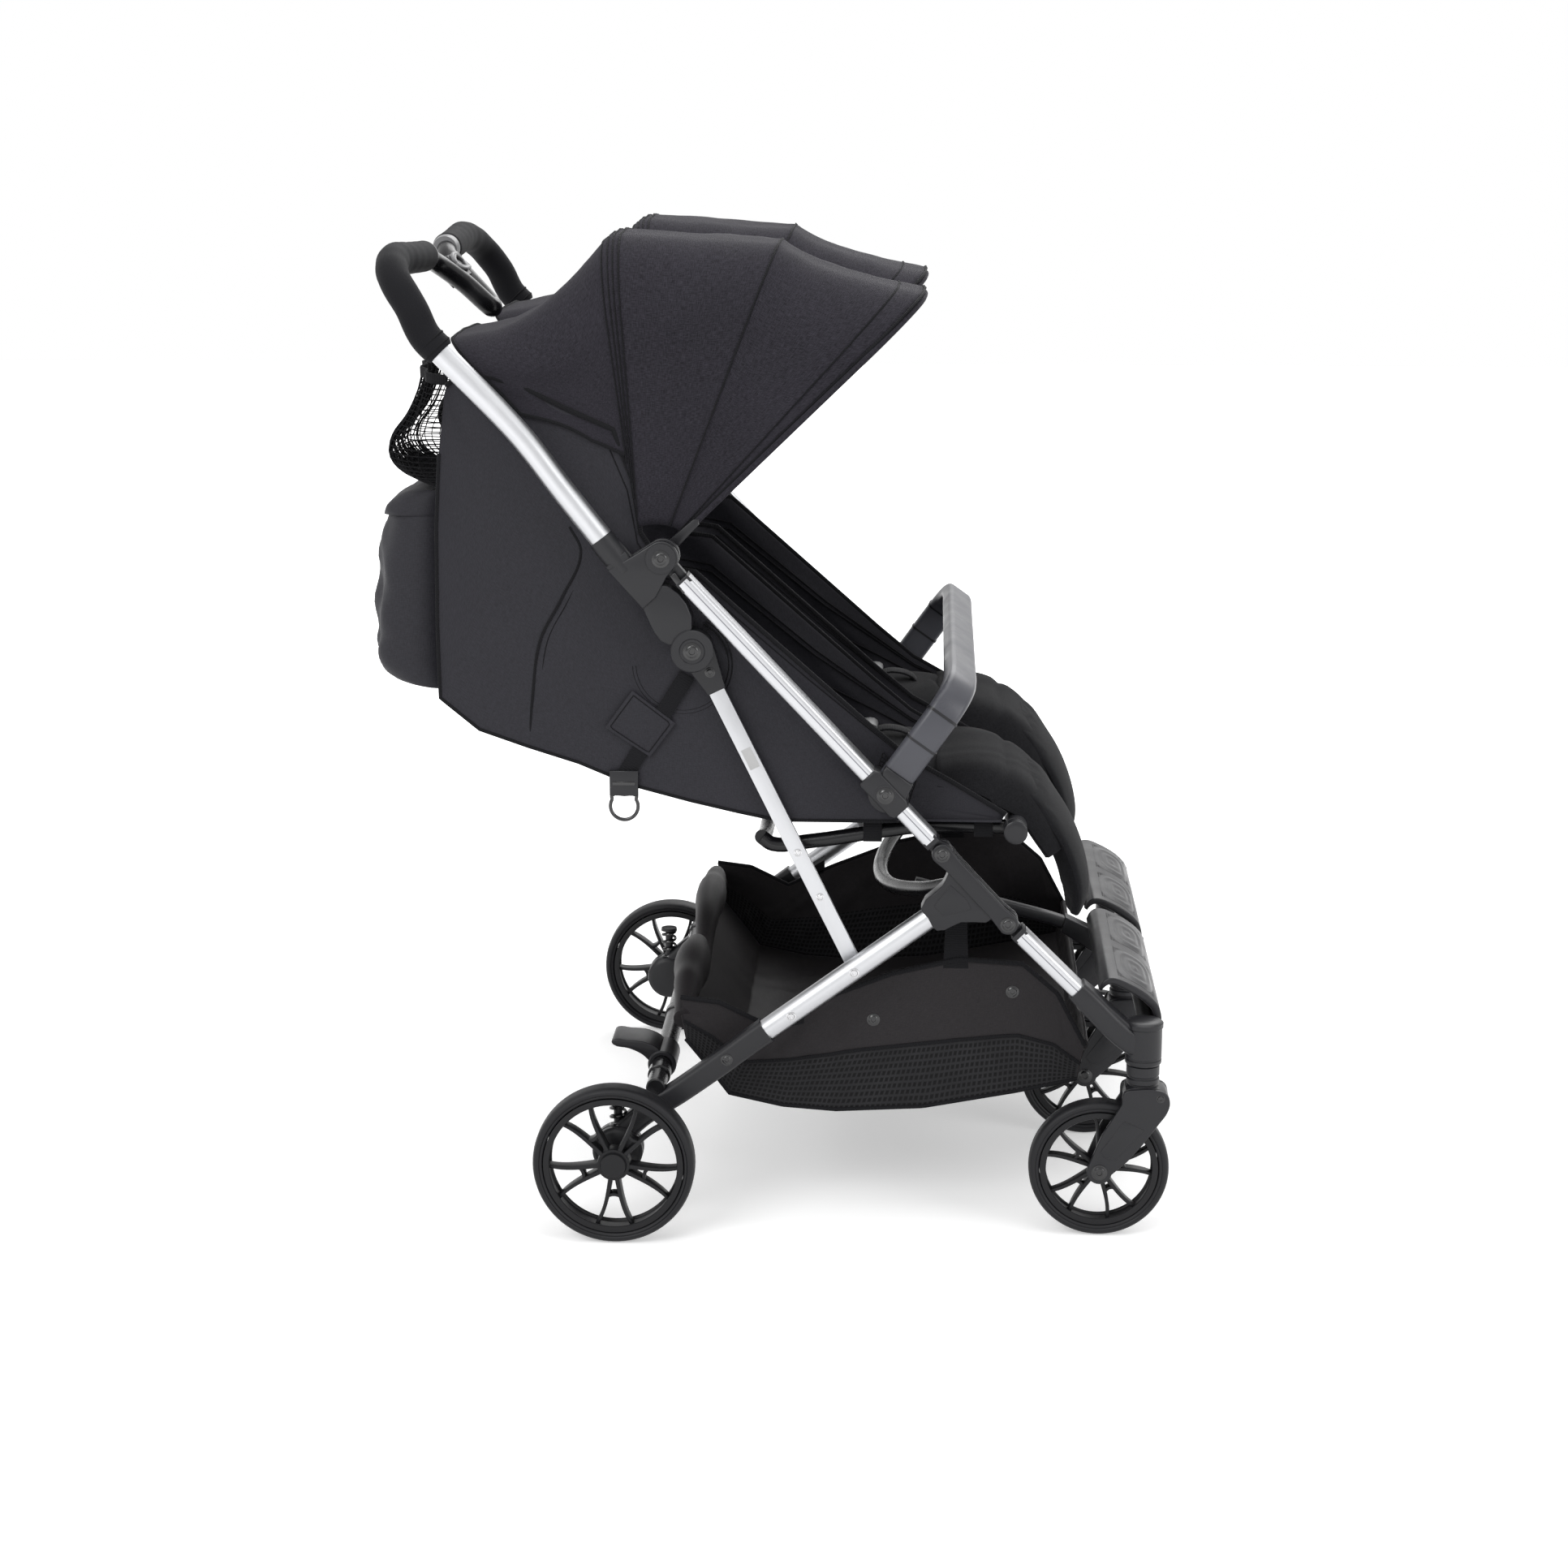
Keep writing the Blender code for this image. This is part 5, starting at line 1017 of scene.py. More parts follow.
@dataclass
class FrontEnd:
    """Lower legs, caster posts, forks, front wheels and footrests."""

    foot_half: float = 0.1307
    post_x: float = POST_X

    def build(self) -> None:
        """Builds every piece of the front end."""
        for side in Side:
            self.lower_leg(side)
            self.footrest(side)
        for where in Place:
            self.post(where)
            Caster(where).build()
            name = f"front_wheel_{where.value}"
            Wheel(name, FRONT_AXLE, where.y, radius=0.0715, width=0.024, first=8.0, hub_share=0.15).build(name)

    def post_end(self) -> tuple[np.ndarray, Spot]:
        """The lower leg's direction and its end in the post."""
        along = way(PIVOT_E, (0.242, 0.2325))
        return along, step(PIVOT_E, along, 0.129)

    def lower_leg(self, side: Side) -> None:
        """Silver tube with its groove lines of painted shade, its plastic eye and its bolt."""
        y, hand = side.y, side.sign
        along, end = self.post_end()
        shell = Shell()
        silver_leg(shell, step(PIVOT_E, along, 0.018), end, y)
        leg_eye(shell, PIVOT_E, along, 0.017, y)
        bolt(shell, (0.2197, 0.2475), y + hand * 0.013, hand, 0.0068, 3)
        name = f"lower_leg_{side.value}"
        fit(shell.build(f"{name}_tube", [ALUMINIUM, GROOVE_SHADE_ALUMINIUM, BLACK_PLASTIC, BOLT_BLACK]), "lower_front", name)

    def post(self, where: Place) -> None:
        """Caster post: a capped cylinder with a collar, and the arm to the leg or the middle bar."""
        y = where.y
        shell = Shell()
        low, high, radius = 0.183, 0.229, 0.0185
        profile = [
            (low, 0.0172), (low + 0.002, radius), (low + 0.005, radius), (low + 0.0056, radius - 0.0008),
            (low + 0.007, radius - 0.0008), (low + 0.0076, radius), (high - 0.008, radius),
            (high - 0.007, radius + 0.001), (high - 0.0025, radius + 0.001), (high - 0.0008, radius - 0.001),
            (high, radius - 0.005), (high + 0.0004, radius * 0.5),
        ]
        shell.turned(profile, place(self.post_x, 0, y), "Z", 48)
        if where is Place.MIDDLE:
            bar = curve(spots([
                (0.262, 0.218), (0.235, 0.234), (0.212, 0.244), (0.15, 0.261), (0.09, 0.276), (0.048, 0.286)
            ], 0.0), 5)
            share = np.linspace(0, 1, len(bar))
            shell.sweep(bar, rounded(0.0168, 0.0138, 0.0045, 5), sizes=1.25 - 0.28 * np.clip(share * 4, 0, 1))
            arm = [
                (0.21, 0.235), (0.215, 0.252), (self.post_x - 0.012, high - 0.003), (self.post_x, high - 0.003),
                (self.post_x, low + 0.006), (0.256, 0.205)
            ]
            shell.plate(arm, -0.011, 0.011, 0.0022)
        else:
            along, end = self.post_end()
            collar = step(end, along, -0.03)
            path = spots([collar, step(collar, along, 0.014), (self.post_x - 0.014, 0.208), (self.post_x, 0.201)], y)
            route = curve(path, 6)
            share = np.linspace(0, 1, len(route))
            shell.sweep(route, rounded(0.0296, 0.0225, 0.006, 5), sizes=1.0 + 0.1 * np.sin(share * math.pi))
            web = [
                step(end, along, -0.018, 0.0105), (self.post_x - 0.014, high - 0.004), (self.post_x, high - 0.006),
                (self.post_x, low + 0.008), (self.post_x - 0.014, low + 0.01), step(end, along, -0.028, -0.0105)
            ]
            shell.plate(web, y - 0.0128, y + 0.0128, 0.002)
        name = f"caster_post_{where.value}"
        fit(shell.build(f"{name}_moulding", [BLACK_PLASTIC]), "lower_front", name)

    def footrest(self, side: Side) -> None:
        """The footrest: a rolled panel between two posts with two raised, ringed pads and the tube behind it.

        The panel is the side-view curve carried across; a pad is a rounded square of superellipse rings on its face.
        """
        middle = side.y / 2
        shell = Shell()
        face = curve(np.array([
            (0.237, 0.254), (0.241, 0.262), (0.248, 0.266), (0.264, 0.262), (0.296, 0.24), (0.301, 0.228),
            (0.3012, 0.208), (0.3005, 0.19)
        ]), 6)
        back = curve(np.array([
            (0.296, 0.1895), (0.2955, 0.208), (0.2945, 0.225), (0.2895, 0.235), (0.261, 0.255), (0.248, 0.259),
            (0.2425, 0.2555), (0.24, 0.252)
        ]), 4)
        half = self.foot_half
        shell.plate(np.vstack([face, back]), middle - half, middle + half, 0.0016)
        shell.turned([(middle - half, 0.008), (middle + half, 0.008)], place(0.288, 0.208, 0), count=24)
        fit(shell.build(f"footrest_{side.value}_moulding", [BLACK_PLASTIC]), "lower_front", f"footrest_{side.value}")
        self.foot_pads(side, face)

    def foot_pads(self, side: Side, face: np.ndarray) -> None:
        """Ringed treads: height follows a stepped cosine of the superellipse distance from each pad's middle."""
        middle = side.y / 2
        run = run_of(face)
        shell = Shell()
        for hand in (-1, 1):
            a, b = np.meshgrid(np.linspace(-1, 1, 61), np.linspace(-1, 1, 61), indexing="ij")
            along = 0.049 + a * 0.0225
            x, z = np.interp(along, run, face[:, 0]), np.interp(along, run, face[:, 1])
            distance = (np.abs(a) ** 3.2 + np.abs(b) ** 3.2) ** (1 / 3.2)
            ring = 0.5 + 0.5 * np.cos(distance * math.pi * 5.0)
            height = 0.0016 * np.clip(4 * (1 - distance), 0, 1) * (0.65 + 0.5 * ring) - 0.0004
            dx, dz = np.gradient(x, axis=0), np.gradient(z, axis=0)
            size = np.hypot(dx, dz)
            x, z = x - dz / size * height, z + dx / size * height
            shell.grid(place(x, z, middle + hand * 0.064 + b * 0.052))
        piece = shell.build(f"footrest_{side.value}_treads", [BLACK_PLASTIC], outward=False, angle=60)
        thicken(piece, 0.0008, 0.0)
        fit(piece, "lower_front")


def silver_leg(shell: Shell, start: Spot, end: Spot, y: float) -> None:
    """A front leg's tube, 26 by 16.5 mm with round corners, and along each flank a thin strip of darker metal that
    paints the shade of a groove.
    """
    path = even(spots([start, end], y), 10)
    shell.sweep(path, rounded(FRAME_WIDTH, LEG_DEPTH, 0.0048, 6))
    along = way(start, end)
    for hand in (-1, 1):
        a, b = step(start, along, 0.0005, 0.0012), step(end, along, -0.0005, 0.0012)
        # A thin strip of darker metal on the flank: painted shade of a groove, not a cut.
        shell.sweep(even(spots([a, b], y + hand * (FRAME_WIDTH / 2)), 6), rounded(0.0005, 0.0011, 0.0001, 2), slot=1)


def leg_eye(shell: Shell, pivot: Spot, along: np.ndarray, reach: float, y: float) -> None:
    """A leg's plastic end: the eye on the pin and the plug that closes the tube."""
    angle = math.degrees(math.atan2(along[1], along[0]))
    neck = 0.0078
    outline = [step(pivot, along, reach + 0.002, -neck * 0.8), step(pivot, along, reach + 0.002, neck * 0.8)]
    outline += arc(pivot, 0.0104, angle + 45, angle + 315, 18)
    shell.plate(outline, y - 0.0049, y + 0.0049, 0.0006, slot=2)
    shell.plate(strip(pivot, along, reach - 0.004, reach + 0.004, neck), y - 0.0126, y + 0.0126, 0.0015, slot=2)


# Handle, front legs, bumper and seat tube
@dataclass
class Handle:
    """The folding handle: two joints, silver tubes, foam arches, inner legs and the release between them."""

    joint_top: Spot = (-0.2425, 0.6905)
    bend: Spot = (-0.338, 0.814)
    foam_low: Spot = (-0.415, 0.895)

    def build(self) -> None:
        """Builds the handle's five kinds of piece."""
        self.tubes()
        for side in Side:
            self.joint(side)
            self.foam(side)
        self.inner_legs()
        self.release()

    def tubes(self) -> None:
        """The silver tubes from the joints up into the foam."""
        tail = way(self.bend, self.foam_low)
        route = [self.joint_top, (-0.3, 0.764), self.bend, self.foam_low, step(self.foam_low, tail, 0.011)]
        for side in Side:
            shell = Shell()
            shell.sweep(curve(spots(route, side.y), 8), oval(0.024, 0.024, 36))
            name = f"handle_tube_{side.value}"
            fit(shell.build(f"{name}_silver", [ALUMINIUM]), "handle", name)

    def joint(self, side: Side) -> None:
        """The joint: cheeks round the upper leg's eye, the slotted arm down to the strut, screws and the button."""
        y, hand = side.y, side.sign
        shell = Shell()
        outline = [(-0.254, 0.685), (-0.233, 0.6975), *arc(PIVOT_A, 0.0172, 110, -20, 16)]
        outline += [(-0.1965, 0.679), (-0.207, 0.659), (-0.22, 0.647)]
        for low, high in ((-0.013, -0.0058), (0.0058, 0.013)):
            shell.plate(outline, y + low, y + high, 0.0016)
        plug = [(-0.256, 0.688), (-0.238, 0.703), (-0.224, 0.685), (-0.22, 0.66), (-0.225, 0.654)]
        shell.plate(plug, y - 0.012, y + 0.012, 0.0014)
        cuff = curve(spots([(-0.237, 0.684), (-0.256, 0.707), (-0.262, 0.715)], y), 4)
        shell.sweep(cuff, oval(0.0262, 0.0262, 32), sizes=np.linspace(1.04, 1.0, len(cuff)))
        down = way((-0.212, 0.66), PIVOT_B)
        link = [
            (-0.224, 0.664), (-0.218, 0.642), step(PIVOT_B, down, -0.018, -0.015),
            step(PIVOT_B, down, -0.018, 0.013), (-0.196, 0.67)
        ]
        shell.plate(curve(np.array(link + link[:1]), 4)[:-1], y - 0.0112, y + 0.0112, 0.0018)
        shell.turned([
            (-0.0118 * hand, 0.0196), (0.01 * hand, 0.0212), (0.012 * hand, 0.0212), (0.0132 * hand, 0.02),
            (0.0132 * hand, 0.013), (0.0122 * hand, 0.012)
        ], place(*PIVOT_B, y), count=48)
        shell.turned([
            (0.0126 * hand, 0.0155), (0.0142 * hand, 0.015), (0.0142 * hand, 0.0112)
        ], place(*PIVOT_A, y), count=40)
        bolt(shell, PIVOT_A, y + hand * 0.014, hand, 0.0088, 1, 0.002)
        bolt(shell, PIVOT_A, y - hand * 0.0128, -hand, 0.008, 1, 0.0018)
        bolt(shell, PIVOT_B, y + hand * 0.0122, hand, 0.009, 1, 0.002)
        shell.plate(
            strip(step(PIVOT_A, down, 0.029), down, -0.01, 0.012, 0.003), y + hand * 0.0106, y + hand * 0.0124,
            0.0008, slot=1
        )
        name = f"handle_joint_{side.value}"
        fit(shell.build(f"{name}_moulding", [BLACK_PLASTIC, BOLT_BLACK]), "handle", name)

    def foam(self, side: Side) -> None:
        """The foam arch: a 32 mm grip with a stitched cuff at its foot, slightly lumpy along the bends."""
        hand = side.sign
        tail = way(self.bend, self.foam_low)
        second = step(self.foam_low, tail, 0.022)
        rows = np.array([
            (*self.foam_low, 0.3), (*second, 0.3), (-0.443, 0.937, 0.297), (-0.461, 0.963, 0.282),
            (-0.471, 0.978, 0.235), (-0.47, 0.9765, 0.15), (-0.468, 0.9745, 0.095), (-0.4675, 0.974, 0.074),
        ])
        path = even(curve(place(rows[:, 0], rows[:, 1], rows[:, 2] * hand), 12), 120)
        run = np.linspace(0, 1, len(path))
        size = 1.0 + 0.012 * np.sin(run * 60) * np.sin(run * math.pi)
        size[:2], size[-2:] = (0.86, 0.97), (0.97, 0.86)
        ring = Shell()
        ring.sweep(path, oval(0.032, 0.032, 36), ARCH_ACROSS, size)
        for at in (0.004, 0.013):
            start = step(self.foam_low, tail, at)
            hoop = spots([start, step(start, tail, 0.0011), step(start, tail, 0.0022)], hand * 0.3)
            ring.sweep(hoop, oval(0.0326, 0.0326, 36), sizes=np.array([0.985, 1.012, 0.985]), slot=1)
        bracket = place([-0.4675, -0.4675, -0.4677], 0.974, np.array([0.079, 0.07, 0.062]) * hand)
        ring.sweep(bracket, oval(0.029, 0.029, 32), ARCH_ACROSS, np.array([1.0, 1.02, 0.9]), slot=2)
        name = f"handle_foam_{side.value}"
        fit(ring.build(f"{name}_grip", [FOAM, CORD_BLACK, LIGHT_GREY]), "handle", name)

    def inner_legs(self) -> None:
        """The black bow between the arches, which dips at the release."""
        half = [
            (-0.4679, 0.9744, 0.087), (-0.4675, 0.974, 0.0735), (-0.46, 0.965, 0.042), (-0.436, 0.944, 0.02),
            (-0.408, 0.916, 0.0)
        ]
        shell = Shell()
        shell.sweep(curve(mirrored(half), 8), oval(0.021, 0.021, 28), ARCH_ACROSS)
        fit(shell.build("handle_centre_tube_painted", [BLACK_TUBE]), "handle", "handle_centre_tube")

    def release(self) -> None:
        """The fold release: a rounded housing between the inner legs and crossed grey loops on top."""
        along = way((-0.436, 0.944), (-0.465, 0.974))
        middle = (-0.454, 0.96)
        shell = Shell()
        outline = stepped(middle, along, (
            (-0.022, -0.01), (0.006, -0.01), (0.008, -0.007), (0.008, 0.007), (0.006, 0.01), (-0.022, 0.01)
        ))
        shell.plate(outline, -0.026, 0.026, 0.003)
        turn = np.linspace(0, 2 * math.pi, 48)
        for hand in (-1, 1):
            u = 0.0105 * np.cos(turn)
            v = 0.027 * np.sin(turn)
            tilt = hand * 0.62
            a = u * math.cos(tilt) - v * math.sin(tilt) * 0.35
            y = u * math.sin(tilt) + v * math.cos(tilt)
            rise = -0.012 - 0.0012 * np.cos(turn * 2 + hand)
            x = middle[0] + along[0] * (a - 0.006) - along[1] * rise
            z = middle[1] + along[1] * (a - 0.006) + along[0] * rise
            shell.sweep(place(x, z, y), oval(0.0046, 0.0046, 10), (0.31, 0.21, 0.93), slot=1)
        fit(shell.build("fold_release_moulding", [BLACK_PLASTIC, LIGHT_GREY]), "handle", "fold_release")


@dataclass
class FrontFrame:
    """Upper legs with their ends, bumper sockets, the bumper bar and the seat tube."""

    half_seats: float = 0.256
    bumper_start: Spot = (0.0194, 0.4621)
    bumper_way: Spot = (0.5803, 0.8144)

    def build(self) -> None:
        """Builds both sides, the bumper and the seat tube."""
        for side in Side:
            self.leg(side)
            self.socket(side)
        self.bumper()
        self.seat_tube()

    def leg(self, side: Side) -> None:
        """The long silver leg between pivots A and C with a plastic eye at each end."""
        y = side.y
        along = way(PIVOT_A, PIVOT_C)
        shell = Shell()
        silver_leg(shell, step(PIVOT_A, along, 0.0315), step(PIVOT_C, along, -0.0175), y)
        leg_eye(shell, PIVOT_A, along, 0.0325, y)
        leg_eye(shell, PIVOT_C, -along, LEG_DEPTH, y)
        name = f"upper_leg_{side.value}"
        fit(shell.build(f"{name}_tube", [ALUMINIUM, GROOVE_SHADE_ALUMINIUM, BLACK_PLASTIC]), "front_frame", name)

    def socket(self, side: Side) -> None:
        """The bumper socket: a clamp round the leg, a cup upwards, a disc and its bolt."""
        y, hand = side.y, side.sign
        along = way(PIVOT_A, PIVOT_C)
        up = np.asarray(self.bumper_way)
        foot = self.foot()
        shell = Shell()
        middle = self.bumper_start
        clamp = stepped(middle, along, (
            (-0.026, -0.0105), (-0.022, -0.0122), (0.019, -0.0122), (0.024, -0.009), (0.024, 0.009),
            (0.018, 0.0118), (-0.02, 0.0118), (-0.026, 0.009)
        ))
        shell.plate(clamp, y - 0.0154, y + 0.0154, 0.0024)
        cup = stepped(middle, along, ((-0.018, 0.01), (0.018, 0.01)))
        cup += stepped(foot, up, ((0.011, -0.0165), (0.011, 0.0165)))
        shell.plate(cup, y - 0.0135, y + 0.0135, 0.0026)
        shell.turned([
            (hand * 0.012, 0.0108), (hand * 0.0158, 0.0104), (hand * 0.0158, 0.008)
        ], place(*middle, y), count=40)
        shell.turned([
            (-hand * 0.0156, 0.018), (-hand * 0.015, 0.02), (-hand * 0.007, 0.0205), (-hand * 0.006, 0.019)
        ], place(*step(middle, along, 0.004), y), count=48)
        bolt(shell, middle, y + hand * 0.0156, hand, 0.0086, 1, 0.0018)
        name = f"bumper_socket_{side.value}"
        fit(shell.build(f"{name}_moulding", [BLACK_PLASTIC, BOLT_BLACK]), "front_frame", name)

    def foot(self) -> Spot:
        """Where the bumper's arm leaves its socket."""
        return step(self.bumper_start, np.asarray(self.bumper_way), 0.013)

    def bumper(self) -> None:
        """The padded bumper bar: two arms and the cross bar in one sweep, with two raised black seams round each arm.

        The section is a rounded rectangle 18 by 29 mm; where the arms turn inwards it stays square to the path.
        """
        up, foot = np.asarray(self.bumper_way), self.foot()
        rows = [
            (-0.004, 0.0), (0.02, 0.0), (0.045, 0.0), (0.068, 0.001), (0.086, 0.004), (0.099, 0.012), (0.109, 0.03),
            (0.1125, 0.056)
        ]
        arm = [(*step(foot, up, rise), HALF_FRAME - inward) for rise, inward in rows]
        across = [(*step(foot, up, 0.113), y) for y in (0.18, 0.09, 0.0)]
        path = even(curve(mirrored([(x, z, -y) for x, z, y in arm + across]), 8), 150)
        section = rounded(0.019, 0.033, 0.006, 6)
        shell = Shell()
        self.carried(shell, path, section, 0)
        run = run_of(path)
        for mark in (0.052, 0.086):
            for at in (mark, run[-1] - mark):
                spot = np.stack([np.interp([at - 0.0012, at, at + 0.0012], run, path[:, i]) for i in range(3)], -1)
                self.carried(shell, spot, section * 1.05, 1)
        fit(shell.build("bumper_bar_padded", [GREY_PLASTIC, BLACK_PLASTIC]), "bumper_bar", "bumper_bar")

    def carried(self, shell: Shell, path: np.ndarray, section: np.ndarray, slot: int) -> None:
        """Carries the section with its long side along the seat's forward direction all the way.

        The forward direction is square to the arms' own way in the side view, so the section never twists.
        """
        forward = np.array([self.bumper_way[1], 0.0, -self.bumper_way[0]])
        tangent = np.gradient(path, axis=0)
        tangent /= np.linalg.norm(tangent, axis=1)[:, None]
        thin = np.cross(tangent, forward)
        thin /= np.linalg.norm(thin, axis=1)[:, None]
        grid = path[:, None] + thin[:, None] * section[None, :, :1] + forward * section[None, :, 1:]
        shell.grid(grid, ring=True, caps=True, slot=slot)

    def seat_tube(self) -> None:
        """The black seat tube: a bent bar under each side of the seats, bars across, and the leg rests' bosses."""
        shell = Shell()
        half = self.half_seats
        rows = [
            (0.144, 0.417, half), (0.06, 0.417, half), (-0.06, 0.399, half), (-0.096, 0.396, half),
            (-0.1065, 0.403, half), (-0.106, 0.412, half - 0.006), (-0.105, 0.4, half - 0.04), (-0.105, 0.396, 0.0),
        ]
        side = curve(place(*np.array([r[:2] for r in rows[:5]]).T, np.array([r[2] for r in rows[:5]])), 6)
        for hand in (-1, 1):
            shell.sweep(side * [1, hand, 1], oval(0.015, 0.015, 24))
            stub = place(0.057, 0.417, np.array([half - 0.006, half + 0.02, 0.286]) * hand)
            shell.sweep(stub, oval(0.014, 0.014, 20), UP)
            boss = [
                (0.2445, 0.0105), (0.2455, 0.012), (0.27, 0.012), (0.2705, 0.0105), (0.272, 0.0105),
                (0.2725, 0.012), (0.2855, 0.012), (0.2865, 0.0105), (0.2865, 0.006)
            ]
            shell.turned([(a * hand, r) for a, r in boss], place(0.15, 0.418, 0), count=36, slot=1)
            for x, z in ((0.006, 0.4105), (0.118, 0.417)):
                loop = [
                    (x - 0.0095, z + 0.012), (x - 0.0095, z - 0.009), (x + 0.0095, z - 0.009),
                    (x + 0.0095, z + 0.012)
                ]
                shell.plate(loop, hand * (half - 0.0092), hand * (half + 0.0092), 0.002, slot=2)
        back = [(-0.1065, 0.403, -half), (-0.105, 0.399, -half + 0.03), (-0.105, 0.396, -0.15), (-0.105, 0.396, 0.0)]
        shell.sweep(curve(mirrored(back), 5), oval(0.015, 0.015, 24), UP)
        fit(shell.build("seat_frame_painted", [BLACK_TUBE, BLACK_PLASTIC, WEBBING]), "front_frame", "seat_frame")


def puffed(piece: bpy.types.Object, cap: float, pressure: float = 4.0) -> bpy.types.Object:
    """Fills a cushion: its own even grid is blown up as cloth for twenty frames, and held near its pattern.

    Args:
        piece: the closed cushion.
        cap: how far a point may move.
        pressure: of the filling.

    Returns:
        The same object with its points moved.
    """
    mesh = piece.data
    rest = np.empty(len(mesh.vertices) * 3, np.float32)
    mesh.vertices.foreach_get("co", rest)
    cloth = piece.modifiers.new("filling", "CLOTH")
    cloth.settings.use_pressure = True
    cloth.settings.uniform_pressure_force = pressure
    cloth.settings.effector_weights.gravity = 0.0
    cloth.settings.quality = 4
    scene = bpy.context.scene
    for number in range(1, 21):
        scene.frame_set(number)
    graph = bpy.context.evaluated_depsgraph_get()
    blown = piece.evaluated_get(graph).to_mesh()
    moved = np.empty_like(rest)
    blown.vertices.foreach_get("co", moved)
    piece.evaluated_get(graph).to_mesh_clear()
    piece.modifiers.clear()
    scene.frame_set(1)
    shift = (moved - rest).reshape(-1, 3)
    size = np.linalg.norm(shift, axis=1, keepdims=True)
    shift *= np.minimum(1.0, cap / np.maximum(size, 1e-9))
    mesh.vertices.foreach_set("co", (rest.reshape(-1, 3) + np.nan_to_num(shift)).ravel())
    mesh.update()
    smooth = piece.modifiers.new("smooth", "SUBSURF")
    smooth.levels = smooth.render_levels = 1
    return piece


def pressed(piece: bpy.types.Object, x: float, depth: float, width: float) -> None:
    """Draws in a seam across a cushion: points near x sink by depth times exp(-(dx / width)2), top side only."""
    mesh = piece.data
    points = np.empty(len(mesh.vertices) * 3, np.float32)
    mesh.vertices.foreach_get("co", points)
    grid = points.reshape(-1, 3)
    upper = grid[:, 2] > np.median(grid[:, 2])
    grid[:, 2] -= upper * depth * np.exp(-(((grid[:, 0] - ORIGIN_X - x) / width) ** 2))
    mesh.vertices.foreach_set("co", grid.ravel())
    mesh.update()


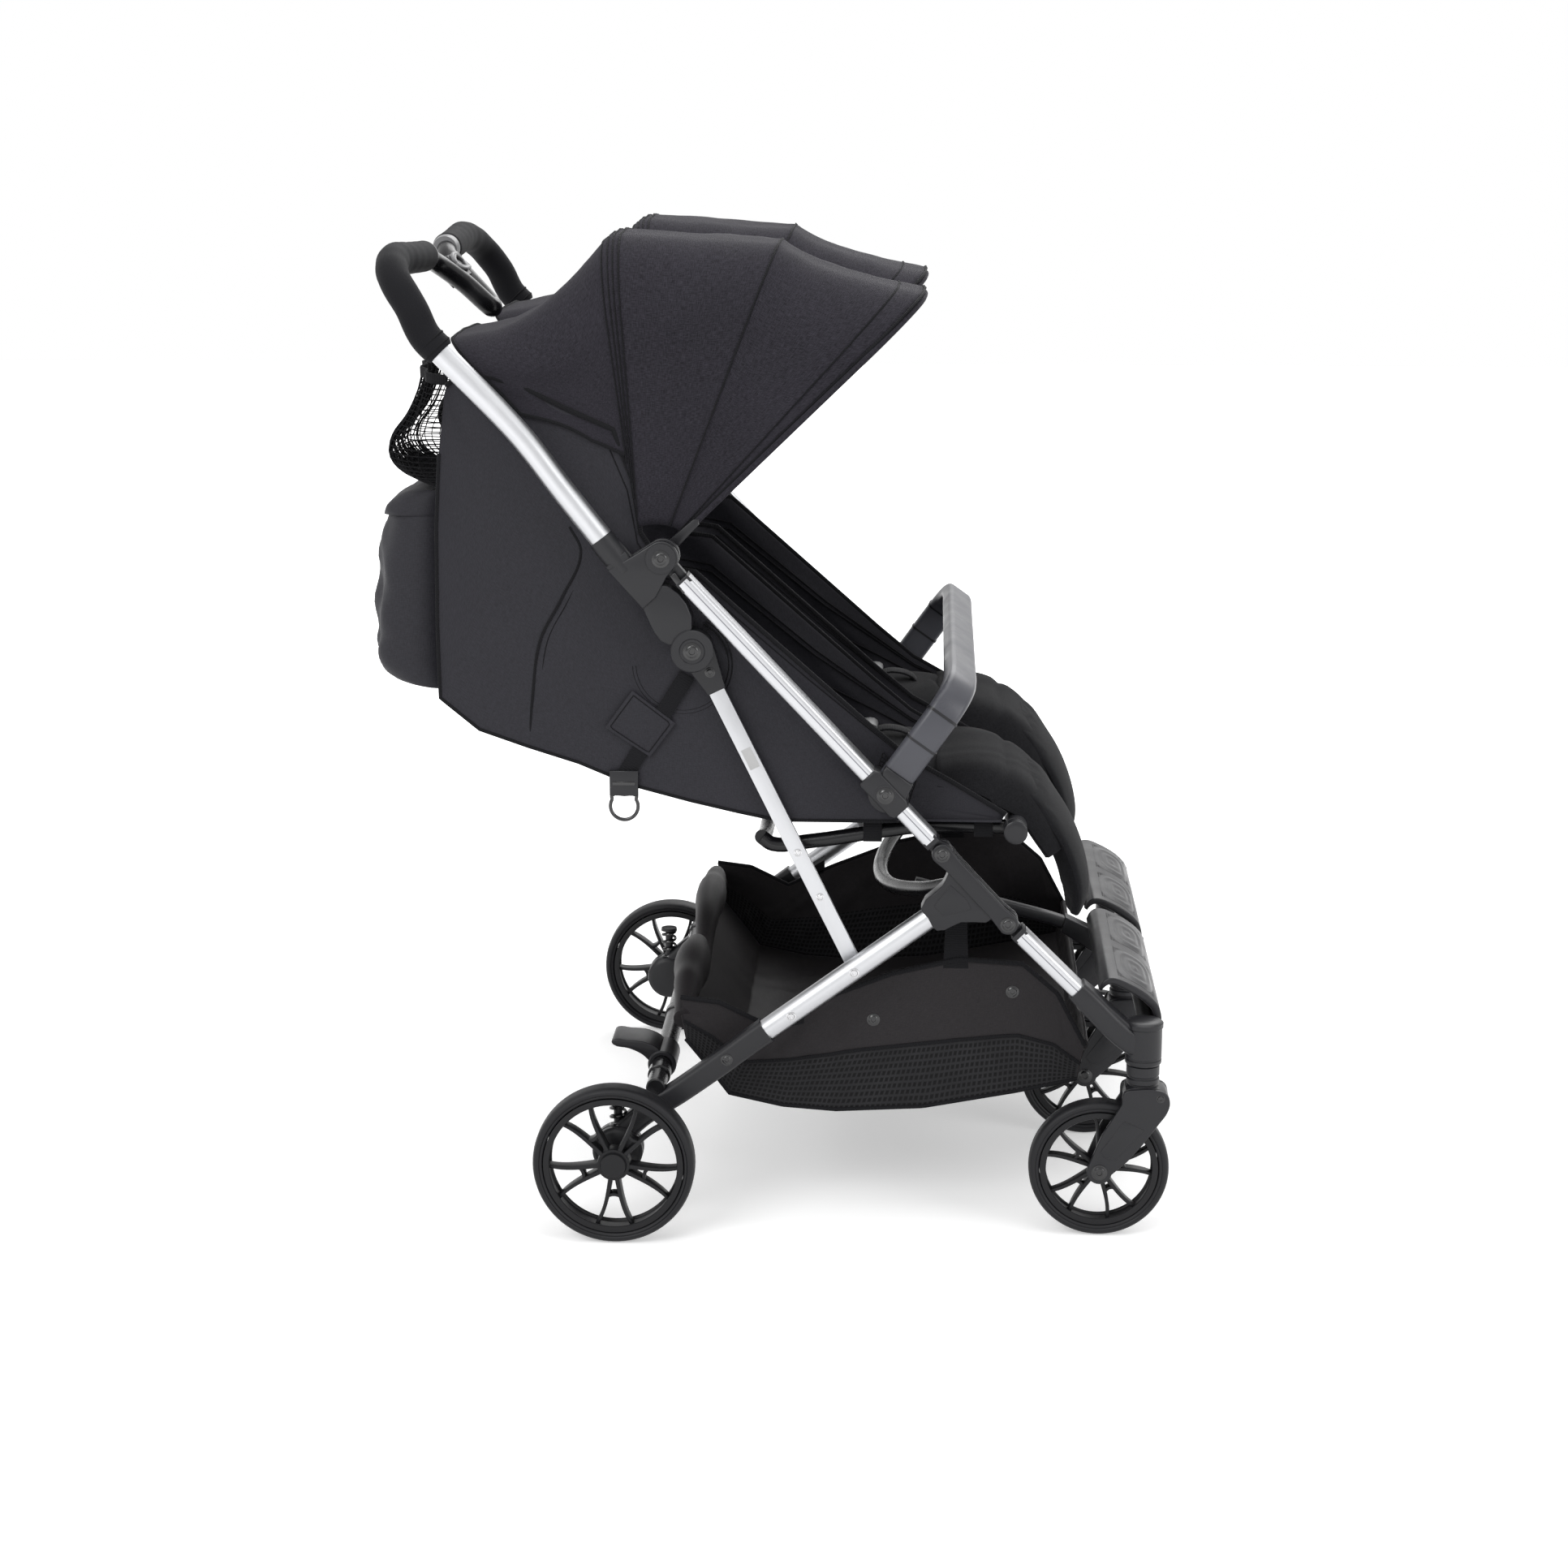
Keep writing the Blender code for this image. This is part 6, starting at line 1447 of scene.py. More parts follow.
@dataclass
class Canopy:
    """One seat's canopy: a continuous sheet over three bows, its hems, its zip and its front bow with the clip."""

    side: Side
    half: float = 0.118
    corner: float = 0.075
    side_hem: float = 0.026
    front: float = 44.0
    rear: float = 134.0
    bows: tuple[float, float] = (70.0, 99.0)
    rows: tuple[tuple[float, float, float, float], ...] = (
        (38.5, 38.5, 0.0033, 0.376), (44.0, 44.0, 0.0033, 0.356), (49.5, 49.5, 0.0036, 0.335),
        (57.5, 57.2, 0.004, 0.318), (64.0, 63.4, 0.004, 0.313), (70.0, 69.0, 0.004, 0.316),
        (78.0, 76.2, 0.007, 0.307), (85.7, 83.0, 0.012, 0.303), (92.0, 88.6, 0.018, 0.305),
        (99.0, 95.4, 0.026, 0.311), (104.0, 101.5, 0.024, 0.29), (108.0, 106.0, 0.0215, 0.278),
        (115.0, 114.5, 0.016, 0.266), (123.4, 124.5, 0.009, 0.27), (130.0, 132.0, 0.004, 0.286),
        (135.0, 136.5, 0.002, 0.3),
    )

    def build(self) -> None:
        """Builds the sheet, its trims and the bow."""
        word = self.side.value
        start, end = self.spot(self.bows[1], 0.3), self.spot(self.front, 0.35)
        sheet = self.cloth()
        trims = self.trims()
        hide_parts(f"canopy_{word}")
        for piece in (sheet, trims):
            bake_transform(piece)
        self.bow()
        LOG.info("canopy %s, %d faces", word, len(sheet.data.polygons))

    def spot(self, angle: float, reach: float) -> tuple[float, float, float]:
        """A point over the seat's middle."""
        turn = math.radians(angle)
        at = place(PIVOT_A[0] + reach * math.cos(turn), PIVOT_A[1] + reach * math.sin(turn), self.side.seat)
        return tuple(float(v) for v in at)

    def fan(self, angle: np.ndarray) -> tuple[np.ndarray, np.ndarray, np.ndarray]:
        """A row's own direction, how far it lies aside of the hinge, and its reach, which sags between the bows.

        Each is interpolated in the table and averaged over four degrees; each bow lifts a 2 mm ridge,
        exp(-(d / 1.3)^2) of it at d degrees from its middle.
        """
        table = np.asarray(self.rows)
        near = [
            np.stack([np.interp(angle + d, table[:, 0], table[:, i]) for i in (1, 2, 3)])
            for d in (-2.0, -0.7, 0.7, 2.0)
        ]
        turn, aside, reach = np.mean(near, axis=0)
        peak = sum(np.exp(-(((angle - bow) / 1.3) ** 2)) for bow in self.bows)
        return np.radians(turn), aside, reach + 0.002 * peak

    def low(self, angle: np.ndarray) -> np.ndarray:
        """Where the side cloth starts: near the hinge in front, higher behind the rear bow where its hem runs up."""
        return np.interp(
            angle, (self.front, 97, 101, 108, 116.6, self.rear),
            (self.side_hem, self.side_hem, 0.1, 0.112, 0.13, 0.196)
        )

    def points(self, angle: np.ndarray, share: np.ndarray, swell: float = 0.0) -> np.ndarray:
        """Points of the sheet: up one side from the hinge, round the corner, across, and down the other side.

        Args:
            angle: rows, degrees.
            share: columns, 0 to 1 along the section; 0.3 and 0.7 end the straight sides' corners.
            swell: how far outside the sheet.
        """
        angle, share = np.meshgrid(angle, share, indexing="ij")
        turned, aside, reach = self.fan(angle)
        reach, low = reach + swell, self.low(angle)
        hand = np.where(share < 0.5, -1.0, 1.0)
        s = 0.5 - np.abs(share - 0.5)
        side = np.clip(s / 0.26, 0, 1)
        turn = np.clip((s - 0.26) / 0.12, 0, 1) * math.pi / 2
        across = np.clip((s - 0.38) / 0.12, 0, 1)
        corner = np.interp(angle, (self.bows[1], self.rear), (self.corner, 0.042))
        r = low + (reach - corner - low) * side + corner * np.sin(turn) + 0.0022 * across
        y = (self.half + swell - corner + corner * np.cos(turn)) * (1 - across)
        panel = np.abs(np.mod((angle - 41.5) / 29.0, 1.0) - 0.5) * 2
        draw = (1 - panel**2) * np.sin(side * math.pi) * 0.0045
        crease = waves(angle / 40, share * 1.4, 11 + self.side.sign, 7, 1.0, 9.0)
        y = hand * (y - draw - 0.0012 * crease * np.sin(side * math.pi)) + self.side.seat
        r = r + 0.0012 * crease * (turn > 0) * np.cos(across * math.pi / 2)
        x = PIVOT_A[0] + r * np.cos(turned) - aside * np.sin(turned)
        z = PIVOT_A[1] + r * np.sin(turned) + aside * np.cos(turned)
        return place(x, z, y)

    def cloth(self) -> bpy.types.Object:
        """The sheet, with more rows near the bows and 1.6 mm of thickness inwards."""
        base = np.linspace(self.front, self.rear, 88)
        near = np.concatenate([bow + np.linspace(-3, 3, 15) for bow in self.bows])
        angle = np.unique(np.round(np.concatenate([base, near]), 2))
        share = np.concatenate([
            np.linspace(0, 0.26, 26), np.linspace(0.26, 0.38, 15)[1:], np.linspace(0.38, 0.5, 9)[1:]
        ])
        share = np.concatenate([share, 1 - share[-2::-1]])
        shell = Shell()
        shell.grid(self.points(angle, share))
        piece = shell.build(f"canopy_{self.side.value}_cloth", [CANOPY_CLOTH], angle=70)
        return thicken(piece, 0.0016, -1)

    def trims(self) -> bpy.types.Object:
        """Bound hems round the sheet, the seams over the bows and the zip's teeth behind the rear bow."""
        share = np.linspace(0, 1, 121)
        shell = Shell()
        for angle, swell, wide in (
            (44.1, 0.0003, 0.003), (133.8, 0.0003, 0.0034), (70.0, 0.0006, 0.0016), (97.6, 0.0006, 0.0014),
            (100.6, 0.0004, 0.0014), (47.6, 0.0003, 0.001)
        ):
            line = self.points(np.array([angle]), share, swell)[0]
            shell.sweep(line, rounded(wide, 0.0022, 0.0007, 3), (0.8, 0.05, 0.6))
        for angle in (98.6, 99.5):
            line = self.points(np.array([angle]), share, 0.0003)[0]
            shell.sweep(line, oval(0.0016, 0.0016, 6), (0.8, 0.05, 0.6), 1 + 0.25 * np.cos(np.arange(121) * math.pi))
        angle = np.linspace(101, 133.8, 40)
        for column in (0.001, 0.999):
            line = self.points(angle, np.array([column]))[:, 0]
            shell.sweep(line, rounded(0.003, 0.0034, 0.001, 3), (0, 1, 0))
        return shell.build(f"canopy_{self.side.value}_trims", [BINDING])

    def bow(self) -> None:
        """The front bow's rod in its sleeve of cloth, with the clip on the outer hinge and its arm."""
        word, hand = self.side.value, self.side.sign
        middle = self.side.seat
        turn = math.radians(self.front)
        corner = np.radians(np.linspace(0, 90, 12))
        r = np.concatenate([[0.03, 0.1, 0.18], 0.352 - self.corner + self.corner * np.sin(corner), [0.3535, 0.354]])
        y = np.concatenate([[self.half] * 3, self.half - self.corner + self.corner * np.cos(corner), [0.02, 0.0]])
        r, y = np.concatenate([r, r[-2::-1]]), np.concatenate([-y, y[-2::-1]])
        path = place(PIVOT_A[0] + r * math.cos(turn), PIVOT_A[1] + r * math.sin(turn), middle + y)
        shell = Shell()
        shell.sweep(even(path, 90), oval(0.0062, 0.0062, 14), (0.7, 0, -0.72))
        near, far = middle + hand * 0.115, hand * 0.2826
        clip = [
            (near, 0.01), (near, 0.0122), (far - hand * 0.0016, 0.0125), (far, 0.011), (far, 0.007),
            (far - hand * 0.0008, 0.0066)
        ]
        shell.turned(clip, place(*PIVOT_A, 0), count=36, slot=1)
        along = np.array([math.cos(turn), math.sin(turn)])
        arm = stepped(PIVOT_A, along, ((0, -0.0062), (0.044, -0.0038), (0.048, 0), (0.044, 0.0038), (0, 0.0062)))
        shell.plate(arm, middle + hand * 0.1155, middle + hand * 0.1222, 0.001, slot=1)
        fit(
            shell.build(f"canopy_bow_{word}_rod", [CANOPY_CLOTH, BLACK_PLASTIC]), f"canopy_bow_{word}",
            f"canopy_bow_{word}"
        )


@dataclass
class Tub:
    """One seat's cloth tub: sides and back in one sheet, with its flap, seams, pouch and net pocket."""

    side: Side
    half: float = 0.123
    pocket: float = 0.103
    pairs: tuple[tuple[float, float, float, float], ...] = (
        (-0.415, 0.86, -0.415, 0.86), (-0.402, 0.872, -0.424, 0.794), (-0.37, 0.868, -0.4285, 0.72),
        (-0.335, 0.856, -0.43, 0.62), (-0.298, 0.838, -0.429, 0.548), (-0.252, 0.818, -0.39, 0.516),
        (-0.234, 0.77, -0.341, 0.499), (-0.226, 0.716, -0.29, 0.483), (-0.203, 0.681, -0.235, 0.46),
        (-0.172, 0.677, -0.178, 0.445), (-0.115, 0.6266, -0.13, 0.434), (-0.057, 0.5754, -0.09, 0.4258),
        (0.0, 0.525, 0.0, 0.4258), (0.042, 0.49, 0.05, 0.4258), (0.085, 0.466, 0.085, 0.4258),
        (0.14, 0.433, 0.136, 0.4258),
    )

    def build(self) -> None:
        """Builds the tub with its pockets."""
        word = self.side.value
        sheet = self.cloth()
        trims = [self.seams(), self.vent(), self.pouch()] + self.net()
        fit(sheet, "front_frame", f"seat_shell_{word}")
        for piece in trims:
            fit(piece, "front_frame")

    def edge(self, t: np.ndarray, low: bool) -> tuple[np.ndarray, np.ndarray]:
        """The side's top or bottom edge at shares t of its length."""
        rows = np.asarray(self.pairs)
        marks = np.linspace(0, 1, len(rows))
        first = 2 if low else 0
        return np.interp(t, marks, rows[:, first]), np.interp(t, marks, rows[:, first + 1])

    def wall(self, t: np.ndarray, s: np.ndarray, hand: int, lift: float = 0.0) -> np.ndarray:
        """Points of one side wall: between its edges, hollowed by up to 5 mm between them, with soft creases.

        The hollow is 0.005 sin(pi s) sin(pi t), away from the frame; lift moves points out for seams.
        """
        top_x, top_z = self.edge(t, False)
        low_x, low_z = self.edge(t, True)
        x, z = top_x + (low_x - top_x) * s, top_z + (low_z - top_z) * s
        rise = np.sin(np.clip(s, 0, 1) * math.pi) ** 0.7 * np.sin(np.clip(t, 0, 1) * math.pi) ** 0.5
        broad = waves(t * 1.1, s * 0.8, 5, 7, 1.2, 7.0)
        slanted = waves(t * 2.2 - s * 0.6, s * 0.5, 9, 5, 1.0, 4.0)
        crease = broad * 0.0016 + slanted * 0.0012
        outer = hand == self.side.sign
        tuck = 0.0075 * np.clip((z - 0.745 - 1.02 * (-0.29 - x)) / 0.035, 0, 1)
        y = self.half + lift - tuck - rise * (0.002 + np.maximum(0, crease) * 1.2 + (0.0 if outer else 0.0015))
        return place(x, z, self.side.seat + hand * y)

    def cloth(self) -> bpy.types.Object:
        """Both walls and the sheet that joins them down the back and along the bottom, welded into one."""
        t, s = np.linspace(0, 1, 121), np.linspace(0, 1, 40)
        grid_t, grid_s = np.meshgrid(t, s, indexing="ij")
        shell = Shell()
        for hand in (-1, 1):
            shell.grid(self.wall(grid_t, grid_s, hand))
        x, z = self.edge(t, True)
        across = np.linspace(-1, 1, 37)
        rows = place(x[:, None], z[:, None], self.side.seat + across[None, :] * self.half)
        bow = (1 - across**2)[None, :] * np.sin(np.clip(t / 0.27, 0, 1) * math.pi)[:, None]
        fold = waves(t[:, None] * 2, across[None, :] * 0.6, 21, 6, 1.5, 8.0) * (1 - across**4)[None, :]
        rows[..., 0] -= bow * 0.0045 + 0.0015 * fold * (t[:, None] < 0.27)
        rows[..., 2] += 0.0012 * fold * (t[:, None] > 0.3) * (t[:, None] < 0.95)
        shell.grid(rows)
        return thicken(shell.build(f"seat_shell_{self.side.value}_cloth", [SHELL_CLOTH], angle=60), 0.0016, -1)

    def line(self, points: Sequence[Spot], hand: int, lift: float) -> np.ndarray:
        """A side-view line laid on the outer face."""
        flat = curve(np.asarray(points, float), 8)
        return spots([tuple(p) for p in flat], self.side.seat + hand * (self.half + lift))

    def seams(self) -> bpy.types.Object:
        """Bindings along the edges, the rear flap's welt, and the double ring of stitches by the strap."""
        shell = Shell()
        t = np.linspace(0, 1, 121)
        for hand in (-1, 1):
            top = self.wall(t, np.zeros(121), hand)
            bottom = self.wall(t, np.ones(121), hand)
            shell.sweep(top, rounded(0.004, 0.005, 0.0015, 3))
            shell.sweep(bottom[8:], rounded(0.0034, 0.0034, 0.0012, 3))
            under = self.wall(t[:118], np.full(118, 0.045), hand, 0.0)
            shell.sweep(under, rounded(0.0012, 0.0014, 0.0004, 2))
            for level in (0.13, 0.165, 0.33):
                inner = self.wall(t[64:116], np.full(52, level), hand, -0.003)
                shell.sweep(inner, rounded(0.0016, 0.0016, 0.0005, 2))
            flap = [(-0.296, 0.722), (-0.285, 0.698), (-0.305, 0.65), (-0.327, 0.608), (-0.336, 0.55), (-0.34, 0.502)]
            shell.sweep(self.line(flap, hand, -0.0024), rounded(0.003, 0.003, 0.001, 3))
            offset = [(x + 0.0075, z) for x, z in flap]
            shell.sweep(self.line(offset, hand, -0.003), rounded(0.002, 0.001, 0.0003, 2))
            for radius in (0.05, 0.0465):
                ring = arc((-0.185, 0.584), radius, -178, 62, 40)
                shell.sweep(self.line(ring, hand, -0.003), rounded(0.0024, 0.0012, 0.0004, 2))
        return shell.build(f"seat_shell_{self.side.value}_seams", [BINDING])

    def vent(self) -> bpy.types.Object:
        """The net window inside the outer wall's front: a lattice of strands over the cloth."""
        hand = self.side.sign
        plane = hand * (SEAT_MID + self.half - 0.0034)
        corner = np.array((0.016, 0.496))
        along, down = way((0.0, 0.525), (0.042, 0.49)), np.array((-0.3, -0.954))
        shell = Shell()
        wide, deep = along * 0.044, down * 0.03
        for share in np.linspace(0, 1, 8):
            for shift, strand in ((wide, deep), (deep, wide)):
                start = corner + shift * share
                shell.sweep(even(spots([start, start + strand], plane), 6), oval(0.0016, 0.0014, 8))
        return shell.build(f"seat_shell_{self.side.value}_vent", [BINDING])

    def pouch(self) -> bpy.types.Object:
        """The rear pouch: a lofted bag whose front hangs out from the wall, with a flap over its mouth."""
        rows = curve(np.array([
            (-0.426, 0.746), (-0.448, 0.75), (-0.48, 0.738), (-0.492, 0.718), (-0.499, 0.67), (-0.505, 0.61),
            (-0.504, 0.576), (-0.49, 0.56), (-0.46, 0.553), (-0.429, 0.557)
        ]), 7)
        across = np.linspace(-1, 1, 61)
        reach = (1 - np.abs(across) ** 5) ** 0.45
        wall = -0.4275
        v = np.linspace(0, 1, len(rows))
        depth = (rows[:, 0] - wall)[:, None] * reach[None, :]
        drop = (0.006 * np.sin(v * math.pi) ** 2)[:, None] * (1 - across**2)[None, :]
        fold = waves(v[:, None] * 1.2, across[None, :] * 0.7, 31, 8, 1.4, 9.0)
        fold = fold * np.sin(v * math.pi)[:, None] * reach[None, :]
        x = wall + depth - 0.0046 * fold
        z = rows[:, 1][:, None] - drop + 0 * x
        y = self.side.seat + across[None, :] * self.pocket * (0.9 + 0.1 * v[:, None])
        shell = Shell()
        shell.grid(place(x, z, y))
        flap = slice(0, 20)
        shell.grid(place(x[flap] - 0.0042 * reach, z[flap] + 0.003, y[flap]))
        piece = shell.build(f"seat_pouch_{self.side.value}", [SHELL_CLOTH], angle=70)
        return thicken(piece, 0.0014, -1)

    def net(self) -> list[bpy.types.Object]:
        """The net pocket: real strands over a hanging grid, a close net below, and a bound mouth that stands open."""
        rows = curve(np.array([
            (-0.448, 0.87), (-0.452, 0.856), (-0.466, 0.826), (-0.483, 0.803), (-0.486, 0.788), (-0.474, 0.772),
            (-0.442, 0.759), (-0.425, 0.758)
        ]), 4)
        rows = even(rows, 27)
        across = np.linspace(-1, 1, 45)
        reach = (1 - np.abs(across) ** 5) ** 0.5
        wall = -0.417
        v = np.linspace(0, 1, len(rows))
        pleat = 0.003 * np.sin(across * 26)[None, :] * (1 - v)[:, None] ** 0.7 * reach
        x = wall + (rows[:, 0] - wall)[:, None] * reach[None, :] - pleat
        z = rows[:, 1][:, None] - 0.01 * (across**2)[None, :] * (1 - v)[:, None] + 0 * x
        points = place(x, z, self.side.seat + across[None, :] * self.pocket)
        made = []
        for part, name, thick in ((points[:16], "open", 0.0015), (points[15:], "close", 0.0022)):
            shell = Shell()
            shell.grid(part)
            piece = shell.build(f"net_{name}_{self.side.value}", [CORD_BLACK], angle=80)
            strand = piece.modifiers.new("strands", "WIREFRAME")
            strand.thickness = thick
            strand.use_even_offset = False
            strand.use_replace = True
            made.append(piece)
        mouth = Shell()
        mouth.sweep(points[0] + [0, 0, 0.004], rounded(0.0026, 0.011, 0.0012, 3), (1, 0, 0))
        made.append(mouth.build(f"net_mouth_{self.side.value}", [BINDING]))
        return made


def cushion(
    rows: Sequence[Sequence[float]], middle: float, half: float, finish: Finish, name: str, crown: float = 0.006
) -> bpy.types.Object:
    """A closed cushion from rows of (x, z, thickness, way in degrees), crowned on its upper side.

    A ring's height is (1 - u4) thickness / 2 + crown (1 - u2) + 2 mm, u being the share of the half width.
    """
    table = np.asarray(rows, float)
    share = np.linspace(0, 1, len(table))
    fine = np.stack([np.interp(np.linspace(0, 1, 70), share, table[:, i]) for i in range(4)], -1)
    fine[:, :2] = even(curve(table[:, :2], 12), 70)
    u = np.concatenate([np.linspace(-1, 1, 33), np.linspace(1, -1, 33)[1:-1]])
    upper = np.concatenate([np.ones(33), -np.ones(31)])
    turn = np.radians(fine[:, 3])[:, None]
    swell = (1 - u**4)[None, :] * fine[:, 2:3] / 2 + (0.002 + np.where(upper > 0, crown * (1 - u**2), 0))[None, :]
    x = fine[:, :1] + np.cos(turn) * upper * swell
    z = fine[:, 1:2] + np.sin(turn) * upper * swell
    y = middle + half * u[None, :] + 0 * x
    shell = Shell()
    shell.grid(place(x, z, y), ring=True, caps=True)
    return shell.build(name, [finish], angle=80)


@dataclass
class Seat:
    """Pad, back, leg rest, apron and harness of one seat."""

    side: Side
    axis: Spot = (-0.09, 0.415)
    back_angle: float = 158.5

    def build(self) -> None:
        """Builds the seat's padding."""
        self.pad()
        self.back()
        self.leg_rest()
        self.apron()
        self.harness()

    @property
    def middle(self) -> float:
        """The seat's middle plane."""
        return self.side.seat

    @property
    def back_way(self) -> np.ndarray:
        """The side-view direction up the back."""
        turn = math.radians(self.back_angle)
        return np.array([math.cos(turn), math.sin(turn)])

    def pad(self) -> None:
        """The seat pad, filled, with the seam near its front edge."""
        rows = []
        for share in np.linspace(0, 1, 9):
            thick = 0.034 * (1 - 0.55 * (2 * share - 1) ** 6)
            rows.append((
                -0.078 + 0.192 * share, 0.43 + thick / 2 + 0.0026 + 0.006 * math.sin(math.pi * share), thick, 90
            ))
        piece = cushion(rows, self.middle, 0.112, SEAT_CLOTH, f"seat_pad_{self.side.value}_filled")
        piece = puffed(piece, 0.006)
        pressed(piece, 0.078, 0.005, 0.0045)
        fit(piece, "front_frame", f"seat_pad_{self.side.value}")

    def back(self) -> None:
        """The back panel, filled, thinner towards its top and bottom."""
        rows = []
        for share in np.linspace(1, 0, 9):
            x, z = step(self.axis, self.back_way, 0.018 + 0.3 * share, -BACK_FRONT)
            rows.append((x, z, 0.012 * (1 - 0.6 * (2 * share - 1) ** 6), self.back_angle - 90))
        piece = cushion(rows, self.middle, 0.1128, SEAT_CLOTH, f"seat_back_{self.side.value}_filled", 0.004)
        piece = puffed(piece, 0.005)
        fit(piece, f"seat_back_{self.side.value}", f"seat_back_{self.side.value}")

    def leg_rest(self) -> None:
        """The calf rest: a curved pad with its tube and the two brackets under it."""
        table = [
            (0.156, 0.448, 0.01, 52), (0.168, 0.437, 0.014, 36), (0.18, 0.418, 0.014, 30), (0.198, 0.39, 0.014, 28),
            (0.21, 0.36, 0.014, 20), (0.214, 0.336, 0.014, 4), (0.209, 0.318, 0.01, -18)
        ]
        word = self.side.value
        piece = cushion(table, self.middle, 0.091, SEAT_CLOTH, f"leg_rest_{word}_filled", 0.004)
        piece = puffed(piece, 0.005)
        fit(piece, f"leg_rest_{word}", f"leg_rest_{word}")
        shell = Shell()
        inner, outer = self.middle - self.side.sign * 0.082, self.side.sign * 0.2441
        shell.turned([(inner, 0.008), (inner, 0.01), (outer, 0.01), (outer, 0.008)], place(0.15, 0.418, 0), count=28)
        for share in (-0.7, 0.7):
            bracket = curve(np.array([
                (0.144, 0.41), (0.156, 0.407), (0.186, 0.406), (0.18, 0.42), (0.156, 0.428), (0.144, 0.426)
            ]), 3)
            shell.plate(bracket, self.middle + 0.091 * share - 0.006, self.middle + 0.091 * share + 0.006, 0.001)
        fit(shell.build(f"leg_rest_{word}_hinge", [BLACK_PLASTIC]), f"leg_rest_{word}")

    def apron(self) -> None:
        """The cloth that carries the seat pad's front edge over onto the leg rest."""
        run = np.linspace(0, 1, 34)
        path = even(curve(np.array([
            (0.07, 0.48), (0.1, 0.481), (0.125, 0.478), (0.148, 0.469), (0.168, 0.454), (0.184, 0.434),
            (0.196, 0.412), (0.205, 0.393)
        ]), 8), 34)
        across = np.sin(np.linspace(-1, 1, 61) * math.pi / 2)
        width = np.interp(run, (0, 0.5, 1), (0.115, 0.11, 0.099))
        drop = (np.abs(across) ** 7)[None, :] * np.interp(run, (0, 0.5, 1), (0.02, 0.033, 0.022))[:, None]
        drop = drop + 0.003 * np.exp(-(((run - 0.42) / 0.03) ** 2))[:, None]
        crease = waves(run[:, None], across[None, :], 41 + self.side.sign, 5, 0.8, 3.0) * 0.0011
        slope = np.gradient(path, axis=0)
        slope /= np.linalg.norm(slope, axis=1)[:, None]
        x = path[:, :1] + slope[:, 1:] * (drop - crease)
        z = path[:, 1:] - slope[:, :1] * (drop - crease)
        shell = Shell()
        shell.grid(place(x, z, self.middle + width[:, None] * across[None, :]))
        piece = thicken(shell.build(f"seat_apron_{self.side.value}", [SEAT_CLOTH], outward=True, angle=80), 0.007, -1)
        tuple(place(0.1150, 0.4740, self.middle))
        tuple(place(0.1780, 0.4370, self.middle))
        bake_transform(piece)

    def harness(self) -> None:
        """Shoulder straps with pads on the back, the crotch strap and its buckle on the seat."""
        shell = Shell()
        for hand in (-1, 1):
            spine = [
                step(self.axis, self.back_way, d, -BACK_FRONT - lift)
                for d, lift in ((0.06, 0.017), (0.12, 0.019), (0.2, 0.019), (0.27, 0.017))
            ]
            y = self.middle + hand * np.array([0.052, 0.046, 0.04, 0.036])
            shell.sweep(curve(spots(spine, y), 8), rounded(0.024, 0.0022, 0.0009, 3), (0, 1, 0))
            pad = [step(self.axis, self.back_way, d, -BACK_FRONT - 0.021) for d in (0.13, 0.17, 0.215, 0.25)]
            shell.sweep(
                curve(spots(pad, self.middle + hand * np.array([0.045, 0.0425, 0.0392, 0.037])), 8),
                rounded(0.044, 0.008, 0.0035, 5), (0, 1, 0), slot=2
            )
        piece = shell.build(f"harness_{self.side.value}_shoulder", [WEBBING, BLACK_PLASTIC, SEAT_CLOTH])
        fit(piece, f"seat_back_{self.side.value}")
        seat = Shell()
        crotch = curve(spots([(0.05, 0.479), (0.042, 0.49), (0.02, 0.496), (0.004, 0.493)], self.middle), 6)
        seat.sweep(crotch, rounded(0.025, 0.0024, 0.0009, 3))
        buckle = curve(np.array([
            (0.006, 0.488), (0.008, 0.5), (-0.01, 0.502), (-0.03, 0.499), (-0.034, 0.49), (-0.014, 0.486)
        ]), 4)
        seat.plate(buckle, self.middle - 0.019, self.middle + 0.019, 0.003, slot=1)
        fit(seat.build(f"harness_{self.side.value}_buckle", [WEBBING, BLACK_PLASTIC]), "front_frame")


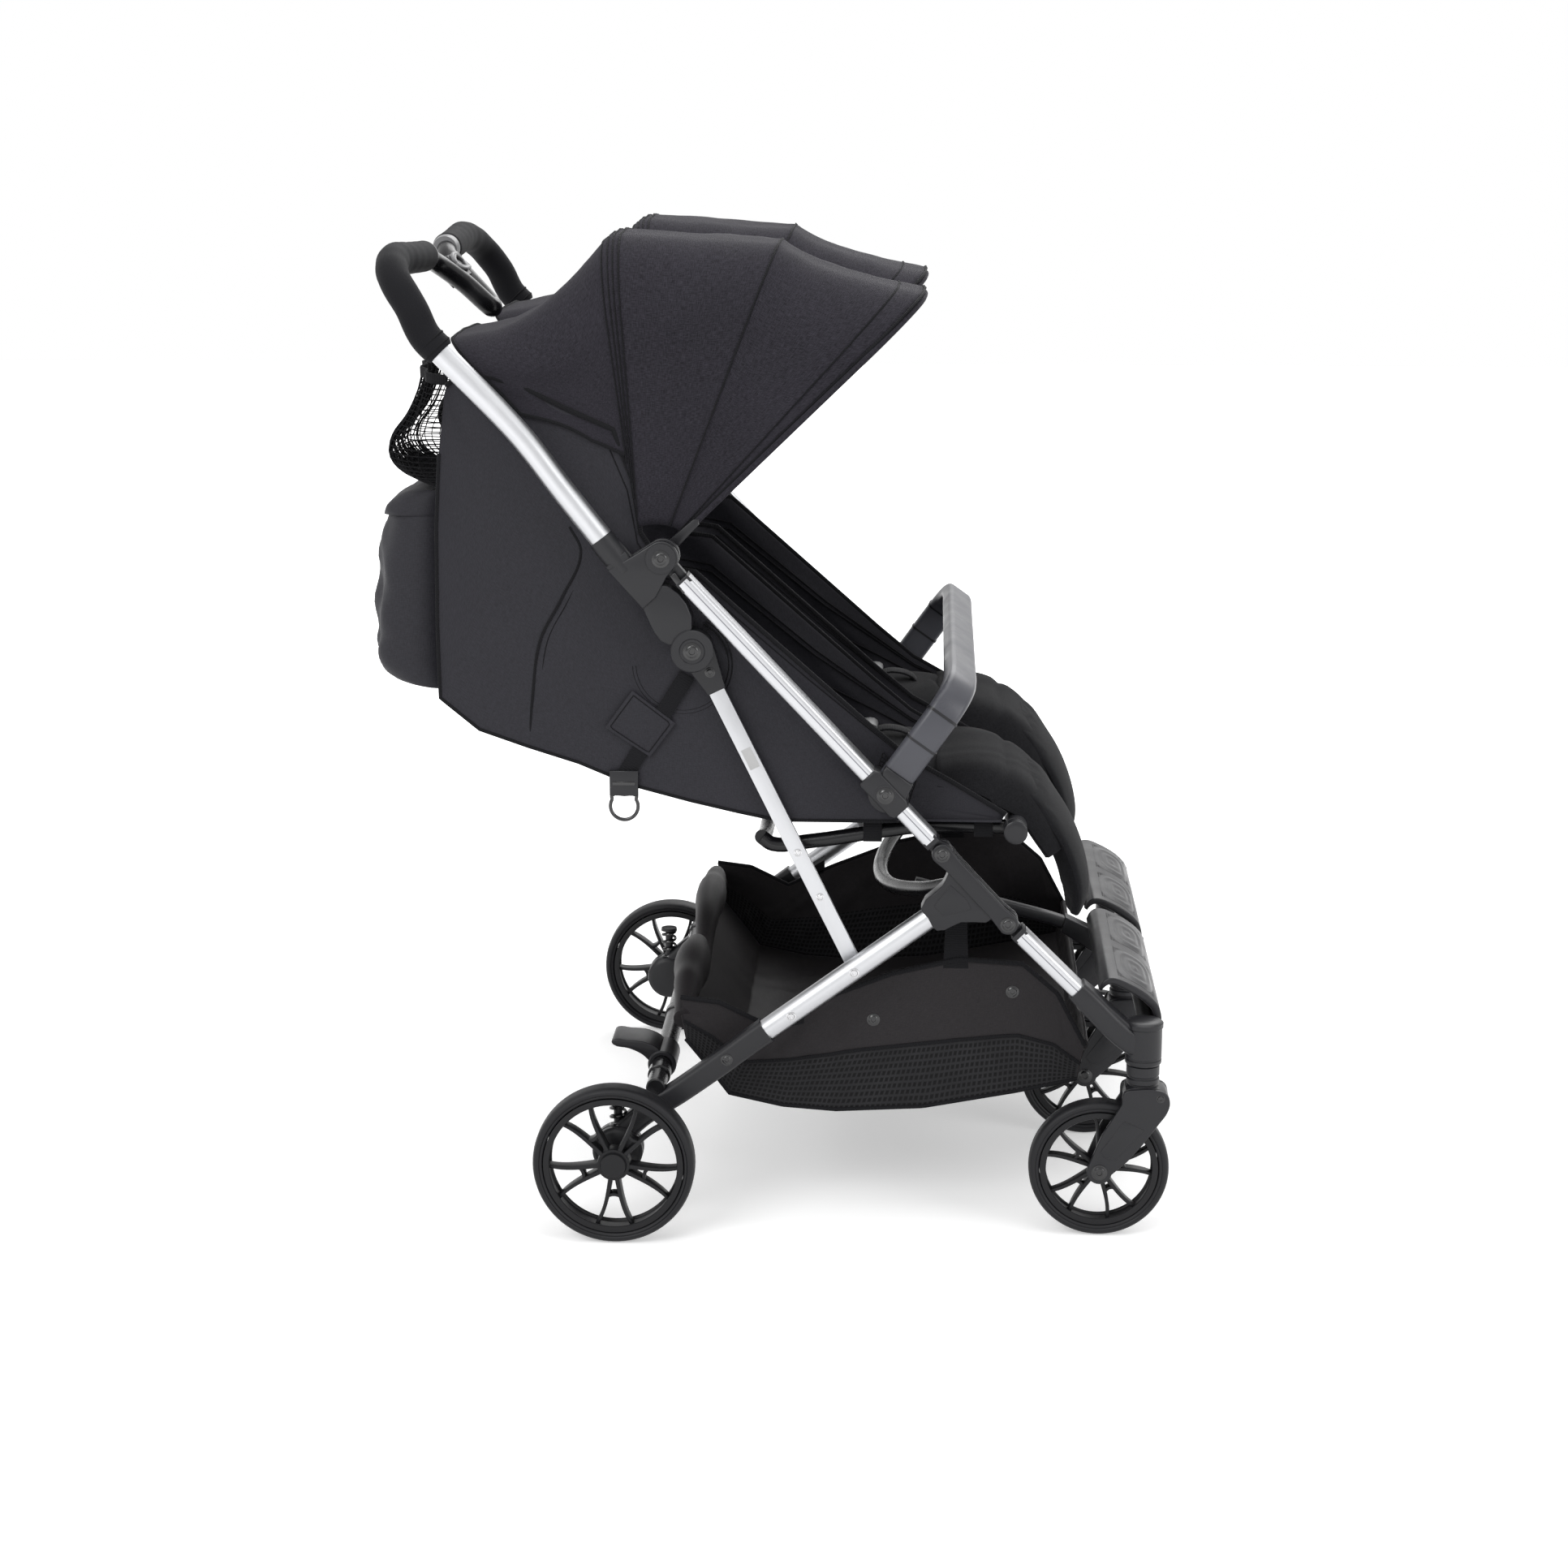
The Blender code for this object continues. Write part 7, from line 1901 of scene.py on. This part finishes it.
@dataclass
class Strap:
    """The recline strap on a tub's outer side with its stitched patch, slide buckle and D-ring."""

    side: Side
    top: Spot = (-0.18, 0.574)
    low: Spot = (-0.244, 0.47)

    def build(self) -> None:
        """Builds the strap in place of its CAD node."""
        hand = self.side.sign
        plane = hand * (SEAT_MID + 0.1233)
        along = way(self.low, self.top)
        shell = Shell()
        length = math.dist(self.low, self.top)
        band = [step(self.low, along, d) for d in np.linspace(-0.004, length, 14)]
        shell.sweep(spots(band, plane + hand * 0.0009), rounded(0.0014, 0.017, 0.0005, 3))
        patch = [(-0.235, 0.558), (-0.192, 0.525), (-0.218, 0.49), (-0.263, 0.52)]
        shell.plate(patch, plane + hand * 0.0008, plane + hand * 0.0026, 0.0007, slot=3)
        middle = np.mean(patch, axis=0)
        hem = [tuple(middle + (np.array(p) - middle) * 0.86) for p in patch]
        shell.sweep(even(spots(hem + hem[:1], plane + hand * 0.0027), 40), rounded(0.0009, 0.0011, 0.0003, 2), slot=4)
        outline = [(-0.259, 0.45), (-0.23, 0.45), (-0.23, 0.476), (-0.259, 0.476)]
        shell.plate(outline, plane + hand * 0.0004, plane + hand * 0.0052, 0.0012, slot=1)
        shell.plate(
            [(-0.256, 0.461), (-0.233, 0.461), (-0.233, 0.465), (-0.256, 0.465)], plane + hand * 0.0048,
            plane + hand * 0.006, 0.0004, slot=2
        )
        ring = arc((-0.2445, 0.439), 0.014, 150, 390, 26)
        loop = curve(np.array(ring + [(-0.232, 0.45), (-0.2445, 0.451), (-0.257, 0.45)] + ring[:1]), 3)
        shell.sweep(spots([tuple(p) for p in loop], plane + hand * 0.0024), oval(0.0034, 0.0038, 10), slot=2)
        finishes = [WEBBING, BLACK_PLASTIC, BOLT_BLACK, SHELL_CLOTH, BINDING]
        name = f"recline_strap_{self.side.value}"
        fit(shell.build(f"{name}_webbing", finishes), "front_frame", name)


@dataclass
class Basket:
    """The basket: a sagging cloth tray, net sides under cloth bands, a padded rear rim, snaps and hangers."""

    half: float = 0.268
    top: tuple[Spot, ...] = (
        (-0.19, 0.235), (-0.15, 0.23), (-0.105, 0.208), (-0.05, 0.233), (0.028, 0.264), (0.094, 0.28),
        (0.16, 0.276), (0.196, 0.245), (0.225, 0.19)
    )
    low: tuple[Spot, ...] = (
        (-0.185, 0.19), (-0.164, 0.164), (-0.14, 0.132), (-0.085, 0.12), (-0.03, 0.116), (0.06, 0.121),
        (0.154, 0.139), (0.19, 0.147), (0.218, 0.154)
    )
    net_from: float = 0.56

    def build(self) -> None:
        """Builds the tray with its bands and trims."""
        tray = self.tray()
        trims = self.trims()
        tuple(place(0, 0.1200, 0))
        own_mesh(tray)
        tuple(place(0, 0.1200, 0))
        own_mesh(trims)
        fit(tray, "rear_frame", "basket")
        fit(trims, "rear_frame")

    def wall(self, t: np.ndarray, s: np.ndarray, hand: float, lift: float = 0.0) -> np.ndarray:
        """Points of a side wall, from the top edge at s = 0 to the bottom edge at s = 1, bellied out a little."""
        marks = np.linspace(0, 1, len(self.top))
        top, low = np.asarray(self.top), np.asarray(self.low)
        share = np.clip(s, 0, 1)
        x = np.interp(t, marks, top[:, 0]) * (1 - share) + np.interp(t, marks, low[:, 0]) * share
        z = np.interp(t, marks, top[:, 1]) * (1 - share) + np.interp(t, marks, low[:, 1]) * share
        ends = np.sin(np.clip(t, 0, 1) * math.pi) ** 0.6
        crease = waves(t * 2.0, s * 0.5, 51, 7, 1.5, 10.0)
        belly = ends * np.sin(share * math.pi) * (0.0025 * np.minimum(crease, 0) - 0.001)
        return place(x, z, hand * (self.half + lift + belly))

    def rim_dip(self, across: np.ndarray) -> np.ndarray:
        """How far the rear rim sinks: in the middle and at its corners, so that it stands up in two lobes."""
        return 0.034 * np.exp(-((across / 0.17) ** 2)) + 0.02 * np.clip((np.abs(across) - 0.8) / 0.2, 0, 1) ** 1.5

    def tray(self) -> bpy.types.Object:
        """Both walls, the bottom between them and the two ends as one sheet; the walls' lower half is net."""
        t = np.linspace(0, 1, 141)
        shell = Shell()
        for hand in (-1, 1):
            for low, high, slot in ((0.0, self.net_from, 0), (self.net_from, 1.0, 1)):
                grid_t, grid_s = np.meshgrid(t, np.linspace(low, high, 18), indexing="ij")
                shell.grid(self.wall(grid_t, grid_s, hand), slot=slot)
        across = np.linspace(-1, 1, 61)
        edge = self.wall(t, np.ones(141), 1.0)
        sag = (1 - across**2)[None, :] * np.sin(t * math.pi)[:, None]
        fold = waves(t[:, None] * 1.5, across[None, :] * 1.5, 61, 7, 1.5, 9.0) * (1 - across**6)[None, :]
        x = edge[:, :1] - ORIGIN_X + 0 * across[None, :]
        z = edge[:, 2:] - 0.01 * sag + 0.002 * fold * np.sin(t * math.pi)[:, None]
        shell.grid(place(x, z, across[None, :] * self.half))
        s = np.linspace(0, 1, 24)
        bulge = np.sin(s * math.pi)[:, None] * (1 - across**8)[None, :]
        for end in (0.0, 1.0):
            rim = self.wall(np.full(24, end), s, 1.0)
            sink = self.rim_dip(across) if end == 0 else 0.003 * (1 - across**4)
            dip = (1 - s)[:, None] * sink[None, :]
            pleat = 0.005 * waves(s[:, None] * 0.5, across[None, :] * 3, 71, 6, 2.0, 9.0) * bulge
            x = rim[:, :1] - ORIGIN_X + pleat * (1 if end == 0 else 0.3)
            shell.grid(place(x, rim[:, 2:] - dip, across[None, :] * self.half))
        return thicken(shell.build("basket_tray", [BASKET_CLOTH, BASKET_NET], angle=60), 0.0018, -1)

    def trims(self) -> bpy.types.Object:
        """Top bindings, the seam over the net, the padded rear rim, the snaps, tabs and hangers."""
        shell = Shell()
        t = np.linspace(0, 1, 141)
        for hand in (-1, 1):
            shell.sweep(self.wall(t, np.zeros(141), hand), rounded(0.004, 0.005, 0.0016, 3))
            shell.sweep(self.wall(t, np.full(141, self.net_from), hand, 0.0006), rounded(0.0016, 0.0034, 0.0006, 3))
            shell.sweep(self.wall(t, np.ones(141), hand), rounded(0.004, 0.004, 0.0015, 3))
            for share, rise in ((0.5, 0.34), (0.735, 0.22)):
                spot = self.wall(np.array([share]), np.array([rise]), hand)[0]
                flat = (float(spot[0] - ORIGIN_X), float(spot[2]))
                bolt(shell, flat, hand * (self.half - 0.001), hand, 0.0068, 1, 0.0018)
            tab = [(-0.085, 0.226), (-0.085, 0.21), (-0.062, 0.215), (-0.062, 0.24)]
            shell.plate(tab, hand * 0.266, hand * 0.2892, 0.001, slot=2)
            hanger = [(0.079, 0.27), (0.105, 0.27), (0.1015, 0.347), (0.0825, 0.347)]
            shell.plate(hanger, hand * 0.2652, hand * 0.2682, 0.0008, slot=2)
        across = np.linspace(-1, 1, 121)
        for (x, z), size in (((-0.188, 0.23), 0.021), ((0.225, 0.19), 0.009)):
            dip = self.rim_dip(across) * (x < 0)
            lobe = 0.85 * np.exp(-(((np.abs(across) - 0.52) / 0.3) ** 2)) * (x < 0)
            lump = 0.85 + lobe + 0.12 * waves(across * 1.4, 0 * across, 81, 6, 1.5, 7.0)
            shell.sweep(
                place(x, z - dip, across * (self.half - 0.004)), oval(size, size * 1.35, 24), (1, 0, 0), lump,
                slot=3
            )
        return shell.build("basket_trims", [BINDING, BOLT_BLACK, WEBBING, BASKET_CLOTH], angle=60)


# Studio
@dataclass
class Studio:
    """A pale floor, soft lights and the photograph's camera, with a white background for what looks past the floor."""

    eye: tuple[float, float, float] = (0.1587, -3.1787, 1.1595)
    forward: tuple[float, float, float] = (-0.0487, 0.9712, -0.2329)
    lens: float = 68.23
    floor_half: float = 9.0
    lights: tuple[tuple[str, tuple[float, float, float], float, float], ...] = (
        ("key", (-1.7, -2.8, 2.6), 1.8, 62.0),
        ("fill", (2.8, -2.0, 1.6), 1.8, 34.0),
        ("back", (0.6, 2.4, 2.6), 2.4, 44.0),
        ("top", (0.1, -0.1, 3.0), 2.6, 36.0),
    )

    def build(self) -> None:
        """Sets the world, floor, lights and camera."""
        self.world()
        self.floor()
        for name, spot, size, power in self.lights:
            self.light(name, spot, size, power)
        self.camera()
        scene = bpy.context.scene
        scene.view_settings.view_transform = "Standard"

    def seen(self, tree: bpy.types.NodeTree) -> Socket:
        """1 for rays from the camera, from mirrors and through glass; 0 for the light that falls on the stroller."""
        path = tree.nodes.new("ShaderNodeLightPath")
        total = path.outputs["Is Camera Ray"]
        for name in ("Is Glossy Ray", "Is Transmission Ray"):
            node = tree.nodes.new("ShaderNodeMath")
            node.operation = "MAXIMUM"
            tree.links.new(total, node.inputs[0])
            tree.links.new(path.outputs[name], node.inputs[1])
            total = node.outputs[0]
        return total

    def world(self) -> None:
        """White where it is seen, softer grey as light."""
        world = bpy.data.worlds.new("studio_world")
        bpy.context.scene.world = world
        world.use_nodes = True
        tree = world.node_tree
        tree.nodes.clear()
        mix = tree.nodes.new("ShaderNodeMixShader")
        tree.links.new(self.seen(tree), mix.inputs[0])
        for slot, strength in ((1, 0.62), (2, 1.0)):
            back = tree.nodes.new("ShaderNodeBackground")
            back.inputs["Color"].default_value = (1, 1, 1, 1)
            back.inputs["Strength"].default_value = strength
            tree.links.new(back.outputs[0], mix.inputs[slot])
        output = tree.nodes.new("ShaderNodeOutputWorld")
        tree.links.new(mix.outputs[0], output.inputs["Surface"])

    def floor(self) -> None:
        """A pale floor that keeps the contact shadow."""
        mesh = bpy.data.meshes.new("studio_floor")
        half = self.floor_half
        mesh.from_pydata([(-half, -half, 0), (half, -half, 0), (half, half, 0), (-half, half, 0)], [], [(0, 1, 2, 3)])
        floor = bpy.data.objects.new("studio_floor", mesh)
        floor.location.z = -0.0004
        bpy.context.scene.collection.objects.link(floor)
        material = bpy.data.materials.new("studio_floor_paper")
        material.use_nodes = True
        tree = material.node_tree
        shader = tree.nodes["Principled BSDF"]
        shader.inputs["Base Color"].default_value = (0.8, 0.8, 0.8, 1)
        shader.inputs["Roughness"].default_value = 0.9
        shader.inputs["Specular IOR Level"].default_value = 0.1
        nodes = Nodes(material)
        spot = nodes.add("ShaderNodeVectorMath", operation="LENGTH")
        nodes.join(nodes.place(), spot.inputs[0])
        level = nodes.span(spot.outputs["Value"], 0.4, 1.1, 0.9, 2.6)
        glow = nodes.math("MULTIPLY", self.seen(tree), level)
        shader.inputs["Emission Color"].default_value = (1, 1, 1, 1)
        nodes.join(glow, shader.inputs["Emission Strength"])
        mesh.materials.append(material)

    def light(self, name: str, spot: tuple[float, float, float], size: float, power: float) -> None:
        """One square soft light aimed at the middle of the stroller."""
        data = bpy.data.lights.new(f"studio_{name}", "AREA")
        data.size, data.energy = size, power
        lamp = bpy.data.objects.new(f"studio_{name}", data)
        lamp.location = spot
        lamp.rotation_euler = (Vector((0, 0, 0.5)) - Vector(spot)).to_track_quat("-Z", "Y").to_euler()
        bpy.context.scene.collection.objects.link(lamp)

    def camera(self) -> None:
        """The photograph's view."""
        data = bpy.data.cameras.new("photo_camera")
        data.lens, data.sensor_width, data.sensor_fit = self.lens, 36.0, "HORIZONTAL"
        eye = bpy.data.objects.new("photo_camera", data)
        eye.location = self.eye
        eye.rotation_euler = Vector(self.forward).to_track_quat("-Z", "Y").to_euler()
        bpy.context.scene.collection.objects.link(eye)
        bpy.context.scene.camera = eye


def main() -> None:
    """Builds the stroller's sub-assemblies in order, then the studio."""
    logging.basicConfig(level=logging.INFO, format="%(message)s")
    RearFrame().build()
    FrontEnd().build()
    Handle().build()
    FrontFrame().build()
    for side in Side:
        Canopy(side).build()
        Tub(side).build()
        Seat(side).build()
        Strap(side).build()
    Basket().build()
    Studio().build()


if __name__ == "__main__":
    main()
